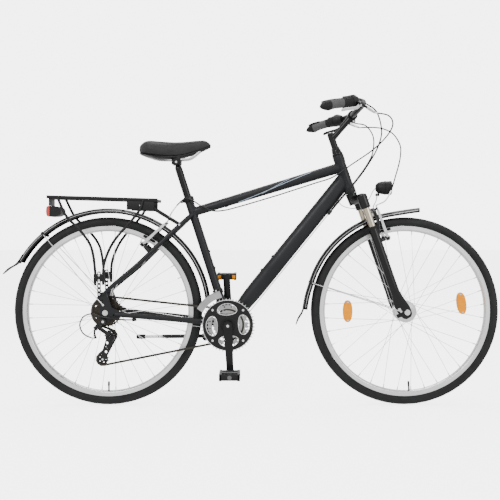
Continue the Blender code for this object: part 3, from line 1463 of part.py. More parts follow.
def pulley(centre):
    reach = pitch_radius(PULLEY_TEETH) + TOOTH_HEIGHT / 2
    bore = 0.0026 + RUNNING
    profile = [(bore, -0.0040), (0.0060, -0.0040), (0.0060, -0.0010), (reach, -0.0010), (reach, 0.0010),
               (0.0060, 0.0010),
               (0.0060, 0.0040), (bore, 0.0040)]
    return turned(profile, at(centre[0], LARGE_COG_Y, centre[1]), LATERAL, PULLEY_TEETH)


def front_derailleur():
    """Front derailleur cage: two curved plates joined over the chain, and its carrier arm."""
    centre = (BRACKET_X, BRACKET_Z)
    clear = pitch_radius(RINGS[0]) + TOOTH_HEIGHT + 0.0025
    outline = arc(centre, clear, 102, 154, 6) + arc(centre, clear + 0.0260, 152, 104, 5)
    inner_face = INNER_RING_Y + 0.0058
    outer_face = INNER_RING_Y - 0.0062
    body = side_plate(outline, inner_face, inner_face + 0.0014)
    outer = side_plate(outline, outer_face - 0.0014, outer_face)
    top = arc(centre, clear + 0.0205, 106, 126, 2) + arc(centre, clear + 0.0245, 126, 106, 2)
    body = fuse(body, side_plate(top, outer_face - 0.0010, inner_face + 0.0010), outer)
    tail_x, tail_z = arc(centre, clear + 0.0060, 151, 152, 1)[0]
    tail = disc(at(tail_x, outer_face - 0.0010, tail_z), at(tail_x, inner_face + 0.0010, tail_z), 0.0022, 6)
    body = fuse(body, tail)
    foot_x, foot_z = arc(centre, clear + 0.0180, 111, 112, 1)[0]
    arm = block(at(foot_x, -0.0318, foot_z + 0.0090), (0.0130, 0.0104, 0.0210))
    return fuse(body, arm)


# Kickstand


def kickstand():
    """Folded stand: eye on the pin, leg along the chain stay and rubber foot."""
    hinge = kickstand_axis()
    foot = KICKSTAND_PIVOT + KICKSTAND_FOLDED * KICKSTAND_LENGTH
    eye = disc(KICKSTAND_PIVOT - hinge * 0.0080, KICKSTAND_PIVOT + hinge * 0.0080, 0.0115, 12)
    shares = ((0.010, 0.0075), (0.60, 0.0075), (0.62, 0.0058), (0.86, 0.0058), (0.87, 0.0092), (1.0, 0.0092))
    path = [KICKSTAND_PIVOT + KICKSTAND_FOLDED * 0.006 + (foot - KICKSTAND_PIVOT) * share for share,
            _ in shares]
    leg = sweep(path, [ellipse(radius, radius, 8) for _, radius in shares])
    body = fuse(eye, leg)
    bore_low = KICKSTAND_PIVOT - hinge * 0.02
    bore_high = KICKSTAND_PIVOT + hinge * 0.02
    return cut(body, disc(bore_low, bore_high, 0.0045 + RUNNING, 10))


# Mudguards


def guard_section():
    """Rounded gutter: radial and sideways offsets from the crown of the mudguard."""
    steps = 3
    outer = []
    inner = []
    for i in range(steps + 1):
        across = -1 + 2 * i / steps
        drop = GUARD_SKIRT * abs(across) ** 2.4
        outer.append((-drop, GUARD_HALF * across))
        inner.append((-drop - GUARD_THICK * (1 - 0.35 * abs(across)),
                      (GUARD_HALF - GUARD_THICK * abs(across)) * across))
    return outer + inner[::-1]


def guard(axle, radius_at, start, end, steps):
    """Mudguard from angle start to angle end, in degrees up from straight ahead."""
    path = []
    for i in range(steps + 1):
        angle = start + (end - start) * i / steps
        turn = math.radians(angle)
        radius = radius_at(angle)
        path.append(axle + Vector((radius * math.cos(turn), 0, radius * math.sin(turn))))
    return sweep(path, [guard_section()] * len(path), LATERAL)


def flap(points, widths):
    """Thin hanging flap through side-view points, with a half width at each."""
    sections = [rectangle(0.0014, width) for width in widths]
    return sweep(points, sections, LATERAL)


def polar(axle, radius, degrees, y=0.0):
    turn = math.radians(degrees)
    return axle + Vector((radius * math.cos(turn), y, radius * math.sin(turn)))


def wire_stay(axle, radius, degrees, end_x, end_z, end_y):
    """Wire that runs from one fork end over the mudguard's inside to the other."""
    end = axle + Vector((end_x, -end_y, end_z))
    level = end.lerp(polar(axle, radius, degrees), 0.22)
    level.y = end.y
    half = [end, level, polar(axle, radius - 0.0280, degrees, -GUARD_HALF - 0.0040),
            polar(axle, radius - 0.0100, degrees, -GUARD_HALF + 0.0030),
            polar(axle, radius - 0.0035, degrees, -0.0100)]
    route = half + [Vector((p.x, -p.y, p.z)) for p in reversed(half)]
    return rod(route, 0.0017, 4)


def rear_guard_radius(degrees):
    return GUARD_RADIUS


def rear_mudguard(axle):
    body = guard(axle, rear_guard_radius, 7.0, 151.0, 15)
    tip_x = -FLAP_REACH
    points = [polar(axle, GUARD_RADIUS - 0.004, 146), polar(axle, GUARD_RADIUS - 0.001, 152),
              at(-0.368, 0, 0.510),
              at(tip_x, 0, 0.4890)]
    body = fuse(body, flap(points, (0.022, 0.0225, 0.0220, 0.0090)))
    eye_y = DROPOUT_HALF_REAR + DROPOUT_THICK + 0.0025
    body = fuse(body, wire_stay(axle, GUARD_RADIUS, 129.5, -0.0070, 0.0290, eye_y))
    bridge_turn = math.atan2(BRIDGE_Z - WHEEL_RADIUS, BRIDGE_X)
    bridge_low = math.hypot(BRIDGE_X, BRIDGE_Z - WHEEL_RADIUS) - BRIDGE_RADIUS - GAP
    tab_low = GUARD_RADIUS - 0.0040
    outward = Vector((math.cos(bridge_turn), 0, math.sin(bridge_turn)))
    tab = block(axle + outward * ((bridge_low + tab_low) / 2), (bridge_low - tab_low, 0.0160, 0.0100),
                outward)
    return fuse(body, tab)


def front_guard_radius(degrees):
    """Radius of the front mudguard's crown, which lifts at its tip and flares at its tail."""
    tip_lift = 0.016 * max(0.0, (100.0 - degrees) / 18.0) ** 2
    tail_flare = 0.008 * max(0.0, (degrees - 165.0) / 14.0)
    return FRONT_GUARD_RADIUS + tip_lift + tail_flare


def front_mudguard(axle):
    body = guard(axle, front_guard_radius, 82.0, 179.0, 10)
    points = [polar(axle, front_guard_radius(174) - 0.004, 174),
              polar(axle, front_guard_radius(179) - 0.001, 180), at(WHEELBASE - 0.3965, 0, 0.322),
              at(WHEELBASE - 0.4050, 0, 0.300)]
    body = fuse(body, flap(points, (0.0220, 0.0225, 0.0215, 0.0090)))
    body = fuse(body, wire_stay(axle, FRONT_GUARD_RADIUS, 163.0, -0.0240, 0.0040, 0.0640))
    behind_arch = steer(ARCH_OFFSET, 0, ARCH_HIGH - ARCH_RADIUS) - axle
    tab_angle = math.atan2(behind_arch.z, behind_arch.x)
    radial = Vector((math.cos(tab_angle), 0, math.sin(tab_angle)))
    tab_top = behind_arch.length - 2 * GAP
    tab_low = FRONT_GUARD_RADIUS - 0.0040
    tab = block(axle + radial * ((tab_top + tab_low) / 2), (tab_top - tab_low, 0.0140, 0.0100), radial)
    return fuse(body, tab)


# Rack and lights


def deck_z(x):
    """Height of the rack's deck at x."""
    share = (x - RACK_REAR_X) / (RACK_FRONT_X - RACK_REAR_X)
    return RACK_REAR_Z + (RACK_FRONT_Z - RACK_REAR_Z) * share


def deck_direction():
    return (at(RACK_FRONT_X, 0, RACK_FRONT_Z) - at(RACK_REAR_X, 0, RACK_REAR_Z)).normalized()


def rack():
    """Welded carrier: deck, side legs, foot straps and front stays."""
    along = deck_direction()
    middle_x = (RACK_REAR_X + RACK_FRONT_X) / 2
    length = RACK_FRONT_X - RACK_REAR_X
    leg_y = DROPOUT_HALF_REAR + DROPOUT_THICK + 0.0090
    body = None
    for side in (-1, 1):
        rail = block(at(middle_x, side * RACK_HALF, deck_z(middle_x)), (length, 0.0100, 0.0120), along)
        body = rail if body is None else fuse(body, rail)
    for x in (RACK_REAR_X + 0.006, -0.085, 0.055, RACK_FRONT_X - 0.006):
        body = fuse(body, block(at(x, 0, deck_z(x)), (0.0120, 2 * RACK_HALF, 0.0080), along))
    for y in (-0.020, 0.020):
        body = fuse(body, block(at(middle_x, y, deck_z(middle_x)), (length - 0.008, 0.0080, 0.0060), along))
    for side in (-1, 1):
        rear_leg = ((-0.174, 0.064, deck_z(-0.174)), (-0.140, leg_y - 0.0105, 0.703),
                    (-0.090, leg_y - 0.0055, 0.652), (-0.048, leg_y - 0.0015, 0.590),
                    (-0.0340, leg_y, 0.505), (-0.0340, leg_y, 0.452))
        front_leg = ((0.139, 0.064, deck_z(0.139)), (0.118, leg_y - 0.0115, 0.712),
                     (0.038, leg_y - 0.0035, 0.617), (0.004, leg_y - 0.0015, 0.548),
                     (-0.0045, leg_y, 0.500), (-0.0045, leg_y, 0.453))
        for leg in (rear_leg, front_leg):
            body = fuse(body, rod([at(x, side * y, z) for x, y, z in leg], RACK_ROD, 5))
        foot = block(at(-0.0195, side * (leg_y - 0.0005), 0.4790), (0.0400, 0.0080, 0.0280))
        strap_y = DROPOUT_HALF_REAR + DROPOUT_THICK + 0.0030
        strap = block(at(-0.0210, side * strap_y, 0.4560), (0.0130, 0.0040, 0.0920))
        body = fuse(body, foot, strap)
        stay_rear = at(0.150, side * 0.0600, deck_z(0.150) - 0.018)
        stay_front = at(0.2680, side * 0.0436, 0.6720)
        lug = block(at(0.128, side * RACK_HALF, deck_z(0.128) - 0.022), (0.100, 0.0040, 0.0360), along)
        body = fuse(body, lug, bar([stay_rear, stay_front], 0.0055, 0.0016))
    return fuse(body, block(at(RACK_REAR_X + 0.0050, 0, 0.7590), (0.0040, 0.0800, 0.0340)))


def tail_light():
    """Rear lamp with its reflector face, on the rack's end plate."""
    back = RACK_REAR_X - GAP
    outline = [(back + 0.0025, 0.7400), (back - 0.0040, 0.7440), (back - 0.0075, 0.7300),
               (back - 0.0065, 0.7040),
               (back + 0.0440, 0.7000), (back + 0.0480, 0.7180), (back + 0.0440, 0.7360)]
    body = side_plate(outline, -0.0400, 0.0400)
    return body


def headlight():
    """Lamp bowl with its lens and the strap that holds it to the fork arch."""
    forward = Vector((1, 0, 0))
    centre = at(WHEELBASE - 0.1100, 0, 0.8095)
    bowl = turned([(0, 0), (0.0120, 0.0010), (0.0215, 0.0110), (0.0250, 0.0300), (0.0262, 0.0560),
                   (0.0245, 0.0605), (0, 0.0625)], centre, forward, 14)
    strap_n = ARCH_OFFSET + ARCH_RADIUS + GAP + 0.0015
    foot = steer(strap_n, 0, ARCH_HIGH - 0.004)
    bend = steer(strap_n, 0, ARCH_HIGH + 0.012)
    neck = centre + Vector((0.0040, 0, -0.0455))
    cradle = centre + Vector((0.0070, 0, -0.0175))
    strap = bar([foot, bend, neck, cradle], 0.0015, 0.0080)
    return fuse(bowl, strap)


# Cables


def cable(*runs):
    """Cable through runs of route points; each run is (points, radius, steps between points)."""
    path = []
    radii = []
    for points, radius, steps in runs:
        run = smooth(points, steps) if steps > 1 else points
        path += run
        radii += [radius] * len(run)
    return sweep(path, [ellipse(radius, radius, 4) for radius in radii])


def past_barrel(side):
    """Start of a brake cable, just beyond its adjuster."""
    along = (barrel_tip(side) - barrel_foot(side)).normalized()
    return barrel_tip(side) + along * CABLE_END


def past_pod(side):
    """Start of a shift cable, just beyond its pod."""
    return on_bar(side, POD_END + 0.0075 + CABLE_END) + lever_reach(side) * 0.0150


def noodle(place, plane, pivot):
    """Curved lead pipe over the right arm."""
    level = pivot + ARM_LENGTH + 0.0038
    return [place(plane, -0.0415, level + 0.0130), place(plane, -0.0390, level + 0.0030),
            place(plane, -0.0310, level)]


def pull_wire(place, plane, pivot):
    """Bare wire from the lead pipe to the left arm."""
    level = pivot + ARM_LENGTH + 0.0038
    return [place(plane, -0.0290, level), place(plane, 0.0360, level)]


def placed(*points):
    return [at(*point) for point in points]


def rear_brake_cable():
    housing = [past_barrel(-1)] + placed(
        (1.0088, -0.1720, 1.0540), (1.0300, -0.1520, 1.0370), (1.0310, -0.1320, 1.0120),
        (1.0100, -0.0990, 0.9780),
        (0.9700, -0.0690, 0.9400), (0.9000, -0.0420, 0.8920), (0.8342, -0.0300, 0.8478),
        (0.7635, -0.0220, 0.8240))
    below = placed((0.6300, -0.0150, 0.7810), (0.4910, -0.0140, 0.7400))
    rise = placed((0.4300, -0.0190, 0.7250), (0.3880, -0.0240, 0.7240), (0.3500, -0.0285, 0.7400),
                  (0.3180, -0.0310, 0.7600), (0.2880, -0.0320, 0.7680), (0.2580, -0.0350, 0.7420),
                  (0.2390, -0.0390, 0.7150))
    lead = noodle(stay, REAR_ARM_PLANE, rear_pivot())
    return cable((housing, HOUSING, 2), (below, HOUSING, 1), (rise + lead, NOODLE, 2),
                 (pull_wire(stay, REAR_ARM_PLANE, rear_pivot()), WIRE, 1))


def front_brake_cable():
    housing = [past_barrel(1)] + placed(
        (1.0187, 0.1720, 1.0575), (1.0540, 0.1450, 1.0470), (1.0820, 0.1050, 1.0220),
        (1.0973, 0.0600, 0.9789),
        (1.0954, 0.0300, 0.9443), (1.0837, 0.0000, 0.9010), (1.0640, -0.0250, 0.8450),
        (1.0480, -0.0400, 0.7980),
        (1.0250, -0.0450, 0.7600))
    lead = noodle(fork_brake, FRONT_ARM_PLANE, front_pivot())
    return cable((housing + lead, HOUSING, 2),
                 (pull_wire(fork_brake, FRONT_ARM_PLANE, front_pivot()), WIRE, 1))


def rear_shift_cable():
    """Housing to the down tube, bare wire to the chain stay, and the housing's loop behind the axle."""
    housing = [past_pod(-1)] + placed(
        (0.9366, -0.1810, 1.0895), (0.9750, -0.1560, 1.0650), (0.9971, -0.1220, 1.0059),
        (0.9900, -0.0960, 0.9550),
        (0.9624, -0.0750, 0.8985), (0.9200, -0.0530, 0.8350))
    housing += [under_down_tube(CABLE_STOP + 0.050, -0.0200), under_down_tube(CABLE_STOP, -STOP_SPREAD)]
    wire = [under_down_tube(CABLE_STOP - 0.004, -STOP_SPREAD), under_down_tube(0.040, -0.0120)]
    wire += placed((0.4550, -0.0130, 0.2775), (0.4300, -0.0180, 0.2810), (0.3900, -0.0300, 0.2890),
                   (0.2500, -0.0475, 0.3085), (0.1350, -0.0624, 0.3231), (STAY_STOP_X, -0.0646, 0.3243))
    loop = placed((STAY_STOP_X - 0.0040, -0.0650, 0.3242), (0.0700, -0.0710, 0.3250),
                  (0.0300, -0.0795, 0.3310),
                  (-0.0060, -0.0808, 0.3354), (-0.0450, -0.0765, 0.3470), (-0.0780, -0.0710, 0.3370),
                  (-0.0930, -0.0690, 0.3080), (-0.0840, -0.0715, 0.2800), (-0.0640, -0.0765, 0.2655),
                  (-0.0380, -0.0815, 0.2578))
    return cable((housing, HOUSING, 2), (wire, WIRE, 1), (loop, HOUSING, 2))


def front_shift_cable():
    """Housing to the down tube, and bare wire under the bottom bracket to the front derailleur."""
    housing = [past_pod(1)] + placed(
        (0.9464, 0.1790, 1.0745), (0.9830, 0.1530, 1.0610), (1.0060, 0.1210, 1.0150),
        (1.0010, 0.0920, 0.9560),
        (0.9812, 0.0750, 0.9124), (0.9350, 0.0540, 0.8480))
    housing += [under_down_tube(CABLE_STOP + 0.050, 0.0200), under_down_tube(CABLE_STOP, STOP_SPREAD)]
    wire = [under_down_tube(CABLE_STOP - 0.004, STOP_SPREAD), under_down_tube(0.040, 0.0060)]
    wire += placed((0.4540, 0.0050, 0.2770), (0.4340, 0.0040, 0.2790), (0.4215, 0.0010, 0.2900),
                   (0.4165, -0.0030, 0.3100),
                   (0.4110, -0.0100, 0.3500), (0.4040, -0.0200, 0.3850), (0.4010, -0.0300, 0.4060))
    return cable((housing, HOUSING, 2), (wire, WIRE, 1))


def light_wire():
    """Lamp lead from the down tube, hanging below the crown and up to the headlight."""
    foot = at(BRACKET_X, 0, BRACKET_Z)
    along = (steer(0, 0, DOWN_TUBE_HEAD) - foot).normalized()
    start = foot + along * 0.612 - Vector((-along.z, 0, along.x)) * (DOWN_HALF_DEPTH + 0.0020)
    points = placed((0.8760, 0.0, 0.7410), (0.9145, 0.0, 0.7330), (0.9520, 0.0, 0.7420),
                    (0.9720, 0.0, 0.7680),
                    (0.9850, 0.0, 0.7950), (0.9935, 0.0, 0.8070))
    return cable(([start] + points, WIRE + 0.0006, 1))


# Assembly


def build():
    rear = at(0, 0, WHEEL_RADIUS)
    front = at(WHEELBASE, 0, WHEEL_RADIUS)
    bracket = at(BRACKET_X, 0, BRACKET_Z)

    frame_origin = joint_origin("frame_origin", at(0, 0, 0))
    keep(head_tube(), "head_tube", BLACK_PAINT, 0.42, 0.1, frame_origin)
    keep(top_tube(), "top_tube", BLACK_PAINT, 0.42, 0.1, frame_origin)
    keep(down_tube(), "down_tube", BLACK_PAINT, 0.42, 0.1, frame_origin)
    keep(seat_tube(), "seat_tube", BLACK_PAINT, 0.42, 0.1, frame_origin)
    keep(chain_stays(), "chain_stays", BLACK_PAINT, 0.42, 0.1, frame_origin)
    keep(seat_stays(), "seat_stays", BLACK_PAINT, 0.42, 0.1, frame_origin)
    keep(seat_clamp(), "seat_clamp", GLOSS_BLACK, 0.35, 0.3, frame_origin)
    keep(rear_axle(rear), "rear_axle", BRIGHT_STEEL, 0.30, 0.9, frame_origin)
    keep(rear_mudguard(rear), "rear_mudguard", GLOSS_BLACK, 0.25, 0.0, frame_origin)
    keep(rack(), "rack", BLACK_PAINT, 0.40, 0.2, frame_origin)
    keep(tail_light(), "tail_light", RED_LENS, 0.20, 0.0, frame_origin)
    keep(derailleur_hanger(), "derailleur_hanger_knuckle", DARK_STEEL, 0.40, 0.6, frame_origin)
    keep(chain(), "chain", CHAIN_BROWN, 0.35, 0.8, frame_origin)
    keep(rear_brake_cable(), "rear_brake_cable", BLACK_PLASTIC, 0.45, 0.0, frame_origin)
    keep(rear_shift_cable(), "rear_shift_cable", BLACK_PLASTIC, 0.45, 0.0, frame_origin)
    keep(front_shift_cable(), "front_shift_cable", BLACK_PLASTIC, 0.45, 0.0, frame_origin)
    keep(light_wire(), "light_wire", BLACK_PLASTIC, 0.45, 0.0, frame_origin)

    post_origin = joint_origin("seatpost_axis", seat(0, 0, SEAT_TUBE_LENGTH), -SEAT_LEAN)
    keep(seatpost(), "seatpost", SILVER, 0.30, 0.9, post_origin)
    saddle_origin = joint_origin("saddle_tilt_axis", SADDLE_PIVOT)
    keep(saddle_cushion(), "saddle_cushion", DARK_VINYL, 0.55, 0.0, saddle_origin)
    keep(saddle_base(), "saddle_base", BLACK_PLASTIC, 0.45, 0.0, saddle_origin)

    steering_origin = joint_origin("steering_axis", steer(0, 0, 0), -LEAN)
    keep(fork_upper(), "fork_upper", GLOSS_BLACK, 0.25, 0.3, steering_origin)
    keep(stem(), "stem", BLACK_PAINT, 0.38, 0.3, steering_origin)
    keep(handlebar(), "handlebar", BLACK_PAINT, 0.38, 0.3, steering_origin)
    for side, name in ((-1, "right"), (1, "left")):
        keep(grip(side), "grip_" + name, GREY_RUBBER, 0.75, 0.0, steering_origin)
        keep(control_bracket(side), "control_bracket_" + name, BLACK_PLASTIC, 0.45, 0.0, steering_origin)
        twist_origin = joint_origin("twist_axis_" + name, on_bar(side, TWIST_START))
        keep(twist_grip(side), "twist_grip_" + name, BLACK_RUBBER, 0.70, 0.0, twist_origin)
        lever_origin = joint_origin("lever_axis_" + name, lever_pivot(side))
        keep(brake_lever(side), "brake_lever_" + name, BLACK_PAINT, 0.40, 0.3, lever_origin)

    keep(front_brake_cable(), "front_brake_cable", BLACK_PLASTIC, 0.45, 0.0, steering_origin)
    lower_origin = joint_origin("fork_slide_axis", steer(LEG_OFFSET, 0, LEG_TOP), -LEAN)
    keep(fork_lowers(), "fork_lowers", GLOSS_BLACK, 0.18, 0.2, lower_origin)
    keep(front_mudguard(front), "front_mudguard", GLOSS_BLACK, 0.25, 0.0, lower_origin)
    keep(headlight(), "headlight", BLACK_PLASTIC, 0.30, 0.0, lower_origin)

    for side, name in ((-1, "right"), (1, "left")):
        front_arm_origin = joint_origin("front_brake_axis_" + name,
                                        fork_brake(FRONT_ARM_PLANE, side * ARM_SPREAD, front_pivot()),
                                        -LEAN)
        keep(brake_arm(fork_brake, side, FRONT_ARM_PLANE, front_pivot()), "front_brake_arm_" + name, SILVER,
             0.32, 0.9,
             front_arm_origin)
        rear_arm_origin = joint_origin("rear_brake_axis_" + name,
                                       stay(REAR_ARM_PLANE, side * ARM_SPREAD, rear_pivot()))
        keep(brake_arm(stay, side, REAR_ARM_PLANE, rear_pivot()), "rear_brake_arm_" + name, SILVER, 0.32, 0.9,
             rear_arm_origin)

    front_origin = joint_origin("front_wheel_axis", front)
    keep(tyre(front), "front_tyre", BLACK_RUBBER, 0.80, 0.0, front_origin)
    keep(rim(front), "front_rim", SILVER, 0.30, 0.9, front_origin)
    keep(front_spokes(front), "front_spokes", BRIGHT_STEEL, 0.25, 0.9, front_origin)
    keep(front_hub(front), "front_hub", SILVER, 0.30, 0.9, front_origin)

    rear_origin = joint_origin("rear_wheel_axis", rear)
    keep(tyre(rear), "rear_tyre", BLACK_RUBBER, 0.80, 0.0, rear_origin)
    keep(rim(rear), "rear_rim", SILVER, 0.30, 0.9, rear_origin)
    rear_lacing = spokes(rear, REAR_FLANGE, (REAR_FLANGE_RIGHT, REAR_FLANGE_LEFT))
    keep(rear_lacing, "rear_spokes", BRIGHT_STEEL, 0.25, 0.9, rear_origin)
    keep(rear_hub(rear), "rear_hub", SILVER, 0.30, 0.9, rear_origin)
    cassette_origin = joint_origin("cassette_axis", rear)
    keep(cassette(rear), "cassette", DARK_STEEL, 0.40, 0.8, cassette_origin)

    crank_origin = joint_origin("crank_axis", bracket)
    keep(crank_right(), "crank_right", SILVER, 0.35, 0.9, crank_origin)
    keep(crank_left(), "crank_left", GLOSS_BLACK, 0.35, 0.5, crank_origin)
    keep(chain_guard(), "chain_guard", BLACK_PLASTIC, 0.35, 0.0, crank_origin)
    for side, name in ((-1, "right"), (1, "left")):
        x, z = crank_point(side, CRANK_LENGTH)
        pedal_origin = joint_origin("pedal_axis_" + name, at(x, side * 0.09, z))
        keep(pedal(side), "pedal_" + name, BLACK_PLASTIC, 0.50, 0.0, pedal_origin)

    link_origin = joint_origin("derailleur_link_axis", link_point(LINK_REAR))
    keep(derailleur_link(), "derailleur_link", DARK_STEEL, 0.40, 0.6, link_origin)
    knuckle_origin = joint_origin("derailleur_body_axis", link_point(LINK_FRONT))
    keep(derailleur_body(), "derailleur_body", DARK_STEEL, 0.40, 0.6, knuckle_origin)
    cage_origin = joint_origin("derailleur_cage_axis", at(CAGE_PIVOT[0], LARGE_COG_Y, CAGE_PIVOT[1]))
    keep(derailleur_cage(), "derailleur_cage", DARK_STEEL, 0.40, 0.6, cage_origin)
    for centre, name in ((GUIDE_PULLEY, "guide_pulley"), (TENSION_PULLEY, "tension_pulley")):
        pulley_origin = joint_origin(name + "_axis", at(centre[0], LARGE_COG_Y, centre[1]))
        keep(pulley(centre), name, BLACK_PLASTIC, 0.50, 0.0, pulley_origin)
    shift_origin = joint_origin("front_derailleur_slide", at(0.400, INNER_RING_Y, 0.420))
    keep(front_derailleur(), "front_derailleur_cage", BRIGHT_STEEL, 0.30, 0.9, shift_origin)

    stand_origin = joint_origin("kickstand_axis", KICKSTAND_PIVOT)
    keep(kickstand(), "kickstand", GLOSS_BLACK, 0.40, 0.3, stand_origin)


for old in list(bpy.data.objects):
    bpy.data.objects.remove(old)
build()
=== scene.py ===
# Trekking bike: the visible pieces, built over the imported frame.
# Shapes are written in the bike's own frame: x forward of the rear axle, y to the left, z above the ground.

import math

import bmesh
import bpy
from mathutils import Matrix, Vector
from mathutils.bvhtree import BVHTree
from mathutils.geometry import tessellate_polygon


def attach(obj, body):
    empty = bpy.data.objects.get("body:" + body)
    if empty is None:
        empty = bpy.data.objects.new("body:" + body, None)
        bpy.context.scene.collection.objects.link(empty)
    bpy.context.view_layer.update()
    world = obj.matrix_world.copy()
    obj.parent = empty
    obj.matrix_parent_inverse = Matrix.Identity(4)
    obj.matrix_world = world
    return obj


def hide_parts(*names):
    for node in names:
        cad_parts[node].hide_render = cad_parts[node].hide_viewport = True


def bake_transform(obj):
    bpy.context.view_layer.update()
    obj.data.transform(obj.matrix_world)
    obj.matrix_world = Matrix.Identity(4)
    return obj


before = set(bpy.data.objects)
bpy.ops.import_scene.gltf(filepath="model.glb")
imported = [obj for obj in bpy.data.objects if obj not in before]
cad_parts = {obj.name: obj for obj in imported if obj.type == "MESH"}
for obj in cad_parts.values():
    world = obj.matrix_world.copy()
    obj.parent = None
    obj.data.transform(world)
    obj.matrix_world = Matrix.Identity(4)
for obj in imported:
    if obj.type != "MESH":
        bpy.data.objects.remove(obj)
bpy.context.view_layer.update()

# Driving sizes

WHEEL_RADIUS = 0.35
TYRE_WIDTH = 0.038
SPOKE_COUNT = 36
REFLECTOR_REACH = 0.213
WHEELBASE = 1.105
LEAN = math.radians(90 - 70.7)
SEAT_LEAN = math.radians(90 - 72.3)
STAY_ANGLE = math.radians(42.5)
FORK_RAKE = 0.0445
REAR_AXLE_X = -0.53075
BRACKET_X = 0.447
BRACKET_Z = 0.303
CRANK_LENGTH = 0.17
CRANK_REST = math.radians(2.9)
LATERAL = Vector((0, 1, 0))
AHEAD = Vector((1, 0, 0))
CHAIN_PITCH = 0.0127
RINGS = (48, 38, 28)
COGS = (28, 24, 22, 20, 18, 16, 14)
LARGE_COG_Y = -0.031
INNER_RING_Y = -0.041
GUIDE_PULLEY = (0.012, 0.262)
TENSION_PULLEY = (-0.0166, 0.1748)
CAGE_PIVOT = (0.0209, 0.2556)
LINK_REAR = Vector((-0.03, -0.081, 0.303))
LINK_FRONT = Vector((0.01, -0.061, 0.27))
GUARD_RADIUS = 0.383
FRONT_GUARD_RADIUS = 0.3735
GUARD_HALF = 0.0255
GUARD_DROP = 0.0165
GUARD_CURVE = 2.4
GUARD_WALL = 0.0015
BRIDGE_AHEAD = 0.252
BRIDGE_HEIGHT = 0.3045
ARM_SPREAD = 0.042
ARM_LENGTH = 0.11
BRAKE_TRACK = 0.3095
PAD_ABOVE_PIVOT = 0.027
FRONT_ARM_PLANE = 0.0245
REAR_ARM_PLANE = 0.0948
LEG_OFFSET = 0.0255
LEG_SPREAD = 0.063
DOWN_DEPTH = 0.03
HEAD_TUBE_RADIUS = 0.0192
WELD_BEAD = 0.0021
SEAT_TUBE_RADIUS = 0.016
CABLE_STOP = 0.56
STOP_SPREAD = 0.015


def at(x, y, z):
    return Vector((REAR_AXLE_X + x, y, z))


def placed(*points):
    return [at(*point) for point in points]


def steer(n, y, s):
    """Point n ahead of the steering axis and s up along it."""
    x = WHEELBASE - FORK_RAKE * math.cos(LEAN) + n * math.cos(LEAN) - s * math.sin(LEAN)
    z = WHEEL_RADIUS - FORK_RAKE * math.sin(LEAN) + n * math.sin(LEAN) + s * math.cos(LEAN)
    return at(x, y, z)


def seat(n, y, s):
    """Point n ahead of the seat tube's axis and s up along it."""
    x = BRACKET_X + n * math.cos(SEAT_LEAN) - s * math.sin(SEAT_LEAN)
    z = BRACKET_Z + n * math.sin(SEAT_LEAN) + s * math.cos(SEAT_LEAN)
    return at(x, y, z)


def stay(n, y, s):
    """Point n behind the seat stays' direction and s up along it."""
    x = -n * math.sin(STAY_ANGLE) + s * math.cos(STAY_ANGLE)
    z = WHEEL_RADIUS + n * math.cos(STAY_ANGLE) + s * math.sin(STAY_ANGLE)
    return at(x, y, z)


def fork_brake(n, y, s):
    return steer(FORK_RAKE + n, y, s)


STEER_UP = (steer(0, 0, 1) - steer(0, 0, 0)).normalized()
STEER_AHEAD = (steer(1, 0, 0) - steer(0, 0, 0)).normalized()
SEAT_UP = (seat(0, 0, 1) - seat(0, 0, 0)).normalized()
REAR = at(0, 0, WHEEL_RADIUS)
FRONT = at(WHEELBASE, 0, WHEEL_RADIUS)
BRACKET = at(BRACKET_X, 0, BRACKET_Z)

# Finishes


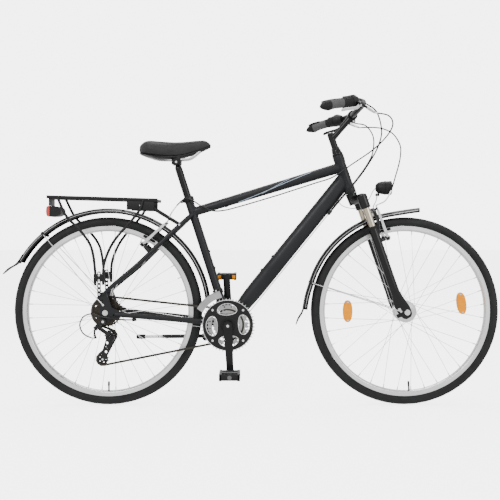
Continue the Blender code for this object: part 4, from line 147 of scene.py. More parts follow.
def finish(name, colour, roughness, metallic=0.0, vary=0.18, spread=0.08, grain=700.0, bump=0.12,
           depth=0.0002, coat=0.0, stretch=(1, 1, 1), cells=False, cloud=9.0, gleam=0.28):
    """Surface with cloudy colour, uneven roughness and a fine raised grain."""
    made = bpy.data.materials.new(name)
    made.use_nodes = True
    tree = made.node_tree
    shader = tree.nodes["Principled BSDF"]
    shader.inputs["Metallic"].default_value = metallic
    shader.inputs["Specular IOR Level"].default_value = 0.5 if metallic > 0.5 else gleam
    shader.inputs["Coat Weight"].default_value = coat
    shader.inputs["Coat Roughness"].default_value = 0.08
    place = tree.nodes.new("ShaderNodeTexCoord")
    mapping = tree.nodes.new("ShaderNodeMapping")
    mapping.inputs["Scale"].default_value = stretch
    tree.links.new(place.outputs["Object"], mapping.inputs["Vector"])

    clouds = tree.nodes.new("ShaderNodeTexNoise")
    clouds.inputs["Scale"].default_value = cloud
    clouds.inputs["Detail"].default_value = 5.0
    tree.links.new(mapping.outputs["Vector"], clouds.inputs["Vector"])
    ramp = tree.nodes.new("ShaderNodeValToRGB")
    ramp.color_ramp.elements[0].position = 0.3
    ramp.color_ramp.elements[0].color = [c * (1 - vary) for c in colour] + [1]
    ramp.color_ramp.elements[1].position = 0.7
    ramp.color_ramp.elements[1].color = [min(1.0, c * (1 + vary)) for c in colour] + [1]
    tree.links.new(clouds.outputs["Fac"], ramp.inputs["Fac"])
    tree.links.new(ramp.outputs["Color"], shader.inputs["Base Color"])

    smudge = tree.nodes.new("ShaderNodeTexNoise")
    smudge.inputs["Scale"].default_value = cloud * 4
    smudge.inputs["Detail"].default_value = 3.0
    tree.links.new(mapping.outputs["Vector"], smudge.inputs["Vector"])
    level = tree.nodes.new("ShaderNodeMapRange")
    level.inputs["From Min"].default_value = 0.3
    level.inputs["From Max"].default_value = 0.7
    level.inputs["To Min"].default_value = max(0.02, roughness - spread)
    level.inputs["To Max"].default_value = min(1.0, roughness + spread)
    tree.links.new(smudge.outputs["Fac"], level.inputs["Value"])
    tree.links.new(level.outputs["Result"], shader.inputs["Roughness"])

    fine = tree.nodes.new("ShaderNodeTexVoronoi" if cells else "ShaderNodeTexNoise")
    fine.inputs["Scale"].default_value = grain
    tree.links.new(mapping.outputs["Vector"], fine.inputs["Vector"])
    raised = tree.nodes.new("ShaderNodeBump")
    raised.inputs["Strength"].default_value = bump
    raised.inputs["Distance"].default_value = depth
    tree.links.new(fine.outputs["Distance" if cells else "Fac"], raised.inputs["Height"])
    tree.links.new(raised.outputs["Normal"], shader.inputs["Normal"])
    return made


FINISHES = {
    "graphite": finish("graphite_paint", (0.0105, 0.011, 0.0125), 0.46, 0.15, grain=1600, bump=0.08,
                       coat=0.05),
    "gloss": finish("gloss_black_paint", (0.0035, 0.0035, 0.0038), 0.28, spread=0.05, grain=300,
                    bump=0.03, coat=0.1),
    "satin": finish("satin_black_alloy", (0.007, 0.007, 0.0076), 0.33, 0.45, grain=1200, bump=0.1,
                    coat=0.2),
    "powder": finish("black_powder_coat", (0.0055, 0.0055, 0.0058), 0.45, grain=1400, bump=0.25,
                     depth=0.0003),
    "plastic": finish("moulded_black_plastic", (0.006, 0.006, 0.0063), 0.48, grain=1500, bump=0.3,
                      cells=True),
    "grey plastic": finish("worn_grey_plastic", (0.11, 0.11, 0.112), 0.45, grain=900, bump=0.3),
    "flap": finish("dull_grey_rubber", (0.028, 0.028, 0.029), 0.62, grain=600, bump=0.25),
    "tyre": finish("tyre_rubber", (0.012, 0.0122, 0.0128), 0.72, spread=0.12, grain=900, bump=0.35,
                   depth=0.0004),
    "rubber": finish("black_rubber", (0.0055, 0.0055, 0.0058), 0.62, grain=1300, bump=0.3, cells=True),
    "grip": finish("light_grey_rubber", (0.085, 0.084, 0.086), 0.7, grain=800, bump=0.55, depth=0.0005,
                   cells=True),
    "silver": finish("silver_alloy", (0.8, 0.8, 0.81), 0.27, 1.0, vary=0.05, grain=500, bump=0.1,
                     cloud=20),
    "track": finish("machined_brake_track", (0.86, 0.86, 0.87), 0.34, 0.85, vary=0.04, grain=900, bump=0.25),
    "bright": finish("bright_steel_wire", (0.86, 0.86, 0.87), 0.2, 1.0, vary=0.04, grain=400, bump=0.05),
    "gold": finish("polished_stanchion", (0.52, 0.46, 0.36), 0.16, 1.0, vary=0.05, spread=0.04, bump=0.03),
    "bronze": finish("oiled_cog_steel", (0.05, 0.043, 0.035), 0.36, 0.9, vary=0.45, grain=900, bump=0.3,
                     cloud=60),
    "chain": finish("oiled_chain_steel", (0.06, 0.054, 0.047), 0.33, 0.95, vary=0.4, grain=900, bump=0.25,
                    cloud=90),
    "dark": finish("dark_mech_alloy", (0.016, 0.0155, 0.016), 0.34, 0.7, vary=0.3, grain=900, bump=0.15,
                   coat=0.2),
    "ring": finish("ring_steel", (0.46, 0.46, 0.46), 0.3, 1.0, vary=0.1, grain=600, bump=0.15, cloud=30),
    "cable": finish("cable_housing", (0.005, 0.005, 0.0056), 0.38, grain=1800, bump=0.12, coat=0.2),
    "vinyl": finish("saddle_vinyl", (0.02, 0.0194, 0.0208), 0.5, spread=0.06, grain=1100, bump=0.55,
                    depth=0.0005, cells=True),
    "thread": finish("seam_thread", (0.02, 0.02, 0.022), 0.6, grain=2500, bump=0.4),
    "red": finish("red_lens", (0.62, 0.02, 0.012), 0.14, vary=0.12, grain=260, bump=0.8, depth=0.0006,
                  coat=1.0, cells=True),
    "amber": finish("amber_reflector", (1.0, 0.3, 0.0), 0.4, vary=0.16, grain=230, bump=0.9, depth=0.0006,
                    gleam=0.04, cells=True, cloud=26),
    "lens": finish("clear_ribbed_lens", (0.72, 0.74, 0.76), 0.1, 0.35, grain=220, bump=0.5, coat=1.0,
                   stretch=(1, 1, 0.05)),
    "pale stripe": finish("pale_blue_stripe", (0.42, 0.52, 0.62), 0.35, grain=900, bump=0.05, coat=0.3),
    # silver trim lines and seatpost marks; on the chain guard this finish traces painted highlights
    "line": finish("silver_trim_and_painted_highlight", (0.74, 0.74, 0.74), 0.3, 0.6, vary=0.06, grain=700, bump=0.05),
}


# Mesh tools


def frames(path, lateral, closed):
    """Two axes across the path at each of its points."""
    count = len(path)
    tangents = []
    for i in range(count):
        before = path[i - 1] if closed or i > 0 else path[i]
        after = path[(i + 1) % count] if closed or i < count - 1 else path[i]
        tangents.append((after - before).normalized())
    axes = []
    side = lateral or tangents[0].orthogonal()
    for tangent in tangents:
        across = (side - tangent * side.dot(tangent)).normalized()
        if lateral is None:
            side = across
        axes.append((across.cross(tangent), across))
    return axes


def ellipse(half_u, half_v, sides):
    step = 2 * math.pi / sides
    return [(half_u * math.cos(step * (i + 0.5)), half_v * math.sin(step * (i + 0.5))) for i in range(sides)]


def rounded(half_u, half_v, radius):
    """Rectangle with rounded corners."""
    steps = 3
    corners = ((half_u - radius, half_v - radius, 0), (radius - half_u, half_v - radius, 90),
               (radius - half_u, radius - half_v, 180), (half_u - radius, radius - half_v, 270))
    outline = []
    for u, v, start in corners:
        for i in range(steps + 1):
            angle = math.radians(start + 90 * i / steps)
            outline.append((u + radius * math.cos(angle), v + radius * math.sin(angle)))
    return outline


def smooth(points, steps):
    """Smooth curve through the points, with the given number of steps in each span."""
    ends = [points[0] * 2 - points[1]] + list(points) + [points[-1] * 2 - points[-2]]
    curve = []
    for i in range(1, len(ends) - 2):
        a, b, c, d = ends[i - 1], ends[i], ends[i + 1], ends[i + 2]
        for k in range(steps):
            t = k / steps
            curve.append(b + (c - a) * (t / 2) + (a * 2 - b * 5 + c * 4 - d) * (t * t / 2)
                         + (b * 3 - a - c * 3 + d) * (t * t * t / 2))
    curve.append(ends[-2])
    return curve


def smooth_stations(stations, steps):
    """Smooth path and smooth half sizes through stations of (point, half height, half width)."""
    path = smooth([point for point, up, across in stations], steps)
    return path, smooth([Vector((up, across, 0)) for point, up, across in stations], steps)


def arc(centre, radius, start, end, count):
    """Points of a circular arc, from angle start to angle end in degrees."""
    points = []
    for i in range(count + 1):
        angle = math.radians(start + (end - start) * i / count)
        points.append((centre[0] + radius * math.cos(angle), centre[1] + radius * math.sin(angle)))
    return points


def circle(centre, radius, count=16):
    return arc(centre, radius, 0, 360 - 360 / count, count - 1)


def meet(point, direction, foot, axis, radius):
    """Where a line first comes within a radius of an axis."""
    offset = point - foot
    p = offset - axis * offset.dot(axis)
    d = direction - axis * direction.dot(axis)
    a = d.dot(d)
    b = p.dot(d)
    inside = b * b - a * (p.dot(p) - radius * radius)
    return point + direction * ((-b - math.sqrt(max(0.0, inside))) / a)


class Shape:
    """Closed solids that make up one piece, each with its own finish."""

    def __init__(self, default):
        self.default = default
        self.vertices = []
        self.faces = []
        self.finishes = []

    def add(self, vertices, faces, finish_name=None):
        base = len(self.vertices)
        self.vertices += vertices
        self.faces += [tuple(base + i for i in face) for face in faces]
        self.finishes += [finish_name or self.default] * len(faces)

    def strip(self, rings, closed=False, finish_name=None):
        """Solid through rings of points, with flat ends unless it closes on itself."""
        size = len(rings[0])
        count = len(rings)
        faces = []
        for i in range(count if closed else count - 1):
            low = i * size
            high = ((i + 1) % count) * size
            for j in range(size):
                k = (j + 1) % size
                faces.append((low + j, low + k, high + k, high + j))
        if not closed:
            faces.append(tuple(range(size)))
            faces.append(tuple(range((count - 1) * size, count * size)))
        self.add([point for ring in rings for point in ring], faces, finish_name)

    def sweep(self, path, sections, lateral=None, closed=False, finish_name=None):
        rings = []
        for point, (u, v), section in zip(path, frames(path, lateral, closed), sections):
            rings.append([point + u * a + v * b for a, b in section])
        self.strip(rings, closed, finish_name)
        return rings

    def rod(self, path, radius, sides=12, closed=False, finish_name=None):
        self.sweep(path, [ellipse(radius, radius, sides)] * len(path), None, closed, finish_name)

    def tube(self, stations, sides=28, steps=4):
        """Tube through stations of (point, half height, half width), smoothed between them."""
        path, sizes = smooth_stations(stations, steps)
        return self.sweep(path, [ellipse(size.x, size.y, sides) for size in sizes], LATERAL)

    def turned(self, profile, centre, axis, segments=40, finish_name=None, ripple=None):
        """Solid of revolution; profile points are (radius, distance along the axis)."""
        axis = axis.normalized()
        reference = AHEAD if abs(axis.x) < 0.9 else Vector((0, 0, 1))
        u = (reference - axis * reference.dot(axis)).normalized()
        v = axis.cross(u)
        vertices = []
        rings = []
        for index, (radius, height) in enumerate(profile):
            base = centre + axis * height
            if radius == 0:
                rings.append([len(vertices)])
                vertices.append(base)
                continue
            ring = []
            for i in range(segments):
                angle = 2 * math.pi * i / segments
                reach = radius + (ripple(index, i) if ripple else 0.0)
                ring.append(len(vertices))
                vertices.append(base + u * (reach * math.cos(angle)) + v * (reach * math.sin(angle)))
            rings.append(ring)
        faces = []
        for index in range(len(rings) - 1 if len(rings[0]) == 1 else len(rings)):
            low = rings[index]
            high = rings[(index + 1) % len(rings)]
            for i in range(segments):
                k = (i + 1) % segments
                corners = [low[i % len(low)], low[k % len(low)], high[k % len(high)], high[i % len(high)]]
                faces.append(tuple(dict.fromkeys(corners)))
        self.add(vertices, faces, finish_name)

    def disc(self, start, end, radius, sides=24, finish_name=None, edge=0.12):
        """Cylinder with softened rims."""
        length = (end - start).length
        soft = min(radius, length) * edge
        profile = [(0, 0), (radius - soft, 0), (radius, soft), (radius, length - soft),
                   (radius - soft, length), (0, length)]
        self.turned(profile, start, end - start, sides, finish_name)

    def sleeve(self, start, end, outer, inner, sides=40, finish_name=None):
        length = (end - start).length
        soft = min(outer - inner, length) * 0.2
        profile = [(inner, 0), (outer - soft, 0), (outer, soft), (outer, length - soft),
                   (outer - soft, length), (inner, length)]
        self.turned(profile, start, end - start, sides, finish_name)

    def hexagon(self, start, end, radius, finish_name=None):
        self.disc(start, end, radius, 6, finish_name, 0.08)

    def block(self, centre, size, u=AHEAD, v=LATERAL, finish_name=None, soft=0.25):
        """Box with rounded edges: length along u, width along v, height across both."""
        w = u.cross(v).normalized()
        radius = min(size) * soft
        rings = []
        stations = ((-0.5, -radius), (-0.5, 0.0), (0.5, 0.0), (0.5, -radius))
        for order, (side, inset) in enumerate(stations):
            along = size[0] * side + (radius if order == 1 else -radius if order == 2 else 0.0)
            section = rounded(size[1] / 2 + inset, size[2] / 2 + inset, radius * (0.4 if inset else 1.0))
            rings.append([centre + u * along + v * a + w * b for a, b in section])
        self.strip(rings, False, finish_name)

    def plate(self, outline, near, far, holes=(), finish_name=None):
        """Flat plate with holes; near and far place an outline point on its two faces."""
        loops = [list(outline)] + [list(hole) for hole in holes]
        flat = [point for loop in loops for point in loop]
        triangles = tessellate_polygon([[Vector((a, b, 0)) for a, b in loop] for loop in loops])
        count = len(flat)
        vertices = [near(a, b) for a, b in flat] + [far(a, b) for a, b in flat]
        faces = [tuple(t) for t in triangles] + [tuple(count + i for i in reversed(t)) for t in triangles]
        base = 0
        for loop in loops:
            size = len(loop)
            for j in range(size):
                k = (j + 1) % size
                faces.append((base + j, base + k, count + base + k, count + base + j))
            base += size
        self.add(vertices, faces, finish_name)

    def side_plate(self, outline, low_y, high_y, holes=(), finish_name=None):
        self.plate(outline, lambda a, b: at(a, low_y, b), lambda a, b: at(a, high_y, b), holes, finish_name)


def linked(name, data):
    obj = bpy.data.objects.new(name, data)
    bpy.context.scene.collection.objects.link(obj)
    return obj


def make(name, shape, body, nodes, bevel=0.0):
    """Turn a shape into an object that stands for its CAD nodes and rides on a body."""
    mesh = bpy.data.meshes.new(name)
    mesh.from_pydata([tuple(v) for v in shape.vertices], [], shape.faces)
    order = list(dict.fromkeys(shape.finishes))
    for finish_name in order:
        mesh.materials.append(FINISHES[finish_name])
    for polygon, finish_name in zip(mesh.polygons, shape.finishes):
        polygon.material_index = order.index(finish_name)
    work = bmesh.new()
    work.from_mesh(mesh)
    bmesh.ops.recalc_face_normals(work, faces=work.faces)
    work.to_mesh(mesh)
    work.free()
    mesh.shade_smooth()
    mesh.set_sharp_from_angle(angle=math.radians(34))
    obj = linked(name, mesh)
    if bevel:
        edges = obj.modifiers.new("soft_edges", "BEVEL")
        edges.width = bevel
        edges.segments = 2
        edges.limit_method = "ANGLE"
        edges.angle_limit = math.radians(40)
    if nodes:
        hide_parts(*nodes)
    if body:
        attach(obj, body)
    return obj


# Frame


def head_tube():
    shape = Shape("graphite")
    low, high = 0.481, 0.63
    profile = [(0.0147, low), (0.0208, low), (0.0212, low + 0.001), (0.0212, low + 0.018),
               (0.0205, low + 0.024), (0.0192, low + 0.032), (0.019, low + 0.036), (0.019, high - 0.036),
               (0.0192, high - 0.032), (0.0205, high - 0.024), (0.0212, high - 0.018),
               (0.0212, high - 0.001), (0.0208, high), (0.0147, high)]
    shape.turned(profile, steer(0, 0, 0), STEER_UP, 48)
    for s in (low + 0.0195, high - 0.0195):
        shape.sleeve(steer(0, 0, s - 0.0012), steer(0, 0, s + 0.0012), 0.0216, 0.019, 48)
    make("head_tube_shell", shape, "frame", ["head_tube"])


def fitted_tube(shape, stations, tail, nose):
    """Tube whose ends are mitred to round tubes; tail and nose are (foot, axis, radius)."""
    path, sizes = smooth_stations(stations, 6)
    rings = []
    for point, (u, v), size in zip(path, frames(path, LATERAL, False), sizes):
        rings.append([point + u * a + v * b for a, b in ellipse(size.x, size.y, 32)])
    for nose_end, (foot, axis, radius) in ((False, tail), (True, nose)):
        inward = path[-2] - path[-1] if nose_end else path[1] - path[0]
        inward.normalize()
        tip = path[-1] if nose_end else path[0]
        tip_ring = rings[-1] if nose_end else rings[0]
        mitre = [meet(p + inward * 0.1, -inward, foot, axis, radius - 0.0012) for p in tip_ring]
        seam = [meet(p + inward * 0.1, -inward, foot, axis, radius) for p in tip_ring]
        far = max((p - tip).dot(inward) for p in mitre) + 0.006
        keep = [i for i in range(len(path)) if (path[i] - tip).dot(inward) > far]
        path = [path[i] for i in keep]
        rings = [rings[i] for i in keep]
        if nose_end:
            path.append(tip)
            rings.append(mitre)
        else:
            path.insert(0, tip)
            rings.insert(0, mitre)
        shape.rod(seam, WELD_BEAD, 8, True)
    shape.strip(rings)


def down_tube_line():
    head = steer(0, 0, 0.54)
    along = (head - BRACKET).normalized()
    return head, along, Vector((-along.z, 0, along.x))


def under_down_tube(distance, y):
    along, upward = down_tube_line()[1:]
    return BRACKET + along * distance - upward * (DOWN_DEPTH + 0.004) + LATERAL * y


def down_tube():
    shape = Shape("graphite")
    head, along, upward = down_tube_line()
    reach = head - BRACKET
    shares = ((0.0, 0.019, 0.019), (0.1, 0.0245, 0.0205), (0.22, 0.03, 0.022), (0.5, 0.03, 0.022),
              (0.8, 0.03, 0.022), (1.0, 0.03, 0.017))
    stations = [(BRACKET + reach * share, up, across) for share, up, across in shares]
    fitted_tube(shape, stations, (BRACKET, LATERAL, 0.02), (steer(0, 0, 0), STEER_UP, HEAD_TUBE_RADIUS))
    for distance in (0.235, 0.299):
        base = BRACKET + along * distance + upward * 0.029
        shape.disc(base, base + upward * 0.0032, 0.0055, 20)
        shape.hexagon(base + upward * 0.003, base + upward * 0.0048, 0.0036, "bright")
    stop = BRACKET + along * CABLE_STOP - upward * (DOWN_DEPTH + 0.0005)
    shape.block(stop + upward * 0.001, (0.016, 0.04, 0.009), along)
    for side in (-1, 1):
        centre = under_down_tube(CABLE_STOP, side * STOP_SPREAD)
        shape.sleeve(centre - along * 0.009, centre + along * 0.008, 0.0052, 0.003, 20)
    make("down_tube_shell", shape, "frame", ["down_tube"])


def top_tube():
    shape = Shape("graphite")
    rear = seat(0, 0, 0.436)
    reach = steer(0, 0, 0.5845) - rear
    sizes = ((0.0, 0.0165, 0.0152), (0.25, 0.017, 0.0158), (0.5, 0.0175, 0.0165), (0.75, 0.0185, 0.017),
             (1.0, 0.0195, 0.0175))
    stations = [(rear + reach * share, up, across) for share, up, across in sizes]
    seat_fit = (seat(0, 0, 0), SEAT_UP, SEAT_TUBE_RADIUS)
    fitted_tube(shape, stations, seat_fit, (steer(0, 0, 0), STEER_UP, HEAD_TUBE_RADIUS))
    along = reach.normalized()
    upward = Vector((-along.z, 0, along.x))
    for start, end, width in ((0.3, 0.8, 0.0011), (0.46, 0.66, 0.0008)):
        for side in (-1, 1):
            path = []
            for i in range(25):
                t = i / 24
                share = start + (end - start) * t
                tilt = math.radians(-52 + 100 * t) if start < 0.4 else math.radians(-30 + 80 * t)
                up = 0.0165 + 0.003 * share
                across = 0.0152 + 0.0023 * share
                centre = rear + reach * share
                lift = upward * (up * math.sin(tilt))
                path.append(centre + lift + LATERAL * (side * across * math.cos(tilt)))
            shape.rod(path, width, 6, False, "pale stripe")
    for share in (0.22, 0.86):
        guide = rear + reach * share - upward * 0.0185 - LATERAL * 0.014
        shape.block(guide + upward * 0.002 + LATERAL * 0.003, (0.01, 0.008, 0.005), along, LATERAL)
    make("top_tube_shell", shape, "frame", ["top_tube"])


def seat_tube():
    shape = Shape("graphite")
    profile = [(0, 0.012), (SEAT_TUBE_RADIUS, 0.012), (SEAT_TUBE_RADIUS, 0.496), (0.0157, 0.497),
               (0.014, 0.497), (0.014, 0.2), (0, 0.2)]
    shape.turned(profile, seat(0, 0, 0), SEAT_UP, 40)
    shape.disc(BRACKET - LATERAL * 0.034, BRACKET + LATERAL * 0.034, 0.02, 48)
    for side in (-1, 1):
        face = BRACKET + LATERAL * (side * 0.0338)
        shape.sleeve(face, face + LATERAL * (side * 0.0012), 0.0185, 0.0089, 40, "dark")
    shape.sleeve(seat(0, 0, 0.118), seat(0, 0, 0.134), 0.0192, 0.0158, 40, "satin")
    shape.block(seat(0.004, -0.0215, 0.126), (0.016, 0.009, 0.012), LATERAL.cross(SEAT_UP), LATERAL, "satin")
    shape.hexagon(seat(-0.01, -0.018, 0.126), seat(-0.01, -0.023, 0.126), 0.004, "bright")
    for distance in (0.215, 0.279):
        shape.disc(seat(0.015, 0, distance), seat(0.0178, 0, distance), 0.005, 20, "satin")
        shape.hexagon(seat(0.0176, 0, distance), seat(0.0188, 0, distance), 0.0034, "bright")
    make("seat_tube_shell", shape, "frame", ["seat_tube"])


def dropout_outline():
    foot = arc((-0.006, WHEEL_RADIUS - 0.03), 0.0125, 180, 300, 10)
    lug = [(0.03, WHEEL_RADIUS - 0.02), (0.056, WHEEL_RADIUS - 0.018), (0.056, WHEEL_RADIUS + 0.004)]
    top = [(0.024, WHEEL_RADIUS + 0.02), (0.006, WHEEL_RADIUS + 0.07), (-0.012, WHEEL_RADIUS + 0.076)]
    back = [(-0.03, WHEEL_RADIUS + 0.058), (-0.02, WHEEL_RADIUS + 0.012), (-0.02, WHEEL_RADIUS - 0.012)]
    return foot + lug + top + back


KICKSTAND_PIVOT = at(0.357, 0.0455, 0.2505)
KICKSTAND_FOLDED = Vector((-0.985, 0.15, -0.03)).normalized()
KICKSTAND_HINGE = Vector((-0.1715, 0.9765, 0.1305)).normalized()


def chain_stays():
    shape = Shape("graphite")
    sizes = ((0.0105, 0.0065), (0.011, 0.006), (0.0105, 0.008), (0.0095, 0.0075), (0.0085, 0.0065),
             (0.008, 0.0055))
    places = ((0.428, 0.0235, 0.306), (0.385, 0.0315, 0.31), (0.25, 0.0475, 0.325), (0.15, 0.059, 0.334),
              (0.06, 0.069, 0.342), (0.036, 0.0705, 0.344))
    for side in (-1, 1):
        stations = [(at(x, side * y, z), up, wide) for (x, y, z), (up, wide) in zip(places, sizes)]
        shape.tube(stations, 24, 6)
        holes = [circle((0.0, WHEEL_RADIUS), 0.0053), circle((0.031, WHEEL_RADIUS - 0.008), 0.0035),
                 circle((-0.01, WHEEL_RADIUS + 0.046), 0.0026)]
        shape.side_plate(dropout_outline(), side * 0.0675, side * 0.0735, holes)
    shape.block(at(0.392, 0, 0.309), (0.016, 0.06, 0.012))
    shape.block(at(0.372, 0.03, 0.286), (0.026, 0.012, 0.042), finish_name="satin")
    shape.block(at(0.366, 0.028, 0.26), (0.024, 0.012, 0.02), finish_name="satin")
    hinge = KICKSTAND_HINGE
    shape.disc(KICKSTAND_PIVOT - hinge * 0.026, KICKSTAND_PIVOT - hinge * 0.0085, 0.0125, 28, "satin")
    shape.disc(KICKSTAND_PIVOT - hinge * 0.02, KICKSTAND_PIVOT + hinge * 0.012, 0.0045, 20, "bright")
    start = at(0.113, -0.0642, 0.325)
    shape.sleeve(start, at(0.097, -0.0662, 0.3234), 0.0055, 0.0033, 20)
    shape.block(at(0.105, -0.0638, 0.329), (0.014, 0.007, 0.008))
    make("chain_stay_pair", shape, "frame", ["chain_stays"])


def front_pivot():
    return math.sqrt(BRAKE_TRACK ** 2 - FRONT_ARM_PLANE ** 2) - PAD_ABOVE_PIVOT


def rear_pivot():
    return math.sqrt(BRAKE_TRACK ** 2 - REAR_ARM_PLANE ** 2) - PAD_ABOVE_PIVOT


def seat_stays():
    shape = Shape("graphite")
    places = ((-0.01, 0.0705, 0.415), (0.03, 0.07, 0.452), (0.108, 0.061, 0.517), (0.168, 0.051, 0.5735),
              (0.234, 0.0395, 0.637), (0.29, 0.0265, 0.689), (0.314, 0.0165, 0.711))
    sizes = (0.006, 0.0075, 0.0085, 0.0085, 0.0085, 0.0083, 0.008)
    for side in (-1, 1):
        stations = [(at(x, side * y, z), r, r) for (x, y, z), r in zip(places, sizes)]
        shape.tube(stations, 20, 6)
        shape.disc(stay(REAR_ARM_PLANE - 0.05, side * 0.049, rear_pivot()),
                   stay(REAR_ARM_PLANE - 0.0095, side * ARM_SPREAD, rear_pivot()), 0.0074, 24)
        shape.disc(stay(REAR_ARM_PLANE - 0.012, side * ARM_SPREAD, rear_pivot()),
                   stay(REAR_ARM_PLANE + 0.008, side * ARM_SPREAD, rear_pivot()), 0.004, 20, "bright")
    bridge = at(BRIDGE_AHEAD, 0, WHEEL_RADIUS + BRIDGE_HEIGHT)
    shape.disc(bridge - LATERAL * 0.034, bridge + LATERAL * 0.034, 0.0065, 24)
    make("seat_stay_pair", shape, "frame", ["seat_stays"])


def seat_clamp():
    shape = Shape("satin")
    shape.sleeve(seat(0, 0, 0.478), seat(0, 0, 0.494), 0.0205, 0.0163, 40)
    for side in (-1, 1):
        shape.block(seat(-0.024, side * 0.0052, 0.486), (0.014, 0.007, 0.011), LATERAL.cross(SEAT_UP),
                    LATERAL)
    shape.disc(seat(-0.0255, -0.014, 0.486), seat(-0.0255, 0.014, 0.486), 0.0034, 16, "bright")
    make("seat_collar", shape, "frame", ["seat_clamp"])


def rear_axle():
    shape = Shape("bright")
    shape.disc(REAR - LATERAL * 0.088, REAR + LATERAL * 0.088, 0.0048, 20)
    for side in (-1, 1):
        for turn in range(5):
            place = REAR + LATERAL * (side * (0.083 + 0.001 * turn))
            shape.sleeve(place, place + LATERAL * (side * 0.0005), 0.005, 0.004, 20)
        start = REAR + LATERAL * (side * 0.0738)
        shape.disc(start, start + LATERAL * (side * 0.0015), 0.01, 32)
        shape.hexagon(start + LATERAL * (side * 0.0012), start + LATERAL * (side * 0.0085), 0.009)
    shape.disc(REAR + LATERAL * 0.0606, REAR + LATERAL * 0.0672, 0.0085, 24)
    make("rear_axle_and_nuts", shape, "frame", ["rear_axle"])


# Saddle and seatpost

SADDLE_PIVOT = seat(0, 0, 0.63)
SADDLE_REAR = 0.119
SADDLE_LENGTH = 0.266


def seatpost():
    shape = Shape("satin")
    profile = [(0, 0.33), (0.0134, 0.33), (0.0136, 0.332), (0.0136, 0.6), (0.0128, 0.612), (0.01, 0.619),
               (0, 0.619)]
    shape.turned(profile, seat(0, 0, 0), SEAT_UP, 40)
    shape.disc(SADDLE_PIVOT - LATERAL * 0.0145, SADDLE_PIVOT + LATERAL * 0.0145, 0.0125, 32)
    for mark in range(4):
        s = 0.405 + 0.012 * mark
        shape.sleeve(seat(0, 0, s), seat(0, 0, s + 0.0006), 0.01365, 0.013, 40, "line")
    make("seat_post", shape, "seatpost", ["seatpost"])


def saddle_width(t):
    flank = 0.5 - 0.5 * math.tanh((t - 0.42) * 6.2)
    tail = min(1.0, math.sqrt(max(0.0, t) / 0.16)) if t < 0.16 else 1.0
    nose = math.sqrt(max(0.0, (1.0 - t) / 0.1)) if t > 0.9 else 1.0
    return (0.0205 + 0.0595 * flank) * (0.3 + 0.7 * tail) * (0.34 + 0.66 * min(1.0, nose))


def saddle_top(t):
    tail_drop = 0.022 * max(0.0, 1 - t / 0.13) ** 2
    nose_drop = 0.024 * max(0.0, (t - 0.88) / 0.12) ** 2
    return 0.974 + 0.0075 * t + 0.012 * abs(2 * t - 1) ** 1.5 - tail_drop - nose_drop


def saddle_hem(t):
    return 0.935 - 0.105 * t * (0.7 - t)


def saddle_section(t, shrink=0.0):
    crown = 0.1 * math.exp(-((t - 0.42) / 0.3) ** 2)
    top, bottom, width = saddle_top(t) - shrink, saddle_hem(t) + 0.4 * shrink, saddle_width(t) - shrink
    shape = ((-0.9, 0.0), (-1.0, 0.3), (-0.985, 0.62), (-0.84, 0.86), (-0.55, 0.965), (-0.25, 1.0),
             (0.0, 1.0 - crown), (0.25, 1.0), (0.55, 0.965), (0.84, 0.86), (0.985, 0.62), (1.0, 0.3),
             (0.9, 0.0))
    x = SADDLE_REAR + SADDLE_LENGTH * t
    outline = [Vector((width * a, bottom + (top - bottom) * b, 0)) for a, b in shape]
    return [at(x, p.x, p.y) for p in smooth(outline, 2)]


SADDLE_STATIONS = 33
SWELL_LIMIT = 0.0018
SWELL_STEPS = 20
SWELL_CELL = 0.004


def saddle_share(i):
    """Shares of the saddle's length, closer together at both ends."""
    return 0.5 - 0.5 * math.cos(math.pi * i / (SADDLE_STATIONS - 1))


def saddle_cushion():
    """Padded cover, swelled by a short cloth run and held close to its form."""
    shape = Shape("vinyl")
    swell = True
    shape.strip([saddle_section(saddle_share(i), 0.0016 if swell else 0.0) for i in range(SADDLE_STATIONS)])
    cover = make("saddle_cover", shape, "saddle", ["saddle_cushion"])
    if swell:
        swell_cushion(cover)
    rounder = cover.modifiers.new("rounder", "SUBSURF")
    rounder.levels = 1
    rounder.render_levels = 1
    apply_modifiers(cover)
    cover.data.shade_smooth()
    saddle_seams(cover)


def apply_modifiers(obj):
    graph = bpy.context.evaluated_depsgraph_get()
    result = bpy.data.meshes.new_from_object(obj.evaluated_get(graph))
    obj.modifiers.clear()
    old = obj.data
    obj.data = result
    bpy.data.meshes.remove(old)


def swell_cushion(cover):
    fine = cover.modifiers.new("even_mesh", "REMESH")
    fine.mode = "VOXEL"
    fine.voxel_size = SWELL_CELL
    apply_modifiers(cover)
    before = [v.co.copy() for v in cover.data.vertices]
    cloth = cover.modifiers.new("swell", "CLOTH")
    cloth.settings.use_pressure = True
    cloth.settings.uniform_pressure_force = 4.0
    cloth.settings.effector_weights.gravity = 0.0
    scene = bpy.context.scene
    for step in range(SWELL_STEPS):
        scene.frame_set(step + 1)
    graph = bpy.context.evaluated_depsgraph_get()
    moved = [v.co.copy() for v in cover.evaluated_get(graph).data.vertices]
    cover.modifiers.clear()
    scene.frame_set(1)
    for vertex, old, new in zip(cover.data.vertices, before, moved):
        shift = new - old
        if shift.length > SWELL_LIMIT:
            shift *= SWELL_LIMIT / shift.length
        vertex.co = old + shift
    for polygon in cover.data.polygons:
        polygon.use_smooth = True


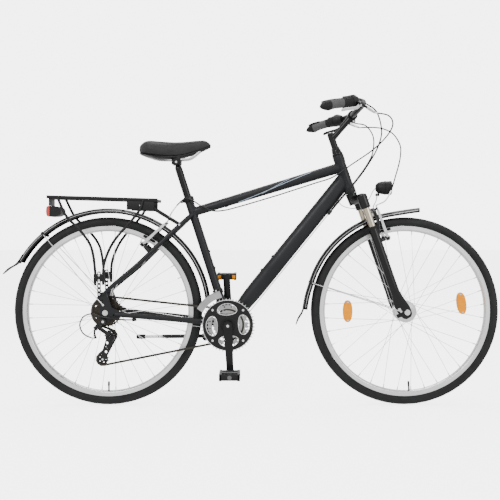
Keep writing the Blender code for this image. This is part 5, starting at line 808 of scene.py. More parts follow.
def saddle_seams(cover):
    """Piping round the hem and two seam lines that lie on the swelled cover."""
    tree = BVHTree.FromPolygons([v.co for v in cover.data.vertices],
                                [p.vertices for p in cover.data.polygons])
    shape = Shape("thread")
    for side in (-1, 1):
        upper = []
        for i in range(3, 30):
            t = i / 32
            aim = at(SADDLE_REAR + SADDLE_LENGTH * t, side * saddle_width(t) * 0.74, 1.02)
            hit = tree.ray_cast(aim, Vector((0, 0, -1)))[0]
            if hit:
                upper.append(hit)
        shape.rod(upper, 0.00075, 8)
    hem = []
    for i in range(1, 32):
        t = i / 32
        hem.append(at(SADDLE_REAR + SADDLE_LENGTH * t, saddle_width(t) * 0.985, saddle_hem(t) + 0.0035))
    hem = hem + [Vector((p.x, -p.y, p.z)) for p in reversed(hem)]
    snug = [tree.find_nearest(p)[0] for p in hem]
    shape.rod(snug, 0.0011, 8, True, "vinyl")
    make("saddle_piping", shape, "saddle", [])


def saddle_base():
    shape = Shape("plastic")
    rings = []
    for i in range(25):
        t = 0.012 + 0.976 * i / 24
        hem = saddle_hem(t) + 0.0012
        depth = 0.0035 + 0.012 * min(1.0, t / 0.3) - 0.0085 * t
        outline = [Vector(p) for p in ((-0.9, 0.0, 0), (-0.93, -0.45, 0), (-0.72, -0.85, 0),
                                       (-0.4, -1.0, 0), (0.4, -1.0, 0), (0.72, -0.85, 0),
                                       (0.93, -0.45, 0), (0.9, 0.0, 0))]
        x = SADDLE_REAR + SADDLE_LENGTH * t
        rings.append([at(x, saddle_width(t) * p.x, hem + depth * p.y) for p in smooth(outline, 3)])
    shape.strip(rings)
    half = ((0.156, 0.036, 0.924), (0.168, 0.033, 0.9195), (0.186, 0.026, 0.915), (0.212, 0.0225, 0.913),
            (0.29, 0.0225, 0.914), (0.318, 0.02, 0.924), (0.346, 0.013, 0.947), (0.356, 0.0, 0.95))
    route = placed(*[(x, -y, z) for x, y, z in half]) + placed(*reversed(half[:-1]))
    shape.rod(smooth(route, 6), 0.0035, 14, False, "bright")
    for side in (-1, 1):
        centre = Vector((SADDLE_PIVOT.x, side * 0.0225, (SADDLE_PIVOT.z + 0.9145) / 2))
        shape.block(centre, (0.034, 0.0125, 0.03), finish_name="satin")
    shape.disc(SADDLE_PIVOT - LATERAL * 0.0305, SADDLE_PIVOT + LATERAL * 0.0305, 0.0042, 20, "bright")
    make("saddle_shell_and_rails", shape, "saddle", ["saddle_base"])


# Fork, stem and handlebar

STEM_CLAMP = at(0.908, 0, 1.0768)
GRIP_DIRECTION = Vector((-0.8157, 0.5532, -0.172)).normalized()


def fork_upper():
    shape = Shape("gloss")
    cup = 0.6303
    profile = [(0, 0.437), (0.0185, 0.437), (0.0205, 0.4735), (0.0205, 0.4805), (0.0143, 0.4805),
               (0.0143, cup), (0.0145, cup + 0.018), (0.0137, cup + 0.03), (0, cup + 0.03)]
    shape.turned(profile, steer(0, 0, 0), STEER_UP, 40)
    for low, high, outer in ((0.474, 0.4804, 0.0212), (cup, cup + 0.0076, 0.0203)):
        shape.sleeve(steer(0, 0, low), steer(0, 0, high), outer, 0.014, 48, "satin")

    def flutes(index, step):
        return -0.0012 if step % 5 == 0 and index in (2, 3) else 0.0

    nut = [(0.013, cup + 0.0082), (0.0184, cup + 0.0082), (0.018, cup + 0.01), (0.017, cup + 0.019),
           (0.016, cup + 0.0215), (0.013, cup + 0.0215)]
    shape.turned(nut, steer(0, 0, 0), STEER_UP, 60, "satin", flutes)
    shape.sleeve(steer(0, 0, cup + 0.0215), steer(0, 0, cup + 0.03), 0.0156, 0.0129, 6, "satin")
    half = [(0.0, -0.001), (0.016, 0.0035), (0.04, 0.0145), (LEG_SPREAD, LEG_OFFSET)]
    route = [(-y, n) for y, n in reversed(half[1:])] + half
    path = [steer(n, y, 0.4523) for y, n in route]
    shape.sweep(smooth(path, 4), [ellipse(0.0155, 0.0165, 24)] * (4 * (len(path) - 1) + 1), STEER_UP)
    for side in (-1, 1):
        foot = steer(LEG_OFFSET, side * LEG_SPREAD, 0)
        shape.turned([(0, 0.175), (0.0128, 0.175), (0.013, 0.178), (0.013, 0.415), (0, 0.415)], foot,
                     STEER_UP, 40, "gold")
        shape.turned([(0, 0.411), (0.017, 0.411), (0.018, 0.4125), (0.0185, 0.42), (0.0185, 0.457),
                      (0.0175, 0.461), (0.014, 0.464), (0, 0.464)], foot, STEER_UP, 40)
        shape.disc(foot + STEER_UP * 0.4625, foot + STEER_UP * 0.4665, 0.01, 24, "satin")
        shape.hexagon(foot + STEER_UP * 0.466, foot + STEER_UP * 0.4675, 0.0045, "bright")
    make("steerer_crown_stanchions", shape, "steering", ["fork_upper"])


def stem():
    shape = Shape("satin")
    profile = [(0, 0.565), (0.0127, 0.565), (0.0127, 0.709), (0.0119, 0.715), (0.0085, 0.7185), (0, 0.7185)]
    shape.turned(profile, steer(0, 0, 0), STEER_UP, 40)
    foot = steer(0.0, 0, 0.694)
    reach = STEM_CLAMP - foot
    shape.tube([(foot - reach * 0.02, 0.0122, 0.0125), (foot + reach * 0.3, 0.0112, 0.0118),
                (foot + reach * 0.7, 0.0118, 0.0125), (STEM_CLAMP, 0.0135, 0.015)], 28, 5)
    shape.sleeve(STEM_CLAMP - LATERAL * 0.019, STEM_CLAMP + LATERAL * 0.019, 0.0182, 0.013, 48)
    shape.block(STEM_CLAMP + Vector((0.004, 0, -0.0205)), (0.016, 0.026, 0.012))
    shape.disc(STEM_CLAMP + Vector((0.004, -0.0142, -0.0215)),
               STEM_CLAMP + Vector((0.004, 0.0142, -0.0215)), 0.0036, 20, "bright")
    top = steer(0, 0, 0.717)
    shape.disc(top, top + STEER_UP * 0.003, 0.006, 24, "bright")
    make("quill_stem", shape, "steering", ["stem"])


def grip_axis(side):
    return Vector((GRIP_DIRECTION.x, side * GRIP_DIRECTION.y, GRIP_DIRECTION.z))


def on_bar(side, distance):
    return at(0.7626, side * 0.3, 1.0675) - grip_axis(side) * distance


def handlebar():
    clamp = STEM_CLAMP - at(0, 0, 0)
    half = [(clamp.x, 0.024, clamp.z), (clamp.x + 0.002, 0.046, clamp.z + 0.001), (0.917, 0.074, 1.0855),
            (0.927, 0.11, 1.0955), (0.929, 0.135, 1.1), (0.924, 0.16, 1.1008), (0.913, 0.185, 1.099)]
    left = placed(*half) + [on_bar(1, distance) for distance in (0.172, 0.15, 0.075, 0.024)]
    right = [Vector((p.x, -p.y, p.z)) for p in reversed(left)]
    path = smooth(right + [STEM_CLAMP] + left, 5)
    sections = []
    for p in path:
        swell = max(0.0, min(1.0, (0.04 - abs(p.y)) / 0.014))
        sections.append(ellipse(0.0111 + 0.0016 * swell, 0.0111 + 0.0016 * swell, 28))
    shape = Shape("satin")
    shape.sweep(path, sections)
    make("handlebar_tube", shape, "steering", ["handlebar"])


def grip(side, name):
    """Grip with a light middle, a dark palm wing and a dark tapered end."""
    axis = grip_axis(side)
    down = Vector((0, 0, -1))
    outward = (down - axis * down.dot(axis)).normalized()
    across = axis.cross(outward)
    stations = ((-0.004, 0.0016, 0.002, 0.0062), (0.005, 0.0092, 0.01, 0.0042),
                (0.014, 0.0132, 0.0142, 0.0034), (0.024, 0.0166, 0.0178, 0.003),
                (0.034, 0.0182, 0.0196, 0.003), (0.044, 0.0172, 0.0182, 0.002),
                (0.064, 0.0166, 0.0168, 0.0), (0.08, 0.0165, 0.0166, 0.0), (0.0955, 0.0165, 0.0166, 0.0))
    points = smooth([Vector(s[:3]) for s in stations], 4)
    drops = smooth([Vector((s[3], 0, 0)) for s in stations], 4)
    rings = []
    for p, d in zip(points, drops):
        centre = on_bar(side, p.x) + outward * d.x
        rings.append([centre + outward * a + across * b for a, b in ellipse(p.y, p.z, 32)])
    split = 17
    shape = Shape("grip")
    shape.strip(rings[:split + 1], finish_name="rubber")
    shape.strip(rings[split:], finish_name="grip")
    for index in range(9):
        distance = 0.05 + 0.005 * index
        start = on_bar(side, distance)
        shape.sleeve(start, start - axis * 0.0016, 0.0171, 0.015, 40)
    wing = []
    for distance, lift in ((0.018, 0.013), (0.034, 0.0158), (0.05, 0.0162), (0.068, 0.0158)):
        wing.append(on_bar(side, distance) - outward * (lift - 0.003) + across * (0.006 * side))
    shape.sweep(smooth(wing, 4), [rounded(0.003, 0.0105, 0.0026)] * 13, across, finish_name="rubber")
    make("grip_rubber_" + name, shape, "steering", ["grip_" + name])


def twist_grip(side, name):
    start = on_bar(side, 0.0966)
    end = on_bar(side, 0.131)
    length = (end - start).length
    axis = (end - start).normalized()

    def ribs(index, step):
        return -0.0011 if step % 4 < 2 and index in (2, 3, 4) else 0.0

    profile = [(0.0115, 0), (0.0172, 0), (0.018, 0.002), (0.0186, 0.01), (0.0203, length - 0.012),
               (0.0208, length - 0.009), (0.0222, length - 0.004), (0.0222, length - 0.0008),
               (0.0115, length)]
    shape = Shape("rubber")
    shape.turned(profile, start, axis, 72, None, ribs)
    up = (Vector((0, 0, 1)) - axis * axis.z).normalized()
    shape.block(start.lerp(end, 0.45) + up * 0.0195, (0.02, 0.006, 0.005), axis, axis.cross(up), "grip")
    make("twist_ring_" + name, shape, "twist_grip_" + name, ["twist_grip_" + name])


def lever_reach(side):
    drop = math.radians(28)
    axis = grip_axis(side)
    level = Vector((-axis.y, axis.x, 0)).normalized() * (-side)
    level = level if level.x > 0 else -level
    down = axis.cross(level)
    down = down if down.z < 0 else -down
    return (level * math.cos(drop) + down * math.sin(drop)).normalized()


def lever_axis(side):
    return grip_axis(side).cross(lever_reach(side)).normalized()


def lever_pivot(side):
    return on_bar(side, 0.15) + lever_reach(side) * 0.0315


def barrel_foot(side):
    return lever_pivot(side) - grip_axis(side) * 0.014 - lever_reach(side) * 0.011


def barrel_tip(side):
    return at(0.961, side * 0.19, 1.06)


def control_bracket(side, name):
    axis = grip_axis(side)
    reach = lever_reach(side)
    hinge = lever_axis(side)
    start = on_bar(side, 0.1316)
    end = on_bar(side, 0.164)
    length = (end - start).length
    shape = Shape("plastic")
    profile = [(0.0115, 0), (0.0225, 0), (0.0235, 0.0012), (0.0235, length - 0.014),
               (0.0205, length - 0.008), (0.017, length - 0.0015), (0.016, length), (0.0115, length)]
    shape.turned(profile, start, end - start, 56)
    up = (Vector((0, 0, 1)) - axis * axis.z).normalized()
    shape.block(on_bar(side, 0.143) + up * 0.0205, (0.015, 0.018, 0.006), axis, axis.cross(up), "gloss")
    shape.block(on_bar(side, 0.15) + reach * 0.0105, (0.018, 0.016, 0.021), axis, hinge, "satin")
    shape.block(on_bar(side, 0.162) + reach * 0.0115, (0.018, 0.012, 0.02), axis, hinge, "satin")
    pivot = lever_pivot(side)
    for offset in (-1, 1):
        ear = pivot + hinge * (offset * 0.008) - reach * 0.004
        shape.block(ear, (0.016, 0.005, 0.022), axis, hinge, "satin")
    foot, tip = barrel_foot(side), barrel_tip(side)
    shape.disc(foot, foot.lerp(tip, 0.45), 0.0046, 20, "satin")

    def knurl(index, step):
        return -0.0005 if step % 2 and 0 < index < 5 else 0.0

    span = (tip - foot).length
    barrel = [(0, 0.42 * span), (0.005, 0.42 * span), (0.0052, 0.46 * span), (0.0052, 0.72 * span),
              (0.0046, 0.76 * span), (0.0044, 0.98 * span), (0.003, span), (0, span)]
    shape.turned(barrel, foot, tip - foot, 32, "silver", knurl)
    shape.disc(pivot - hinge * 0.0105, pivot + hinge * 0.0105, 0.0028, 16, "bright")
    exit_point = past_pod(side)
    shape.disc(exit_point + axis * 0.011, exit_point + axis * 0.0005, 0.0046, 20, "satin")
    make("shifter_and_bracket_" + name, shape, "steering", ["control_bracket_" + name])


def brake_lever(side, name):
    axis = grip_axis(side)
    reach = lever_reach(side)
    hinge = lever_axis(side)
    pivot = lever_pivot(side)
    stations = ((0.0, 0.0, 0.0046), (0.012, 0.008, 0.005), (0.03, 0.0185, 0.0046), (0.05, 0.022, 0.0044),
                (0.068, 0.0216, 0.0044), (0.085, 0.0222, 0.0042), (0.098, 0.0246, 0.0044),
                (0.104, 0.0262, 0.003))
    path = smooth([pivot + axis * a + reach * out for a, out, _ in stations], 5)
    halves = smooth([Vector((h, 0, 0)) for _, _, h in stations], 5)
    shape = Shape("silver" if side < 0 else "satin")
    shape.sweep(path, [rounded(h.x, 0.0046, 0.002) for h in halves], hinge)
    shape.disc(pivot - hinge * 0.005, pivot + hinge * 0.005, 0.007, 28)
    make("lever_blade_" + name, shape, "brake_lever_" + name, ["brake_lever_" + name])


# Fork lowers


def fork_lowers():
    shape = Shape("gloss")
    sizes = ((0.331, LEG_OFFSET, LEG_SPREAD, 0.0165, 0.0165), (0.24, LEG_OFFSET, LEG_SPREAD, 0.0163, 0.0163),
             (0.115, LEG_OFFSET, LEG_SPREAD, 0.0165, 0.0163), (0.078, 0.0265, 0.062, 0.0175, 0.014),
             (0.04, 0.03, 0.058, 0.0235, 0.0088), (0.012, 0.0365, 0.0555, 0.0245, 0.0052),
             (-0.012, 0.042, 0.055, 0.019, 0.0047), (-0.021, 0.044, 0.055, 0.01, 0.004))
    for side in (-1, 1):
        stations = [(steer(n, side * y, s), deep, wide) for s, n, y, deep, wide in sizes]
        shape.tube(stations, 36, 5)
        top = steer(LEG_OFFSET, side * LEG_SPREAD, 0.33)
        shape.turned([(0.0134, 0), (0.0172, 0), (0.0176, 0.002), (0.0176, 0.008), (0.0158, 0.0105),
                      (0.0134, 0.0112)], top, STEER_UP, 40, "rubber")
        base = fork_brake(FRONT_ARM_PLANE - 0.036, side * 0.052, front_pivot())
        shoulder = fork_brake(FRONT_ARM_PLANE - 0.0112, side * ARM_SPREAD, front_pivot())
        shape.disc(base, shoulder, 0.0074, 24)
        tip = fork_brake(FRONT_ARM_PLANE + 0.008, side * ARM_SPREAD, front_pivot())
        shape.disc(shoulder, tip, 0.004, 20, "bright")
        for low, high, radius in ((0.047, 0.053, 0.008), (0.0588, 0.0602, 0.0105)):
            shape.disc(fork_brake(0, side * low, 0), fork_brake(0, side * high, 0), radius, 32, "bright")
        shape.hexagon(fork_brake(0, side * 0.0598, 0), fork_brake(0, side * 0.067, 0), 0.009, "bright")
        bolt = steer(0.02, side * 0.059, 0.02)
        shape.disc(bolt, bolt + LATERAL * (side * 0.0052), 0.0058, 24, "bright")
        shape.hexagon(bolt + LATERAL * (side * 0.005), bolt + LATERAL * (side * 0.0076), 0.0036, "bright")
    half = [(LEG_SPREAD, 0.033, 0.3), (0.0625, 0.044, 0.326), (0.056, 0.053, 0.356),
            (0.04, 0.0545, 0.382), (0.018, 0.0545, 0.394)]
    path = [steer(n, -y, s) for y, n, s in half] + [steer(n, y, s) for y, n, s in reversed(half)]
    fine = smooth(path, 5)
    shape.sweep(fine, [rounded(0.0075, 0.0062, 0.0035)] * len(fine), STEER_AHEAD)
    shape.disc(fork_brake(0, -0.069, 0), fork_brake(0, 0.069, 0), 0.0048, 20, "bright")
    plug = steer(0.013, -0.053, -0.002)
    shape.block(plug, (0.018, 0.008, 0.014), STEER_AHEAD, finish_name="plastic")
    make("fork_lower_legs", shape, "fork_lower", ["fork_lowers"])


# Brakes


def brake_arm(place, side, plane, pivot, name, body):
    """Linear-pull arm with its pivot bolt, pad and spring."""
    shape = Shape("silver")
    outline = [(ARM_SPREAD - 0.008, 0.0), (ARM_SPREAD - 0.0055, -0.0075), (ARM_SPREAD, -0.0098),
               (ARM_SPREAD + 0.0065, -0.007), (ARM_SPREAD + 0.0095, 0.0), (ARM_SPREAD + 0.008, 0.03),
               (ARM_SPREAD + 0.003, 0.062), (ARM_SPREAD - 0.002, ARM_LENGTH - 0.004),
               (ARM_SPREAD - 0.005, ARM_LENGTH), (ARM_SPREAD - 0.01, ARM_LENGTH),
               (ARM_SPREAD - 0.011, ARM_LENGTH - 0.004), (ARM_SPREAD - 0.007, 0.06),
               (ARM_SPREAD - 0.006, 0.03)]
    slot = [(ARM_SPREAD - 0.0022, 0.04), (ARM_SPREAD + 0.003, 0.04), (ARM_SPREAD + 0.0005, 0.058),
            (ARM_SPREAD - 0.003, 0.058)]

    def face(offset):
        return lambda a, b: place(plane + offset, side * a, pivot + b)

    shape.plate(outline, face(-0.0043), face(0.0043), [slot])
    hinge = place(plane, side * ARM_SPREAD, pivot)
    forward = (place(1, 0, 0) - place(0, 0, 0)).normalized()
    upward = (place(0, 0, 1) - place(0, 0, 0)).normalized()
    shape.disc(hinge - forward * 0.0075, hinge + forward * 0.006, 0.01, 32, "satin")
    shape.hexagon(hinge + forward * 0.0058, hinge + forward * 0.0098, 0.0052, "bright")
    tilt = math.asin(plane / BRAKE_TRACK)
    tangent = forward * math.cos(tilt) - upward * math.sin(tilt)
    centre = place(plane, side * 0.0167, pivot + PAD_ABOVE_PIVOT)
    turn = math.copysign(math.radians(4.0), side * forward.cross(Vector((0, 0, 1))).y)
    swing = Matrix.Translation(hinge) @ Matrix.Rotation(turn, 4, forward) @ Matrix.Translation(-hinge)
    first = len(shape.vertices)
    shape.block(centre, (0.05, 0.0088, 0.0084), tangent, LATERAL, "rubber")
    for share in (-0.016, 0.0, 0.016):
        groove = centre + tangent * share + LATERAL * (side * 0.0012)
        shape.block(groove, (0.003, 0.0082, 0.009), tangent, LATERAL, "rubber")
    shape.disc(centre, centre + LATERAL * (side * 0.033), 0.0036, 16, "bright")
    shape.disc(centre + LATERAL * (side * 0.006), centre + LATERAL * (side * 0.012), 0.0068, 24, "dark")
    shape.hexagon(centre + LATERAL * (side * 0.029), centre + LATERAL * (side * 0.0335), 0.0056, "bright")
    shape.vertices[first:] = [swing @ v for v in shape.vertices[first:]]
    spring = [place(plane - 0.0052, side * (ARM_SPREAD + 0.004), pivot + 0.002),
              place(plane - 0.0052, side * (ARM_SPREAD + 0.007), pivot + 0.022),
              place(plane - 0.0052, side * (ARM_SPREAD + 0.0045), pivot + 0.052)]
    shape.rod(smooth(spring, 5), 0.001, 8, False, "bright")
    make(name, shape, body, [body])


# Wheels


def tyre(axle, name):
    half = TYRE_WIDTH / 2
    centre = WHEEL_RADIUS - half
    limit = math.degrees(math.asin((0.3178 - centre) / half))
    count = 30
    angles = [limit + (180 - 2 * limit) * i / count for i in range(count + 1)]
    profile = [(centre + half * math.sin(math.radians(a)), half * math.cos(math.radians(a))) for a in angles]

    def tread(index, step):
        if index > count:
            return 0.0
        off = abs(angles[index] - 90)
        if 8 < off < 12:
            return -0.0014
        if 24 < off < 50:
            late = 1 if (angles[index] > 90) else 0
            return -0.0017 if (step + late) % 4 in (0,) else 0.0
        if 12 <= off <= 24:
            return -0.0011 if (step + int(off / 6)) % 6 == 0 else 0.0
        return 0.0

    shape = Shape("tyre")
    shape.turned(profile, axle, LATERAL, 264, None, tread)
    for side in (-1, 1):
        for radius, y, size in ((0.3215, 0.0168, 0.0007), (0.3275, 0.0187, 0.0005)):
            path = [axle + Vector((radius * math.cos(a), side * y, radius * math.sin(a)))
                    for a in [2 * math.pi * i / 144 for i in range(144)]]
            shape.rod(path, size, 6, True)
    make(name + "_tyre_and_tread", shape, name + "_wheel", [name + "_tyre"])


def rim(axle, name):
    shape = Shape("silver")
    profile = [(0.3175, -0.0112), (0.317, -0.012), (0.3035, -0.012), (0.3022, -0.0112), (0.299, -0.0062),
               (0.2975, -0.0035), (0.2975, 0.0035), (0.299, 0.0062), (0.3022, 0.0112), (0.3035, 0.012),
               (0.317, 0.012), (0.3175, 0.0112)]
    shape.turned(profile, axle, LATERAL, 180)
    for side in (-1, 1):
        track = [(0.3166, side * 0.0119), (0.3166, side * 0.01206), (0.3042, side * 0.01206),
                 (0.3042, side * 0.0119)]
        shape.turned(track, axle, LATERAL, 180, "track")
    for index in range(SPOKE_COUNT):
        angle = (index + 0.5) * 2 * math.pi / SPOKE_COUNT
        radial = Vector((math.cos(angle), 0, math.sin(angle)))
        shape.sleeve(axle + radial * 0.2966, axle + radial * 0.298, 0.0036, 0.002, 12, "bright")
    angle = math.radians(-86.4 if name == "front" else -90)
    radial = Vector((math.cos(angle), 0, math.sin(angle)))
    shape.disc(axle + radial * 0.2978, axle + radial * 0.279, 0.0034, 16, "rubber")
    shape.disc(axle + radial * 0.28, axle + radial * 0.264, 0.0041, 16, "plastic")
    make(name + "_rim_hoop", shape, name + "_wheel", [name + "_rim"])


def spokes(axle, name, flange, flange_sides):
    shape = Shape("bright")
    for index in range(SPOKE_COUNT):
        y = flange_sides[index % 2]
        pull = 1 if (index // 2) % 2 else -1
        rim_angle = (index + 0.5) * 2 * math.pi / SPOKE_COUNT
        hub_angle = rim_angle + pull * math.radians(56)
        hub_y = y + pull * 0.0021
        hole = flange - 0.0026
        start = axle + Vector((hole * math.cos(hub_angle), hub_y, hole * math.sin(hub_angle)))
        rim_y = math.copysign(0.0014, y)
        end = axle + Vector((0.297 * math.cos(rim_angle), rim_y, 0.297 * math.sin(rim_angle)))
        head = start - LATERAL * (pull * 0.005)
        shape.rod([head, start + (end - start) * 0.004, end], 0.00095, 6)
        shape.disc(head - LATERAL * (pull * 0.0006), head + LATERAL * (pull * 0.0008), 0.0018, 10)
        inward = (start - end).normalized()
        shape.disc(end + inward * 0.001, end + inward * 0.012, 0.0018, 10, "silver")
    if name == "front":
        for degrees in (180, 8):
            reflector(shape, axle, math.radians(degrees))
    make(name + "_spokes_and_nipples", shape, name + "_wheel", [name + "_spokes"])


def reflector(shape, axle, angle):
    """Amber oval clipped between the spokes, with a raised rim and a faceted face."""
    radial = Vector((math.cos(angle), 0, math.sin(angle)))
    across = Vector((-math.sin(angle), 0, math.cos(angle)))
    middle = axle + radial * REFLECTOR_REACH - LATERAL * 0.009
    rings = []
    for y, scale in ((0.0058, 0.86), (0.006, 0.92), (0.0035, 1.0), (-0.0035, 1.0), (-0.006, 0.9),
                     (-0.0062, 0.8)):
        ring = []
        for i in range(48):
            a = 2 * math.pi * i / 48
            ring.append(middle + radial * (0.018 * scale * math.copysign(abs(math.cos(a)) ** 0.82,
                                                                          math.cos(a)))
                        + across * (0.0408 * scale * math.copysign(abs(math.sin(a)) ** 0.95, math.sin(a)))
                        + LATERAL * y)
        rings.append(ring)
    shape.strip(rings, finish_name="amber")
    for end in (-1, 1):
        clip = middle + across * (end * 0.0335)
        shape.block(clip, (0.008, 0.0135, 0.004), radial, LATERAL, "lens")
    bar = middle + across * 0.003
    shape.block(bar - LATERAL * 0.0061, (0.03, 0.001, 0.0016), radial, LATERAL, "amber")


def front_hub(axle):
    shape = Shape("silver")
    profile = [(0.0054, -0.044), (0.012, -0.044), (0.017, -0.043), (0.018, -0.0405), (0.03, -0.033),
               (0.039, -0.0282), (0.04, -0.0274), (0.04, -0.0246), (0.037, -0.024), (0.0345, -0.0205),
               (0.0345, 0.0205), (0.037, 0.024), (0.04, 0.0246), (0.04, 0.0274), (0.039, 0.0282),
               (0.03, 0.033), (0.018, 0.0405), (0.017, 0.043), (0.012, 0.044), (0.0054, 0.044)]
    shape.turned(profile, axle, LATERAL, 96)
    for side in (-1, 1):
        shape.sleeve(axle + LATERAL * (side * 0.0436), axle + LATERAL * (side * 0.0452), 0.015, 0.0056,
                     40, "plastic")
    make("dynamo_hub", shape, "front_wheel", ["front_hub"])


def rear_hub(axle):
    shape = Shape("silver")
    profile = [(0.0054, -0.025), (0.0165, -0.025), (0.02, -0.0215), (0.0225, -0.0196), (0.0225, -0.0164),
               (0.019, -0.0155), (0.014, -0.012), (0.0135, 0.008), (0.014, 0.028), (0.019, 0.0315),
               (0.0225, 0.0324), (0.0225, 0.0356), (0.02, 0.0375), (0.015, 0.045), (0.013, 0.056),
               (0.0125, 0.06), (0.0054, 0.06)]
    shape.turned(profile, axle, LATERAL, 72)
    shape.sleeve(axle + LATERAL * 0.0585, axle + LATERAL * 0.0604, 0.0115, 0.0056, 32, "dark")
    make("rear_hub_shell", shape, "rear_wheel", ["rear_hub"])


# Chainset, cassette and chain


def pitch_radius(teeth):
    return CHAIN_PITCH / (2 * math.sin(math.pi / teeth))


def teeth_outline(teeth, centre, reach=1.0):
    """Sprocket outline with rounded valleys and blunt tips."""
    radius = pitch_radius(teeth)
    outline = []
    for i in range(teeth):
        for share, lift in ((-0.3, -0.0033), (-0.16, -0.0038), (0.0, -0.004), (0.16, -0.0038),
                            (0.3, -0.0033), (0.42, 0.0012), (0.47, 0.0031), (0.53, 0.0031),
                            (0.58, 0.0012)):
            angle = 2 * math.pi * (i + share) / teeth
            r = radius + lift * reach
            outline.append((centre[0] + r * math.cos(angle), centre[1] + r * math.sin(angle)))
    return outline


def crank_point(side, distance):
    turn = CRANK_REST if side < 0 else CRANK_REST + math.pi
    return BRACKET_X + distance * math.sin(turn), BRACKET_Z - distance * math.cos(turn)


def crank_arm(shape, side):
    middle_y = side * 0.074
    stations = ((-0.014, 0.012, 0.006), (-0.006, 0.0165, 0.0072), (0.01, 0.0172, 0.0074),
                (0.06, 0.0152, 0.0068), (0.11, 0.0138, 0.0062), (0.15, 0.0132, 0.006),
                (0.17, 0.0142, 0.0064), (0.18, 0.012, 0.0058), (0.184, 0.007, 0.0045))
    placings = []
    for distance, half, deep in stations:
        x, z = crank_point(side, distance)
        placings.append((at(x, middle_y, z), half, deep))
    path, sizes = smooth_stations(placings, 4)
    shape.sweep(path, [rounded(s.x, s.y, min(0.004, s.y * 0.7)) for s in sizes], LATERAL)
    x, z = crank_point(side, CRANK_LENGTH)
    shape.disc(at(x, side * 0.07, z), at(x, side * 0.164, z), 0.0048, 20, "bright")
    shape.hexagon(at(x, side * 0.0815, z), at(x, side * 0.087, z), 0.0082, "bright")
    cap = BRACKET + LATERAL * (side * 0.0805)
    shape.disc(cap, cap + LATERAL * (side * 0.003), 0.0105, 32, "dark")
    shape.hexagon(cap + LATERAL * (side * 0.002), cap + LATERAL * (side * 0.004), 0.0052, "bright")


def crank_right():
    shape = Shape("satin")
    centre = (BRACKET_X, BRACKET_Z)
    shape.turned([(0.0088, 0.0375), (0.015, 0.0375), (0.0175, 0.048), (0.0175, 0.079), (0.0165, 0.0815),
                  (0.0088, 0.0815)], BRACKET, -LATERAL, 48)
    outline = []
    for quarter in range(4):
        middle = 45 + 90 * quarter
        for reach, spread in ((0.0285, -36), (0.033, -22), (0.048, -10.5), (0.072, -6.8), (0.086, -6.4),
                              (0.0885, 0.0), (0.086, 6.4), (0.072, 6.8), (0.048, 10.5), (0.033, 22),
                              (0.0285, 36)):
            angle = math.radians(middle + spread)
            outline.append((centre[0] + reach * math.cos(angle), centre[1] + reach * math.sin(angle)))
    shape.side_plate(outline, -0.0572, -0.0476)
    for index, inner in ((0, 0.078), (1, 0.06), (2, 0.04)):
        y = INNER_RING_Y - 0.007 * (2 - index)
        holes = [circle(centre, inner, 48)]
        if index < 2:
            span = inner + 0.0075
            for hole in range(24 if index == 0 else 16):
                angle = 2 * math.pi * (hole + 0.5) / (24 if index == 0 else 16)
                holes.append(circle((centre[0] + span * math.cos(angle),
                                     centre[1] + span * math.sin(angle)), 0.003, 10))
        shape.side_plate(teeth_outline(RINGS[index], centre), y - 0.0009, y + 0.0009, holes, "ring")
    for quarter in range(4):
        angle = math.radians(45 + 90 * quarter)
        out = Vector((math.cos(angle), 0, math.sin(angle)))
        for reach, low, high in ((0.082, -0.06, -0.046), (0.0455, -0.052, -0.0395),
                                 (0.064, -0.05, -0.0465)):
            shape.disc(BRACKET + out * reach + LATERAL * low, BRACKET + out * reach + LATERAL * high,
                       0.0044, 20, "ring")
    crank_arm(shape, -1)
    make("drive_crank_and_rings", shape, "crank", ["crank_right"])


def crank_left():
    shape = Shape("satin")
    shape.turned([(0, 0.0349), (0.0135, 0.0349), (0.015, 0.04), (0.016, 0.07), (0.016, 0.0805),
                  (0, 0.0815)], BRACKET, LATERAL, 48)
    shape.disc(BRACKET - LATERAL * 0.069, BRACKET + LATERAL * 0.07, 0.0084, 32, "bright")
    crank_arm(shape, 1)
    make("left_crank_and_axle", shape, "crank", ["crank_left"])


def chain_guard():
    """Flat plastic ring with four oval windows; silver rods round its rim and windows are painted
    highlights.
    """
    shape = Shape("gloss")
    windows = []
    for quarter in range(4):
        angle = math.radians(90 * quarter + 3)
        window = []
        for i in range(32):
            a = 2 * math.pi * i / 32
            radius = 0.059 + 0.021 * math.cos(a)
            turn = angle + math.radians(35) * math.sin(a)
            window.append((BRACKET_X + radius * math.cos(turn), BRACKET_Z + radius * math.sin(turn)))
        windows.append(window)
        # silver rod round the window: painted highlight on its edge
        shape.rod([at(x, -0.0609, z) for x, z in window], 0.0014, 8, True, "line")
    shape.side_plate(circle((BRACKET_X, BRACKET_Z), 0.093, 96), -0.0612, -0.0578,
                     windows + [circle((BRACKET_X, BRACKET_Z), 0.0262, 40)])
    # outer silver rod: painted highlight on the rim; the inner rod is black trim
    for radius, size in ((0.0925, 0.0013), (0.027, 0.001)):
        path = [at(x, -0.0604, z) for x, z in circle((BRACKET_X, BRACKET_Z), radius, 96)]
        shape.rod(path, size, 8, True, "line" if radius > 0.05 else None)
    for quarter in range(4):
        angle = math.radians(45 + 90 * quarter)
        place = BRACKET + Vector((math.cos(angle), 0, math.sin(angle))) * 0.079
        shape.disc(place - LATERAL * 0.0608, place - LATERAL * 0.0628, 0.0042, 20, "bright")
    make("chain_guard_ring", shape, "crank", ["chain_guard"])


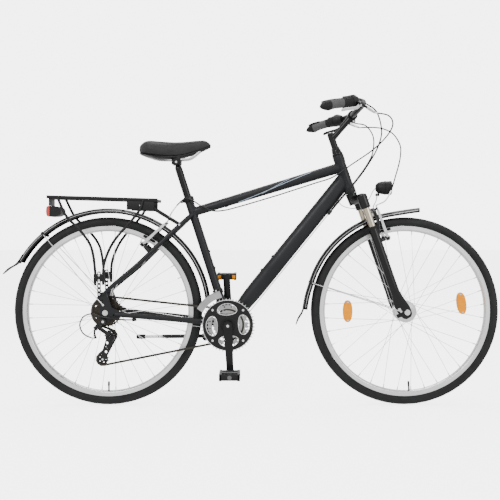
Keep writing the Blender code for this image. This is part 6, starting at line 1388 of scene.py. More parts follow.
def pedal(side, name):
    shape = Shape("plastic")
    x, z = crank_point(side, CRANK_LENGTH)
    start, end = 0.088, 0.185
    barrel = [(0.0054, start), (0.0085, start), (0.01, start + 0.004), (0.0092, 0.12),
              (0.01, end - 0.004), (0.008, end), (0.0054, end)]
    if side < 0:
        barrel = [(radius, -y) for radius, y in reversed(barrel)]
    shape.turned(barrel, at(x, 0, z), LATERAL, 32)
    shape.disc(at(x, side * (end - 0.001), z), at(x, side * (end + 0.0005), z), 0.0078, 28, "grey plastic")
    for along in (-1, 1):
        centre = at(x + along * 0.0325, side * (start + end) / 2, z)
        shape.block(centre, (0.0096, end - start, 0.0215), soft=0.2)
        for tooth in range(9):
            y = side * (start + 0.0075 + 0.0103 * tooth)
            for up in (-1, 1):
                shape.block(at(x + along * 0.0325, y, z + up * 0.0108), (0.0094, 0.005, 0.0052),
                            finish_name="grey plastic" if up > 0 else None)
        lens = at(x + along * 0.0371, side * (start + end) / 2, z)
        shape.block(lens, (0.0012, 0.052, 0.013), finish_name="amber")
        shape.block(at(x + along * 0.0275, side * (start - 0.0004), z), (0.012, 0.0014, 0.013),
                    finish_name="amber")
    for y in (start + 0.003, end - 0.003):
        shape.block(at(x, side * y, z), (0.07, 0.006, 0.022))
    for y in (0.112, 0.1365, 0.161):
        for along in (-0.0185, 0.0185):
            shape.block(at(x + along, side * y, z), (0.0215, 0.0045, 0.015))
    for up in (-1, 1):
        shape.block(at(x, side * 0.1365, z + up * 0.01), (0.06, 0.013, 0.004), finish_name="grey plastic")
    make("pedal_body_" + name, shape, "pedal_" + name, ["pedal_" + name])


def cassette(axle):
    shape = Shape("bronze")
    for index, teeth in enumerate(COGS):
        y = LARGE_COG_Y - 0.005 * index
        holes = [circle((0, WHEEL_RADIUS), 0.0178, 36)]
        if index < 3:
            reach = pitch_radius(teeth) - 0.015
            for hole in range(7):
                angle = 2 * math.pi * (hole + 0.3 * index) / 7
                holes.append(circle((reach * math.cos(angle), WHEEL_RADIUS + reach * math.sin(angle)),
                                    0.0068, 16))
        shape.side_plate(teeth_outline(teeth, (0, WHEEL_RADIUS)), y - 0.0009, y + 0.0009, holes)
        if index:
            shape.sleeve(axle + LATERAL * (y + 0.004), axle + LATERAL * (y + 0.001), 0.0215, 0.017, 36,
                         "dark")
    shape.sleeve(axle - LATERAL * 0.0635, axle - LATERAL * 0.0272, 0.018, 0.0055, 36, "dark")
    lock = axle - LATERAL * 0.062
    shape.sleeve(lock - LATERAL * 0.0016, lock, 0.0165, 0.0058, 36, "bright")
    make("seven_cogs", shape, "cassette", ["cassette"])


def tangent_points(first, second):
    (c1, r1), (c2, r2) = first, second
    dx, dz = c2[0] - c1[0], c2[1] - c1[1]
    heading = math.atan2(dz, dx) - math.asin((r2 - r1) / math.hypot(dx, dz))
    left = (-math.sin(heading), math.cos(heading))
    return (c1[0] - left[0] * r1, c1[1] - left[1] * r1), (c2[0] - left[0] * r2, c2[1] - left[1] * r2)


def chain_line():
    """Fine points of the chain's closed path."""
    pulley = pitch_radius(11)
    circles = [(((BRACKET_X, BRACKET_Z), -pitch_radius(28)), INNER_RING_Y),
               ((TENSION_PULLEY, -pulley), LARGE_COG_Y), ((GUIDE_PULLEY, pulley), LARGE_COG_Y),
               (((0.0, WHEEL_RADIUS), -pitch_radius(28)), LARGE_COG_Y)]
    runs = []
    for i, (wheel, plane) in enumerate(circles):
        following, next_plane = circles[(i + 1) % 4]
        start, end = tangent_points(wheel, following)
        runs.append((at(start[0], plane, start[1]), at(end[0], next_plane, end[1])))
    points = []
    for i, ((centre, radius), plane) in enumerate(circles):
        middle = at(centre[0], plane, centre[1])
        arrive, leave = runs[i - 1][1], runs[i][0]
        a = math.atan2(arrive.z - middle.z, arrive.x - middle.x)
        b = math.atan2(leave.z - middle.z, leave.x - middle.x)
        turn = (b - a) % (2 * math.pi) if radius > 0 else -((a - b) % (2 * math.pi))
        for k in range(41):
            angle = a + turn * k / 40
            points.append(middle + Vector((abs(radius) * math.cos(angle), 0, abs(radius) * math.sin(angle))))
    return points


def chain():
    points = chain_line()
    points.append(points[0])
    lengths = [0.0]
    for a, b in zip(points, points[1:]):
        lengths.append(lengths[-1] + (b - a).length)
    count = 2 * round(lengths[-1] / CHAIN_PITCH / 2)
    pins = []
    segment = 0
    for index in range(count):
        distance = lengths[-1] * index / count
        while lengths[segment + 1] < distance:
            segment += 1
        share = (distance - lengths[segment]) / (lengths[segment + 1] - lengths[segment])
        pins.append(points[segment].lerp(points[segment + 1], share))
    shape = Shape("chain")
    outline = []
    for centre, start in ((CHAIN_PITCH / 2, -70), (-CHAIN_PITCH / 2, 110)):
        outline += arc((centre, 0), 0.0041, start, start + 140, 6)
    for index, pin in enumerate(pins):
        following = pins[(index + 1) % count]
        along = (following - pin).normalized()
        middle = (pin + following) / 2
        up = Vector((-along.z, 0, along.x))
        near, far = (0.0014, 0.0022) if index % 2 else (0.0024, 0.0032)
        for side in (-1, 1):
            shape.plate(outline, lambda a, b: middle + along * a + up * b + LATERAL * (side * near),
                        lambda a, b: middle + along * a + up * b + LATERAL * (side * far))
        shape.disc(pin - LATERAL * 0.0036, pin + LATERAL * 0.0036, 0.0017, 8, "bronze")
        shape.disc(pin - LATERAL * 0.0013, pin + LATERAL * 0.0013, 0.0036, 10, "bronze")
    make("roller_chain", shape, "frame", ["chain"])


# Derailleurs


def link_pin_axis():
    along = LINK_FRONT - LINK_REAR
    return Vector((-along.z, 0, along.x)).normalized()


def local(point):
    return at(point.x, point.y, point.z)


def derailleur_hanger():
    shape = Shape("dark")
    bolt = at(-0.006, -0.0738, WHEEL_RADIUS - 0.031)
    shape.disc(bolt, bolt - LATERAL * 0.013, 0.0105, 36)
    shape.hexagon(bolt - LATERAL * 0.0125, bolt - LATERAL * 0.014, 0.005, "bright")
    pin = link_pin_axis()
    pivot = local(LINK_REAR)
    across = Vector((pin.z, 0, -pin.x))
    shape.block(pivot + pin * 0.0185 + across * 0.0045, (0.015, 0.009, 0.0212), across, LATERAL)
    for side in (-1, 1):
        shape.block(pivot + pin * (side * 0.01) + across * 0.003, (0.018, 0.012, 0.0042), across, LATERAL)
    shape.disc(pivot - pin * 0.0124, pivot + pin * 0.0124, 0.0022, 16, "bright")
    barrel = placed((-0.035, -0.083, 0.293), (-0.037, -0.083, 0.276), (-0.0345, -0.082, 0.264),
                    (-0.033, -0.0815, 0.258))
    shape.rod(smooth(barrel, 4), 0.0038, 20)
    shape.sleeve(barrel[2], barrel[3], 0.005, 0.003, 20, "plastic")
    make("upper_knuckle", shape, "frame", ["derailleur_hanger_knuckle"])


def derailleur_link():
    pin = link_pin_axis()
    rear, front = local(LINK_REAR), local(LINK_FRONT)
    along = (front - rear).normalized()
    across = pin.cross(along)
    shape = Shape("dark")
    for end in (rear, front):
        shape.sleeve(end - pin * 0.0072, end + pin * 0.0072, 0.0052, 0.0026, 28)
    length = (front - rear).length
    shape.block((rear + front) / 2, (length - 0.004, 0.0062, 0.014), along, across)
    shape.block((rear + front) / 2 - across * 0.0026, (length * 0.55, 0.003, 0.008), along, across, "gloss")
    make("derailleur_parallelogram", shape, "derailleur_link", ["derailleur_link"])


def derailleur_body():
    shape = Shape("dark")
    pin = link_pin_axis()
    front = local(LINK_FRONT)
    start = at(CAGE_PIVOT[0], LARGE_COG_Y - 0.0066, CAGE_PIVOT[1])
    end = at(CAGE_PIVOT[0], -0.064, CAGE_PIVOT[1])
    shape.turned([(0.0049, 0.0005), (0.0095, 0.0005), (0.011, 0.003), (0.011, 0.022), (0.01, 0.0245),
                  (0.0049, 0.026)], end, start - end, 40)
    shape.disc(end, end + LATERAL * 0.003, 0.0085, 32, "gloss")
    across = Vector((pin.z, 0, -pin.x))
    for side in (-1, 1):
        shape.block(front + pin * (side * 0.01) + across * 0.004, (0.018, 0.012, 0.0042), across, LATERAL)
    shape.disc(front - pin * 0.0122, front + pin * 0.0122, 0.0022, 16, "bright")
    make("lower_knuckle", shape, "derailleur_body", ["derailleur_body"])


def cage_outline(swell):
    gx, gz = GUIDE_PULLEY
    tx, tz = TENSION_PULLEY
    heading = math.degrees(math.atan2(gz - tz, gx - tx))
    outline = arc((tx, tz), 0.0105 + swell, heading + 90, heading + 270, 16)
    outline += [(CAGE_PIVOT[0] + 0.01, CAGE_PIVOT[1] - 0.01)]
    outline += arc((gx, gz), 0.0115 + swell, heading - 60, heading + 90, 14)
    return outline


def derailleur_cage():
    shape = Shape("dark")
    middle = ((GUIDE_PULLEY[0] + TENSION_PULLEY[0]) / 2, (GUIDE_PULLEY[1] + TENSION_PULLEY[1]) / 2)
    windows = [circle((middle[0] + 0.002 * k, middle[1] + 0.0165 * k), 0.0052, 20) for k in (-1, 0, 1)]
    shape.side_plate(cage_outline(0.0), LARGE_COG_Y - 0.006, LARGE_COG_Y - 0.0044, windows)
    shape.side_plate(cage_outline(-0.001), LARGE_COG_Y + 0.0044, LARGE_COG_Y + 0.006, windows)
    for x, z in (GUIDE_PULLEY, TENSION_PULLEY):
        shape.disc(at(x, LARGE_COG_Y - 0.0062, z), at(x, LARGE_COG_Y + 0.0062, z), 0.0025, 20, "bright")
        shape.hexagon(at(x, LARGE_COG_Y - 0.006, z), at(x, LARGE_COG_Y - 0.0078, z), 0.0042, "bright")
    shape.disc(at(CAGE_PIVOT[0], -0.0585, CAGE_PIVOT[1]),
               at(CAGE_PIVOT[0], LARGE_COG_Y - 0.0046, CAGE_PIVOT[1]), 0.0044, 24)
    make("pulley_cage", shape, "derailleur_cage", ["derailleur_cage"])


def pulley(centre, body, name):
    shape = Shape("plastic")
    holes = [circle(centre, 0.0046, 20)]
    for index in range(5):
        angle = 2 * math.pi * index / 5
        holes.append(circle((centre[0] + 0.0112 * math.cos(angle), centre[1] + 0.0112 * math.sin(angle)),
                            0.0026, 12))
    shape.side_plate(teeth_outline(11, centre, 0.7), LARGE_COG_Y - 0.001, LARGE_COG_Y + 0.001, holes)
    middle = at(centre[0], LARGE_COG_Y, centre[1])
    shape.sleeve(middle - LATERAL * 0.0038, middle + LATERAL * 0.0038, 0.006, 0.003, 28, "dark")
    make(name, shape, body, [body])


def front_derailleur():
    """Cage of two curved plates over the rings, with its rolled lip and carrier arm."""
    shape = Shape("ring")
    centre = (BRACKET_X, BRACKET_Z)
    clear = pitch_radius(RINGS[0]) + 0.006
    outline = arc(centre, clear, 102, 154, 24) + arc(centre, clear + 0.026, 152, 104, 22)
    inner_face = INNER_RING_Y + 0.0058
    outer_face = INNER_RING_Y - 0.0062
    shape.side_plate(outline, inner_face, inner_face + 0.0012)
    shape.side_plate(outline, outer_face - 0.0012, outer_face)
    lip = [at(x, outer_face - 0.0012, z) for x, z in arc(centre, clear + 0.0252, 151, 105, 22)]
    shape.rod(lip, 0.001, 8)
    top = arc(centre, clear + 0.0205, 106, 126, 8) + arc(centre, clear + 0.0245, 126, 106, 8)
    shape.side_plate(top, outer_face - 0.0005, inner_face + 0.0005)
    tail_x, tail_z = arc(centre, clear + 0.006, 151, 152, 1)[0]
    shape.disc(at(tail_x, outer_face - 0.002, tail_z), at(tail_x, inner_face + 0.002, tail_z), 0.0022, 16,
               "bright")
    foot_x, foot_z = arc(centre, clear + 0.018, 111, 112, 1)[0]
    shape.block(at(foot_x, -0.0318, foot_z + 0.009), (0.013, 0.0104, 0.021), finish_name="satin")
    shape.hexagon(at(foot_x - 0.001, -0.0366, foot_z + 0.012),
                  at(foot_x - 0.001, -0.0392, foot_z + 0.012), 0.0036, "bright")
    make("front_cage", shape, "front_derailleur", ["front_derailleur_cage"])


def kickstand():
    shape = Shape("satin")
    hinge = KICKSTAND_HINGE
    foot = KICKSTAND_PIVOT + KICKSTAND_FOLDED * 0.262
    shape.sleeve(KICKSTAND_PIVOT - hinge * 0.008, KICKSTAND_PIVOT + hinge * 0.008, 0.0115, 0.005, 36)
    line = KICKSTAND_FOLDED

    def along(share):
        return KICKSTAND_PIVOT + line * 0.006 + (foot - KICKSTAND_PIVOT) * share

    shape.disc(along(0.01), along(0.61), 0.0074, 32)
    shape.disc(along(0.6), along(0.87), 0.0055, 28, "silver")
    profile = [(0, 0), (0.0082, 0), (0.0092, 0.003), (0.0088, 0.03), (0.007, 0.0338), (0, 0.034)]
    shape.turned(profile, along(0.87), line, 32, "rubber")
    for share in (0.62, 0.66):
        shape.sleeve(along(share), along(share + 0.006), 0.0063, 0.005, 28, "dark")
    make("side_stand", shape, "kickstand", ["kickstand"])


# Mudguards


def guard_drop(across):
    """How far the guard's skin lies below its ridge, at a share of its half width."""
    return GUARD_DROP * abs(across) ** GUARD_CURVE


def guard_rings(axle, radius_at, start, end, steps):
    rings = []
    for i in range(steps + 1):
        degrees = start + (end - start) * i / steps
        turn = math.radians(degrees)
        radius = radius_at(degrees)
        outward = Vector((math.cos(turn), 0, math.sin(turn)))
        ring = []
        for k in range(17):
            across = -1 + k / 8
            ring.append(axle + outward * (radius - guard_drop(across)) + LATERAL * (GUARD_HALF * across))
        for k in range(16, -1, -1):
            across = -1 + k / 8
            inside = radius - guard_drop(across) - GUARD_WALL
            ring.append(axle + outward * inside + LATERAL * ((GUARD_HALF - 0.0012) * across))
        rings.append(ring)
    return rings


def guard_trim(shape, axle, radius_at, start, end, steps):
    """Silver lines along both shoulders and a rolled edge along both hems."""
    for side in (-1, 1):
        for across, size, finish_name in ((0.8, 0.0008, "line"), (1.0, 0.0012, None)):
            path = []
            for i in range(steps + 1):
                degrees = start + (end - start) * i / steps
                reach = radius_at(degrees) - guard_drop(across)
                path.append(polar(axle, reach, degrees, side * GUARD_HALF * across))
            shape.rod(path, size, 6, False, finish_name)


def polar(axle, radius, degrees, y=0.0):
    turn = math.radians(degrees)
    return axle + Vector((radius * math.cos(turn), y, radius * math.sin(turn)))


def wire_stay(shape, axle, radius, degrees, end_x, end_z, end_y):
    end = axle + Vector((end_x, -end_y, end_z))
    level = end.lerp(polar(axle, radius, degrees), 0.22)
    level.y = end.y
    half = [end, level, polar(axle, radius - 0.028, degrees, -GUARD_HALF - 0.004),
            polar(axle, radius - 0.01, degrees, -GUARD_HALF + 0.003),
            polar(axle, radius - 0.0035, degrees, -0.01)]
    route = half + [Vector((p.x, -p.y, p.z)) for p in reversed(half)]
    shape.rod(smooth(route, 5), 0.0016, 10, False, "bright")
    for side in (-1, 1):
        centre = polar(axle, radius - 0.012, degrees, side * (GUARD_HALF - 0.0005))
        turn = math.radians(degrees)
        outward = Vector((math.cos(turn), 0, math.sin(turn)))
        shape.block(centre, (0.022, 0.006, 0.01), outward, LATERAL, "plastic")
        eye = axle + Vector((end_x, side * end_y, end_z))
        shape.disc(eye - LATERAL * 0.0022, eye + LATERAL * 0.0022, 0.004, 20, "bright")


def flap(shape, points, widths):
    path = smooth(points, 5)
    halves = smooth([Vector((w, 0, 0)) for w in widths], 5)
    shape.sweep(path, [rounded(0.0014, h.x, 0.0012) for h in halves], LATERAL, False, "flap")


def rear_mudguard(axle):
    shape = Shape("gloss")

    def flat(degrees):
        return GUARD_RADIUS

    shape.strip(guard_rings(axle, flat, 7.0, 151.0, 96))
    guard_trim(shape, axle, flat, 8.0, 150.0, 96)
    flap(shape, [polar(axle, GUARD_RADIUS - 0.004, 146), polar(axle, GUARD_RADIUS - 0.001, 152),
                 at(-0.368, 0, 0.51), at(-0.3925, 0, 0.489)], (0.0225, 0.0235, 0.0215, 0.008))
    wire_stay(shape, axle, GUARD_RADIUS, 129.5, -0.007, 0.029, 0.076)
    turn = math.atan2(BRIDGE_HEIGHT, BRIDGE_AHEAD)
    outward = Vector((math.cos(turn), 0, math.sin(turn)))
    high = math.hypot(BRIDGE_AHEAD, BRIDGE_HEIGHT) - 0.0068
    shape.block(axle + outward * ((high + GUARD_RADIUS - 0.004) / 2),
                (high - GUARD_RADIUS + 0.004, 0.016, 0.01), outward, LATERAL, "plastic")
    make("rear_guard", shape, "frame", ["rear_mudguard"])


def front_mudguard(axle):
    shape = Shape("gloss")

    def flare(degrees):
        lift = 0.016 * max(0.0, (100.0 - degrees) / 18.0) ** 2
        return FRONT_GUARD_RADIUS + lift + 0.008 * max(0.0, (degrees - 165.0) / 14.0)

    shape.strip(guard_rings(axle, flare, 82.0, 179.0, 72))
    guard_trim(shape, axle, flare, 83.0, 178.0, 72)
    flap(shape, [polar(axle, flare(174) - 0.004, 174), polar(axle, flare(179) - 0.001, 180),
                 at(WHEELBASE - 0.3965, 0, 0.322), at(WHEELBASE - 0.405, 0, 0.3)],
         (0.0225, 0.0235, 0.021, 0.008))
    wire_stay(shape, axle, FRONT_GUARD_RADIUS, 163.0, -0.024, 0.004, 0.064)
    behind_arch = steer(0.0545, 0, 0.394 - 0.0067) - axle
    turn = math.atan2(behind_arch.z, behind_arch.x)
    radial = Vector((math.cos(turn), 0, math.sin(turn)))
    high = behind_arch.length - 0.0006
    low = FRONT_GUARD_RADIUS - 0.004
    shape.block(axle + radial * ((high + low) / 2), (high - low, 0.014, 0.01), radial, LATERAL, "bright")
    make("front_guard", shape, "fork_lower", ["front_mudguard"])


# Rack and lamps


def deck_z(x):
    return 0.7735 - 0.012 * (x + 0.215) / 0.407


def rack():
    shape = Shape("powder")
    along = (at(0.192, 0, 0.7615) - at(-0.215, 0, 0.7735)).normalized()
    for side in (-1, 1):
        rail = [at(x, side * 0.062, deck_z(x)) for x in (-0.213, -0.1, 0.02, 0.12, 0.19)]
        shape.sweep(smooth(rail, 3), [rounded(0.0058, 0.0048, 0.003)] * 13, LATERAL)
    for x in (-0.209, -0.085, 0.055, 0.186):
        shape.block(at(x, 0, deck_z(x)), (0.011, 0.124, 0.008), along, soft=0.4)
    for y in (-0.02, 0.02):
        shape.rod([at(-0.21, y, deck_z(-0.21)), at(0.187, y, deck_z(0.187))], 0.0034, 14)
    for side in (-1, 1):
        rear_leg = ((-0.174, 0.064, deck_z(-0.174)), (-0.14, 0.072, 0.703), (-0.09, 0.077, 0.652),
                    (-0.048, 0.081, 0.59), (-0.034, 0.0825, 0.505), (-0.034, 0.0825, 0.452))
        front_leg = ((0.139, 0.064, deck_z(0.139)), (0.118, 0.071, 0.712), (0.038, 0.079, 0.617),
                     (0.004, 0.081, 0.548), (-0.0045, 0.0825, 0.5), (-0.0045, 0.0825, 0.453))
        for leg in (rear_leg, front_leg):
            shape.rod(smooth([at(x, side * y, z) for x, y, z in leg], 6), 0.005, 16)
        shape.block(at(-0.0195, side * 0.082, 0.479), (0.04, 0.008, 0.028))
        low, high = 0.41, 0.502
        strap = [(-0.0275, low + 0.004), (-0.0245, low), (-0.0175, low), (-0.0145, low + 0.004),
                 (-0.0145, high - 0.004), (-0.0175, high), (-0.0245, high), (-0.0275, high - 0.004)]
        holes = [circle((-0.021, low + 0.0085 + 0.015 * k), 0.0036, 18) for k in range(6)]
        shape.side_plate(strap, side * 0.0745, side * 0.0785, holes)
        for z in (0.47, 0.488):
            shape.hexagon(at(-0.0195, side * 0.085, z), at(-0.0195, side * 0.088, z), 0.0042, "bright")
        shape.hexagon(at(-0.021, side * 0.078, low + 0.0085), at(-0.021, side * 0.0812, low + 0.0085),
                      0.005, "bright")
        start = at(0.15, side * 0.06, deck_z(0.15) - 0.018)
        end = at(0.268, side * 0.0436, 0.672)
        shape.sweep([start, end], [rounded(0.0052, 0.0015, 0.0012)] * 2, LATERAL)
        shape.hexagon(end + LATERAL * (side * 0.001), end + LATERAL * (side * 0.0045), 0.0042, "bright")
        middle = at(0.128, side * 0.062, deck_z(0.128) - 0.022)
        shape.block(middle, (0.1, 0.004, 0.034), along, soft=0.4)
        for offset in (-0.034, 0.0, 0.034):
            shape.disc(middle + along * offset + LATERAL * (side * 0.0018),
                       middle + along * offset + LATERAL * (side * 0.0032), 0.0034, 20,
                       "bright" if not offset else "dark")
    shape.block(at(-0.21, 0, 0.759), (0.004, 0.08, 0.034))
    make("carrier", shape, "frame", ["rack"])


def tail_light():
    shape = Shape("plastic")
    back = -0.2153
    body = [(back + 0.006, 0.7405)]
    lens = [(back + 0.0062, 0.7415)]
    for step in range(1, 18):
        turn = math.radians(90 - 10 * step)
        rise = math.copysign(abs(math.sin(turn)) ** 0.8, math.sin(turn))
        body.append((back + 0.006 + 0.0418 * math.cos(turn) ** 0.6, 0.721 + 0.0198 * rise))
        lens.append((back + 0.0062 - 0.0132 * math.cos(turn) ** 0.6, 0.7215 + 0.0202 * rise))
    body.append((back + 0.006, 0.701))
    lens.append((back + 0.0062, 0.7012))
    shape.side_plate(body, -0.038, 0.038)
    shape.side_plate(lens, -0.0396, 0.0396, finish_name="red")
    for y in (-0.013, 0.013):
        shape.side_plate([(back - 0.0076, 0.7085), (back - 0.0076, 0.736), (back + 0.002, 0.737),
                          (back + 0.002, 0.708)], y - 0.0007, y + 0.0007, finish_name="red")
    make("rear_lamp", shape, "frame", ["tail_light"], 0.0006)


def headlight():
    centre = at(0.995, 0, 0.8095)
    shape = Shape("plastic")

    def ribs(index, step):
        return -0.0006 if 4 <= index <= 9 and index % 2 else 0.0

    profile = [(0, 0.0005), (0.009, 0.0008), (0.013, 0.0022), (0.018, 0.007), (0.0212, 0.012),
               (0.0228, 0.017), (0.024, 0.023), (0.0249, 0.03), (0.0254, 0.038), (0.0258, 0.046),
               (0.0262, 0.054), (0.0262, 0.059), (0.024, 0.06), (0.0236, 0.057), (0, 0.056)]
    shape.turned(profile, centre, AHEAD, 64, None, ribs)
    shape.turned([(0, 0.055), (0.0234, 0.056), (0.0236, 0.0585), (0.02, 0.0605), (0.012, 0.0618),
                  (0, 0.0624)], centre, AHEAD, 64, "lens")
    shape.sleeve(centre + AHEAD * 0.034, centre + AHEAD * 0.0372, 0.0264, 0.024, 64, "gloss")
    strap_n = 0.0545 + 0.0067 + 0.0018
    path = [steer(strap_n, 0, 0.39), steer(strap_n, 0, 0.406), at(0.999, 0, 0.764), at(1.002, 0, 0.792)]
    fine = smooth(path, 5)
    shape.sweep(fine, [rounded(0.0013, 0.0075, 0.001)] * len(fine), LATERAL, False, "bright")
    bolt = steer(strap_n + 0.0015, 0, 0.394)
    shape.hexagon(bolt, bolt + STEER_AHEAD * 0.0035, 0.0052, "bright")
    shape.block(at(1.003, 0, 0.7835), (0.015, 0.015, 0.01), finish_name="plastic")
    make("head_lamp", shape, "fork_lower", ["headlight"])


# Cables

HOUSING = 0.0027
WIRE = 0.0009
LAMP_LEAD = 0.0015


def past_barrel(side):
    along = (barrel_tip(side) - barrel_foot(side)).normalized()
    return barrel_tip(side) + along * 0.001


def past_pod(side):
    return on_bar(side, 0.1725) + lever_reach(side) * 0.015


def noodle(place, plane, pivot):
    level = pivot + ARM_LENGTH + 0.0038
    return [place(plane, -0.0415, level + 0.013), place(plane, -0.039, level + 0.003),
            place(plane, -0.031, level)]


def pull_wire(shape, place, plane, pivot):
    """Bare wire between the two arms, its rubber boot and the clamp that holds it."""
    level = pivot + ARM_LENGTH + 0.0038
    start, end = place(plane, -0.029, level), place(plane, 0.036, level)
    shape.rod([start, end], WIRE, 8, False, "bright")
    across = (end - start).normalized()
    profile = [(0, 0), (0.0034, 0)]
    for fold in range(6):
        profile += [(0.0044, 0.0025 + 0.004 * fold), (0.0032, 0.0045 + 0.004 * fold)]
    profile += [(0.0015, 0.03), (0, 0.03)]
    shape.turned(profile, start, across, 20, "rubber")
    shape.disc(end - across * 0.004, end + across * 0.001, 0.0036, 16, "bright")


def cable_piece(name, shape, bodies, nodes):
    """Cable that rides on one body, or, between two bodies, is left unattached where it lies."""
    if len(bodies) == 1:
        make(name, shape, bodies[0], nodes)
        return
    obj = make(name, shape, None, nodes)
    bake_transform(obj)


def casing(shape, points):
    """Outer casing along a smooth route, and the route's points."""
    line = smooth(points, 8)
    shape.rod(line, HOUSING, 12)
    return line


def ferrule(shape, tip, toward):
    direction = (toward - tip).normalized()
    shape.disc(tip, tip + direction * 0.01, 0.0031, 16, "bright")


def rear_brake_cable():
    shape = Shape("cable")
    route = [past_barrel(-1)] + placed(
        (1.0088, -0.172, 1.054), (1.03, -0.152, 1.037), (1.031, -0.132, 1.012),
        (1.01, -0.099, 0.978), (0.97, -0.069, 0.94), (0.9, -0.042, 0.892),
        (0.8342, -0.03, 0.8478), (0.7635, -0.022, 0.824), (0.63, -0.015, 0.781))
    line = casing(shape, route)
    ferrule(shape, line[0], line[3])
    cable_piece("rear_brake_housing_front", shape, ("frame", "steering"), ["rear_brake_cable"])
    shape = Shape("cable")
    rise = placed((0.63, -0.015, 0.781), (0.491, -0.014, 0.74), (0.43, -0.019, 0.725),
                  (0.388, -0.024, 0.724), (0.35, -0.0285, 0.74), (0.318, -0.031, 0.76),
                  (0.288, -0.032, 0.768), (0.258, -0.035, 0.742))
    casing(shape, rise)
    lead = [rise[-1]] + placed((0.239, -0.039, 0.715)) + noodle(stay, REAR_ARM_PLANE, rear_pivot())
    shape.rod(smooth(lead, 6), HOUSING, 12, False, "bright")
    pull_wire(shape, stay, REAR_ARM_PLANE, rear_pivot())
    cable_piece("rear_brake_housing_rear", shape, ("frame",), ["rear_brake_cable"])


def front_brake_cable():
    shape = Shape("cable")
    housing = [past_barrel(1)] + placed(
        (1.0187, 0.172, 1.0575), (1.054, 0.145, 1.047), (1.082, 0.105, 1.022), (1.0973, 0.06, 0.9789),
        (1.0954, 0.03, 0.9443), (1.0837, 0.0, 0.901), (1.064, -0.025, 0.845), (1.048, -0.04, 0.798))
    line = casing(shape, housing)
    ferrule(shape, line[0], line[3])
    lead = [housing[-1]] + placed((1.025, -0.045, 0.76)) + noodle(fork_brake, FRONT_ARM_PLANE,
                                                                      front_pivot())
    shape.rod(smooth(lead, 6), HOUSING, 12, False, "bright")
    pull_wire(shape, fork_brake, FRONT_ARM_PLANE, front_pivot())
    cable_piece("front_brake_housing", shape, ("steering", "fork_lower"), ["front_brake_cable"])


def rear_shift_cable():
    shape = Shape("cable")
    route = [past_pod(-1)] + placed(
        (0.9366, -0.181, 1.0895), (0.975, -0.156, 1.065), (0.9971, -0.122, 1.0059),
        (0.99, -0.096, 0.955), (0.9624, -0.075, 0.8985), (0.92, -0.053, 0.835))
    route += [under_down_tube(CABLE_STOP + 0.05, -0.02), under_down_tube(CABLE_STOP, -STOP_SPREAD)]
    casing(shape, route)
    cable_piece("rear_shift_housing_front", shape, ("frame", "steering"), ["rear_shift_cable"])
    shape = Shape("cable")
    wire = [under_down_tube(CABLE_STOP - 0.004, -STOP_SPREAD), under_down_tube(0.04, -0.012)]
    wire += placed((0.455, -0.013, 0.2775), (0.43, -0.018, 0.281), (0.39, -0.03, 0.289),
                   (0.25, -0.0475, 0.3085), (0.135, -0.0624, 0.3231), (0.105, -0.0646, 0.3243))
    shape.rod(wire, WIRE, 8, False, "bright")
    loop = placed((0.101, -0.065, 0.3242), (0.07, -0.071, 0.325), (0.03, -0.0795, 0.331),
                  (-0.006, -0.0808, 0.3354), (-0.045, -0.0765, 0.347), (-0.078, -0.071, 0.337),
                  (-0.093, -0.069, 0.308), (-0.084, -0.0715, 0.28), (-0.064, -0.0765, 0.2655),
                  (-0.038, -0.0815, 0.2578))
    line = casing(shape, loop)
    ferrule(shape, line[0], line[3])
    ferrule(shape, line[-1], line[-4])
    cable_piece("rear_shift_wire_and_loop", shape, ("frame",), ["rear_shift_cable"])


def front_shift_cable():
    shape = Shape("cable")
    route = [past_pod(1)] + placed(
        (0.9464, 0.179, 1.0745), (0.983, 0.153, 1.061), (1.006, 0.121, 1.015),
        (1.001, 0.092, 0.956), (0.9812, 0.075, 0.9124), (0.935, 0.054, 0.848))
    route += [under_down_tube(CABLE_STOP + 0.05, 0.02), under_down_tube(CABLE_STOP, STOP_SPREAD)]
    casing(shape, route)
    cable_piece("front_shift_housing_front", shape, ("frame", "steering"), ["front_shift_cable"])
    shape = Shape("cable")
    wire = [under_down_tube(CABLE_STOP - 0.004, STOP_SPREAD), under_down_tube(0.04, 0.006)]
    wire += placed((0.454, 0.005, 0.277), (0.434, 0.004, 0.279), (0.4215, 0.001, 0.29),
                   (0.4165, -0.003, 0.31), (0.411, -0.01, 0.35), (0.404, -0.02, 0.385),
                   (0.401, -0.03, 0.406))
    shape.rod(wire, WIRE, 8, False, "bright")
    cable_piece("front_shift_wire", shape, ("frame",), ["front_shift_cable"])


def light_wire():
    shape = Shape("cable")
    along, upward = down_tube_line()[1:]
    start = BRACKET + along * 0.612 - upward * (DOWN_DEPTH + 0.001)
    crown = at(0.952, 0.0, 0.742)
    rear_run = [start] + placed((0.876, 0.0, 0.741), (0.9145, 0.0, 0.733)) + [crown]
    shape.rod(smooth(rear_run, 8), LAMP_LEAD, 10)
    cable_piece("lamp_lead_rear", shape, ("frame", "steering"), ["light_wire"])
    shape = Shape("cable")
    front_run = [crown] + placed((0.972, 0.0, 0.768), (0.985, 0.0, 0.795), (0.9945, 0.0, 0.8075))
    shape.rod(smooth(front_run, 8), LAMP_LEAD, 10)
    cable_piece("lamp_lead_front", shape, ("steering", "fork_lower"), ["light_wire"])


# Stage

FLOOR_HALF = 28.0
FLOOR_GLOW = 3.6
BACKDROP_RADIUS = 38.0
BACKDROP_GLOW = 4.4


def glowing(name, shade, strength):
    """Pale material that gives off white light, and its shader."""
    made = bpy.data.materials.new(name)
    made.use_nodes = True
    shader = made.node_tree.nodes["Principled BSDF"]
    shader.inputs["Base Color"].default_value = shade
    shader.inputs["Emission Color"].default_value = (1, 1, 1, 1)
    shader.inputs["Emission Strength"].default_value = strength
    return made, shader


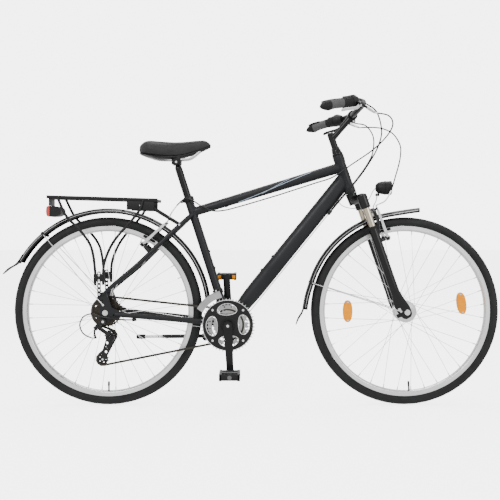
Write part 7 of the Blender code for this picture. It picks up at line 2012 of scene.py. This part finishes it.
def stage():
    mesh = bpy.data.meshes.new("floor")
    half = FLOOR_HALF
    mesh.from_pydata([(-half, -half, 0), (half, -half, 0), (half, half, 0), (-half, half, 0)], [],
                     [(0, 1, 2, 3)])
    floor = linked("floor", mesh)
    floor.location.z = -0.0004
    pale, shader = glowing("pale_floor", (0.93, 0.93, 0.935, 1), FLOOR_GLOW)
    shader.inputs["Roughness"].default_value = 0.9
    shader.inputs["Specular IOR Level"].default_value = 0.1
    mesh.materials.append(pale)
    floor.visible_diffuse = False
    floor.visible_glossy = False

    dome_mesh = bpy.data.meshes.new("backdrop")
    shell = bmesh.new()
    bmesh.ops.create_icosphere(shell, subdivisions=4, radius=BACKDROP_RADIUS)
    shell.to_mesh(dome_mesh)
    shell.free()
    dome = linked("backdrop", dome_mesh)
    dome_mesh.materials.append(glowing("pale_backdrop", (0.9, 0.9, 0.9, 1), BACKDROP_GLOW)[0])
    dome.visible_diffuse = False
    dome.visible_glossy = False
    dome.visible_transmission = False
    dome.visible_shadow = False

    world = bpy.data.worlds.new("studio")
    world.use_nodes = True
    world.node_tree.nodes["Background"].inputs["Color"].default_value = (1.0, 1.0, 1.0, 1)
    world.node_tree.nodes["Background"].inputs["Strength"].default_value = 1.15
    bpy.context.scene.world = world

    for name, place, aim, size, power in (
            ("key", (-1.6, -3.2, 3.0), (0, 0, 0.5), 1.8, 75),
            ("fill", (2.6, -2.6, 1.8), (0, 0, 0.5), 2.0, 40),
            ("top", (0.0, 0.6, 3.6), (0, 0, 0.4), 2.4, 60)):
        lamp = bpy.data.lights.new(name, "AREA")
        lamp.shape = "DISK"
        lamp.size = size
        lamp.energy = power
        obj = linked(name, lamp)
        obj.location = place
        obj.rotation_euler = (Vector(aim) - Vector(place)).to_track_quat("-Z", "Y").to_euler()


PHOTO_SIDE = 500
FOCAL_POINTS = 777.1
SENSOR_WIDTH = 36.0
CAMERA_DOWN = 0.0207
CAMERA_TURN = 0.0024


def camera():
    """Camera that looks at the bike from its right side, as the photo does."""
    lens = bpy.data.cameras.new("camera")
    lens.sensor_width = SENSOR_WIDTH
    lens.lens = SENSOR_WIDTH * FOCAL_POINTS / PHOTO_SIDE
    lens.clip_end = 200.0
    obj = linked("camera", lens)
    obj.location = at(0.5212, -2.9, 0.638)
    obj.rotation_euler = (math.pi / 2 - CAMERA_DOWN, 0.0, -CAMERA_TURN)
    bpy.context.scene.camera = obj


def build():
    camera()
    stage()
    head_tube()
    top_tube()
    down_tube()
    seat_tube()
    chain_stays()
    seat_stays()
    seat_clamp()
    rear_axle()
    seatpost()
    saddle_base()
    saddle_cushion()
    fork_upper()
    stem()
    handlebar()
    for side, name in ((-1, "right"), (1, "left")):
        grip(side, name)
        twist_grip(side, name)
        control_bracket(side, name)
        brake_lever(side, name)
        brake_arm(fork_brake, side, FRONT_ARM_PLANE, front_pivot(), "front_arm_and_pad_" + name,
                  "front_brake_arm_" + name)
        brake_arm(stay, side, REAR_ARM_PLANE, rear_pivot(), "rear_arm_and_pad_" + name,
                  "rear_brake_arm_" + name)
        pedal(side, name)
    fork_lowers()
    for axle, name in ((FRONT, "front"), (REAR, "rear")):
        tyre(axle, name)
        rim(axle, name)
    spokes(FRONT, "front", 0.04, (-0.026, 0.026))
    spokes(REAR, "rear", 0.0225, (-0.018, 0.034))
    front_hub(FRONT)
    rear_hub(REAR)
    crank_right()
    crank_left()
    chain_guard()
    cassette(REAR)
    chain()
    derailleur_hanger()
    derailleur_link()
    derailleur_body()
    derailleur_cage()
    pulley(GUIDE_PULLEY, "guide_pulley", "guide_wheel")
    pulley(TENSION_PULLEY, "tension_pulley", "tension_wheel")
    front_derailleur()
    kickstand()
    rear_mudguard(REAR)
    front_mudguard(FRONT)
    rack()
    tail_light()
    headlight()
    rear_brake_cable()
    front_brake_cable()
    rear_shift_cable()
    front_shift_cable()
    light_wire()


build()
bpy.context.view_layer.update()
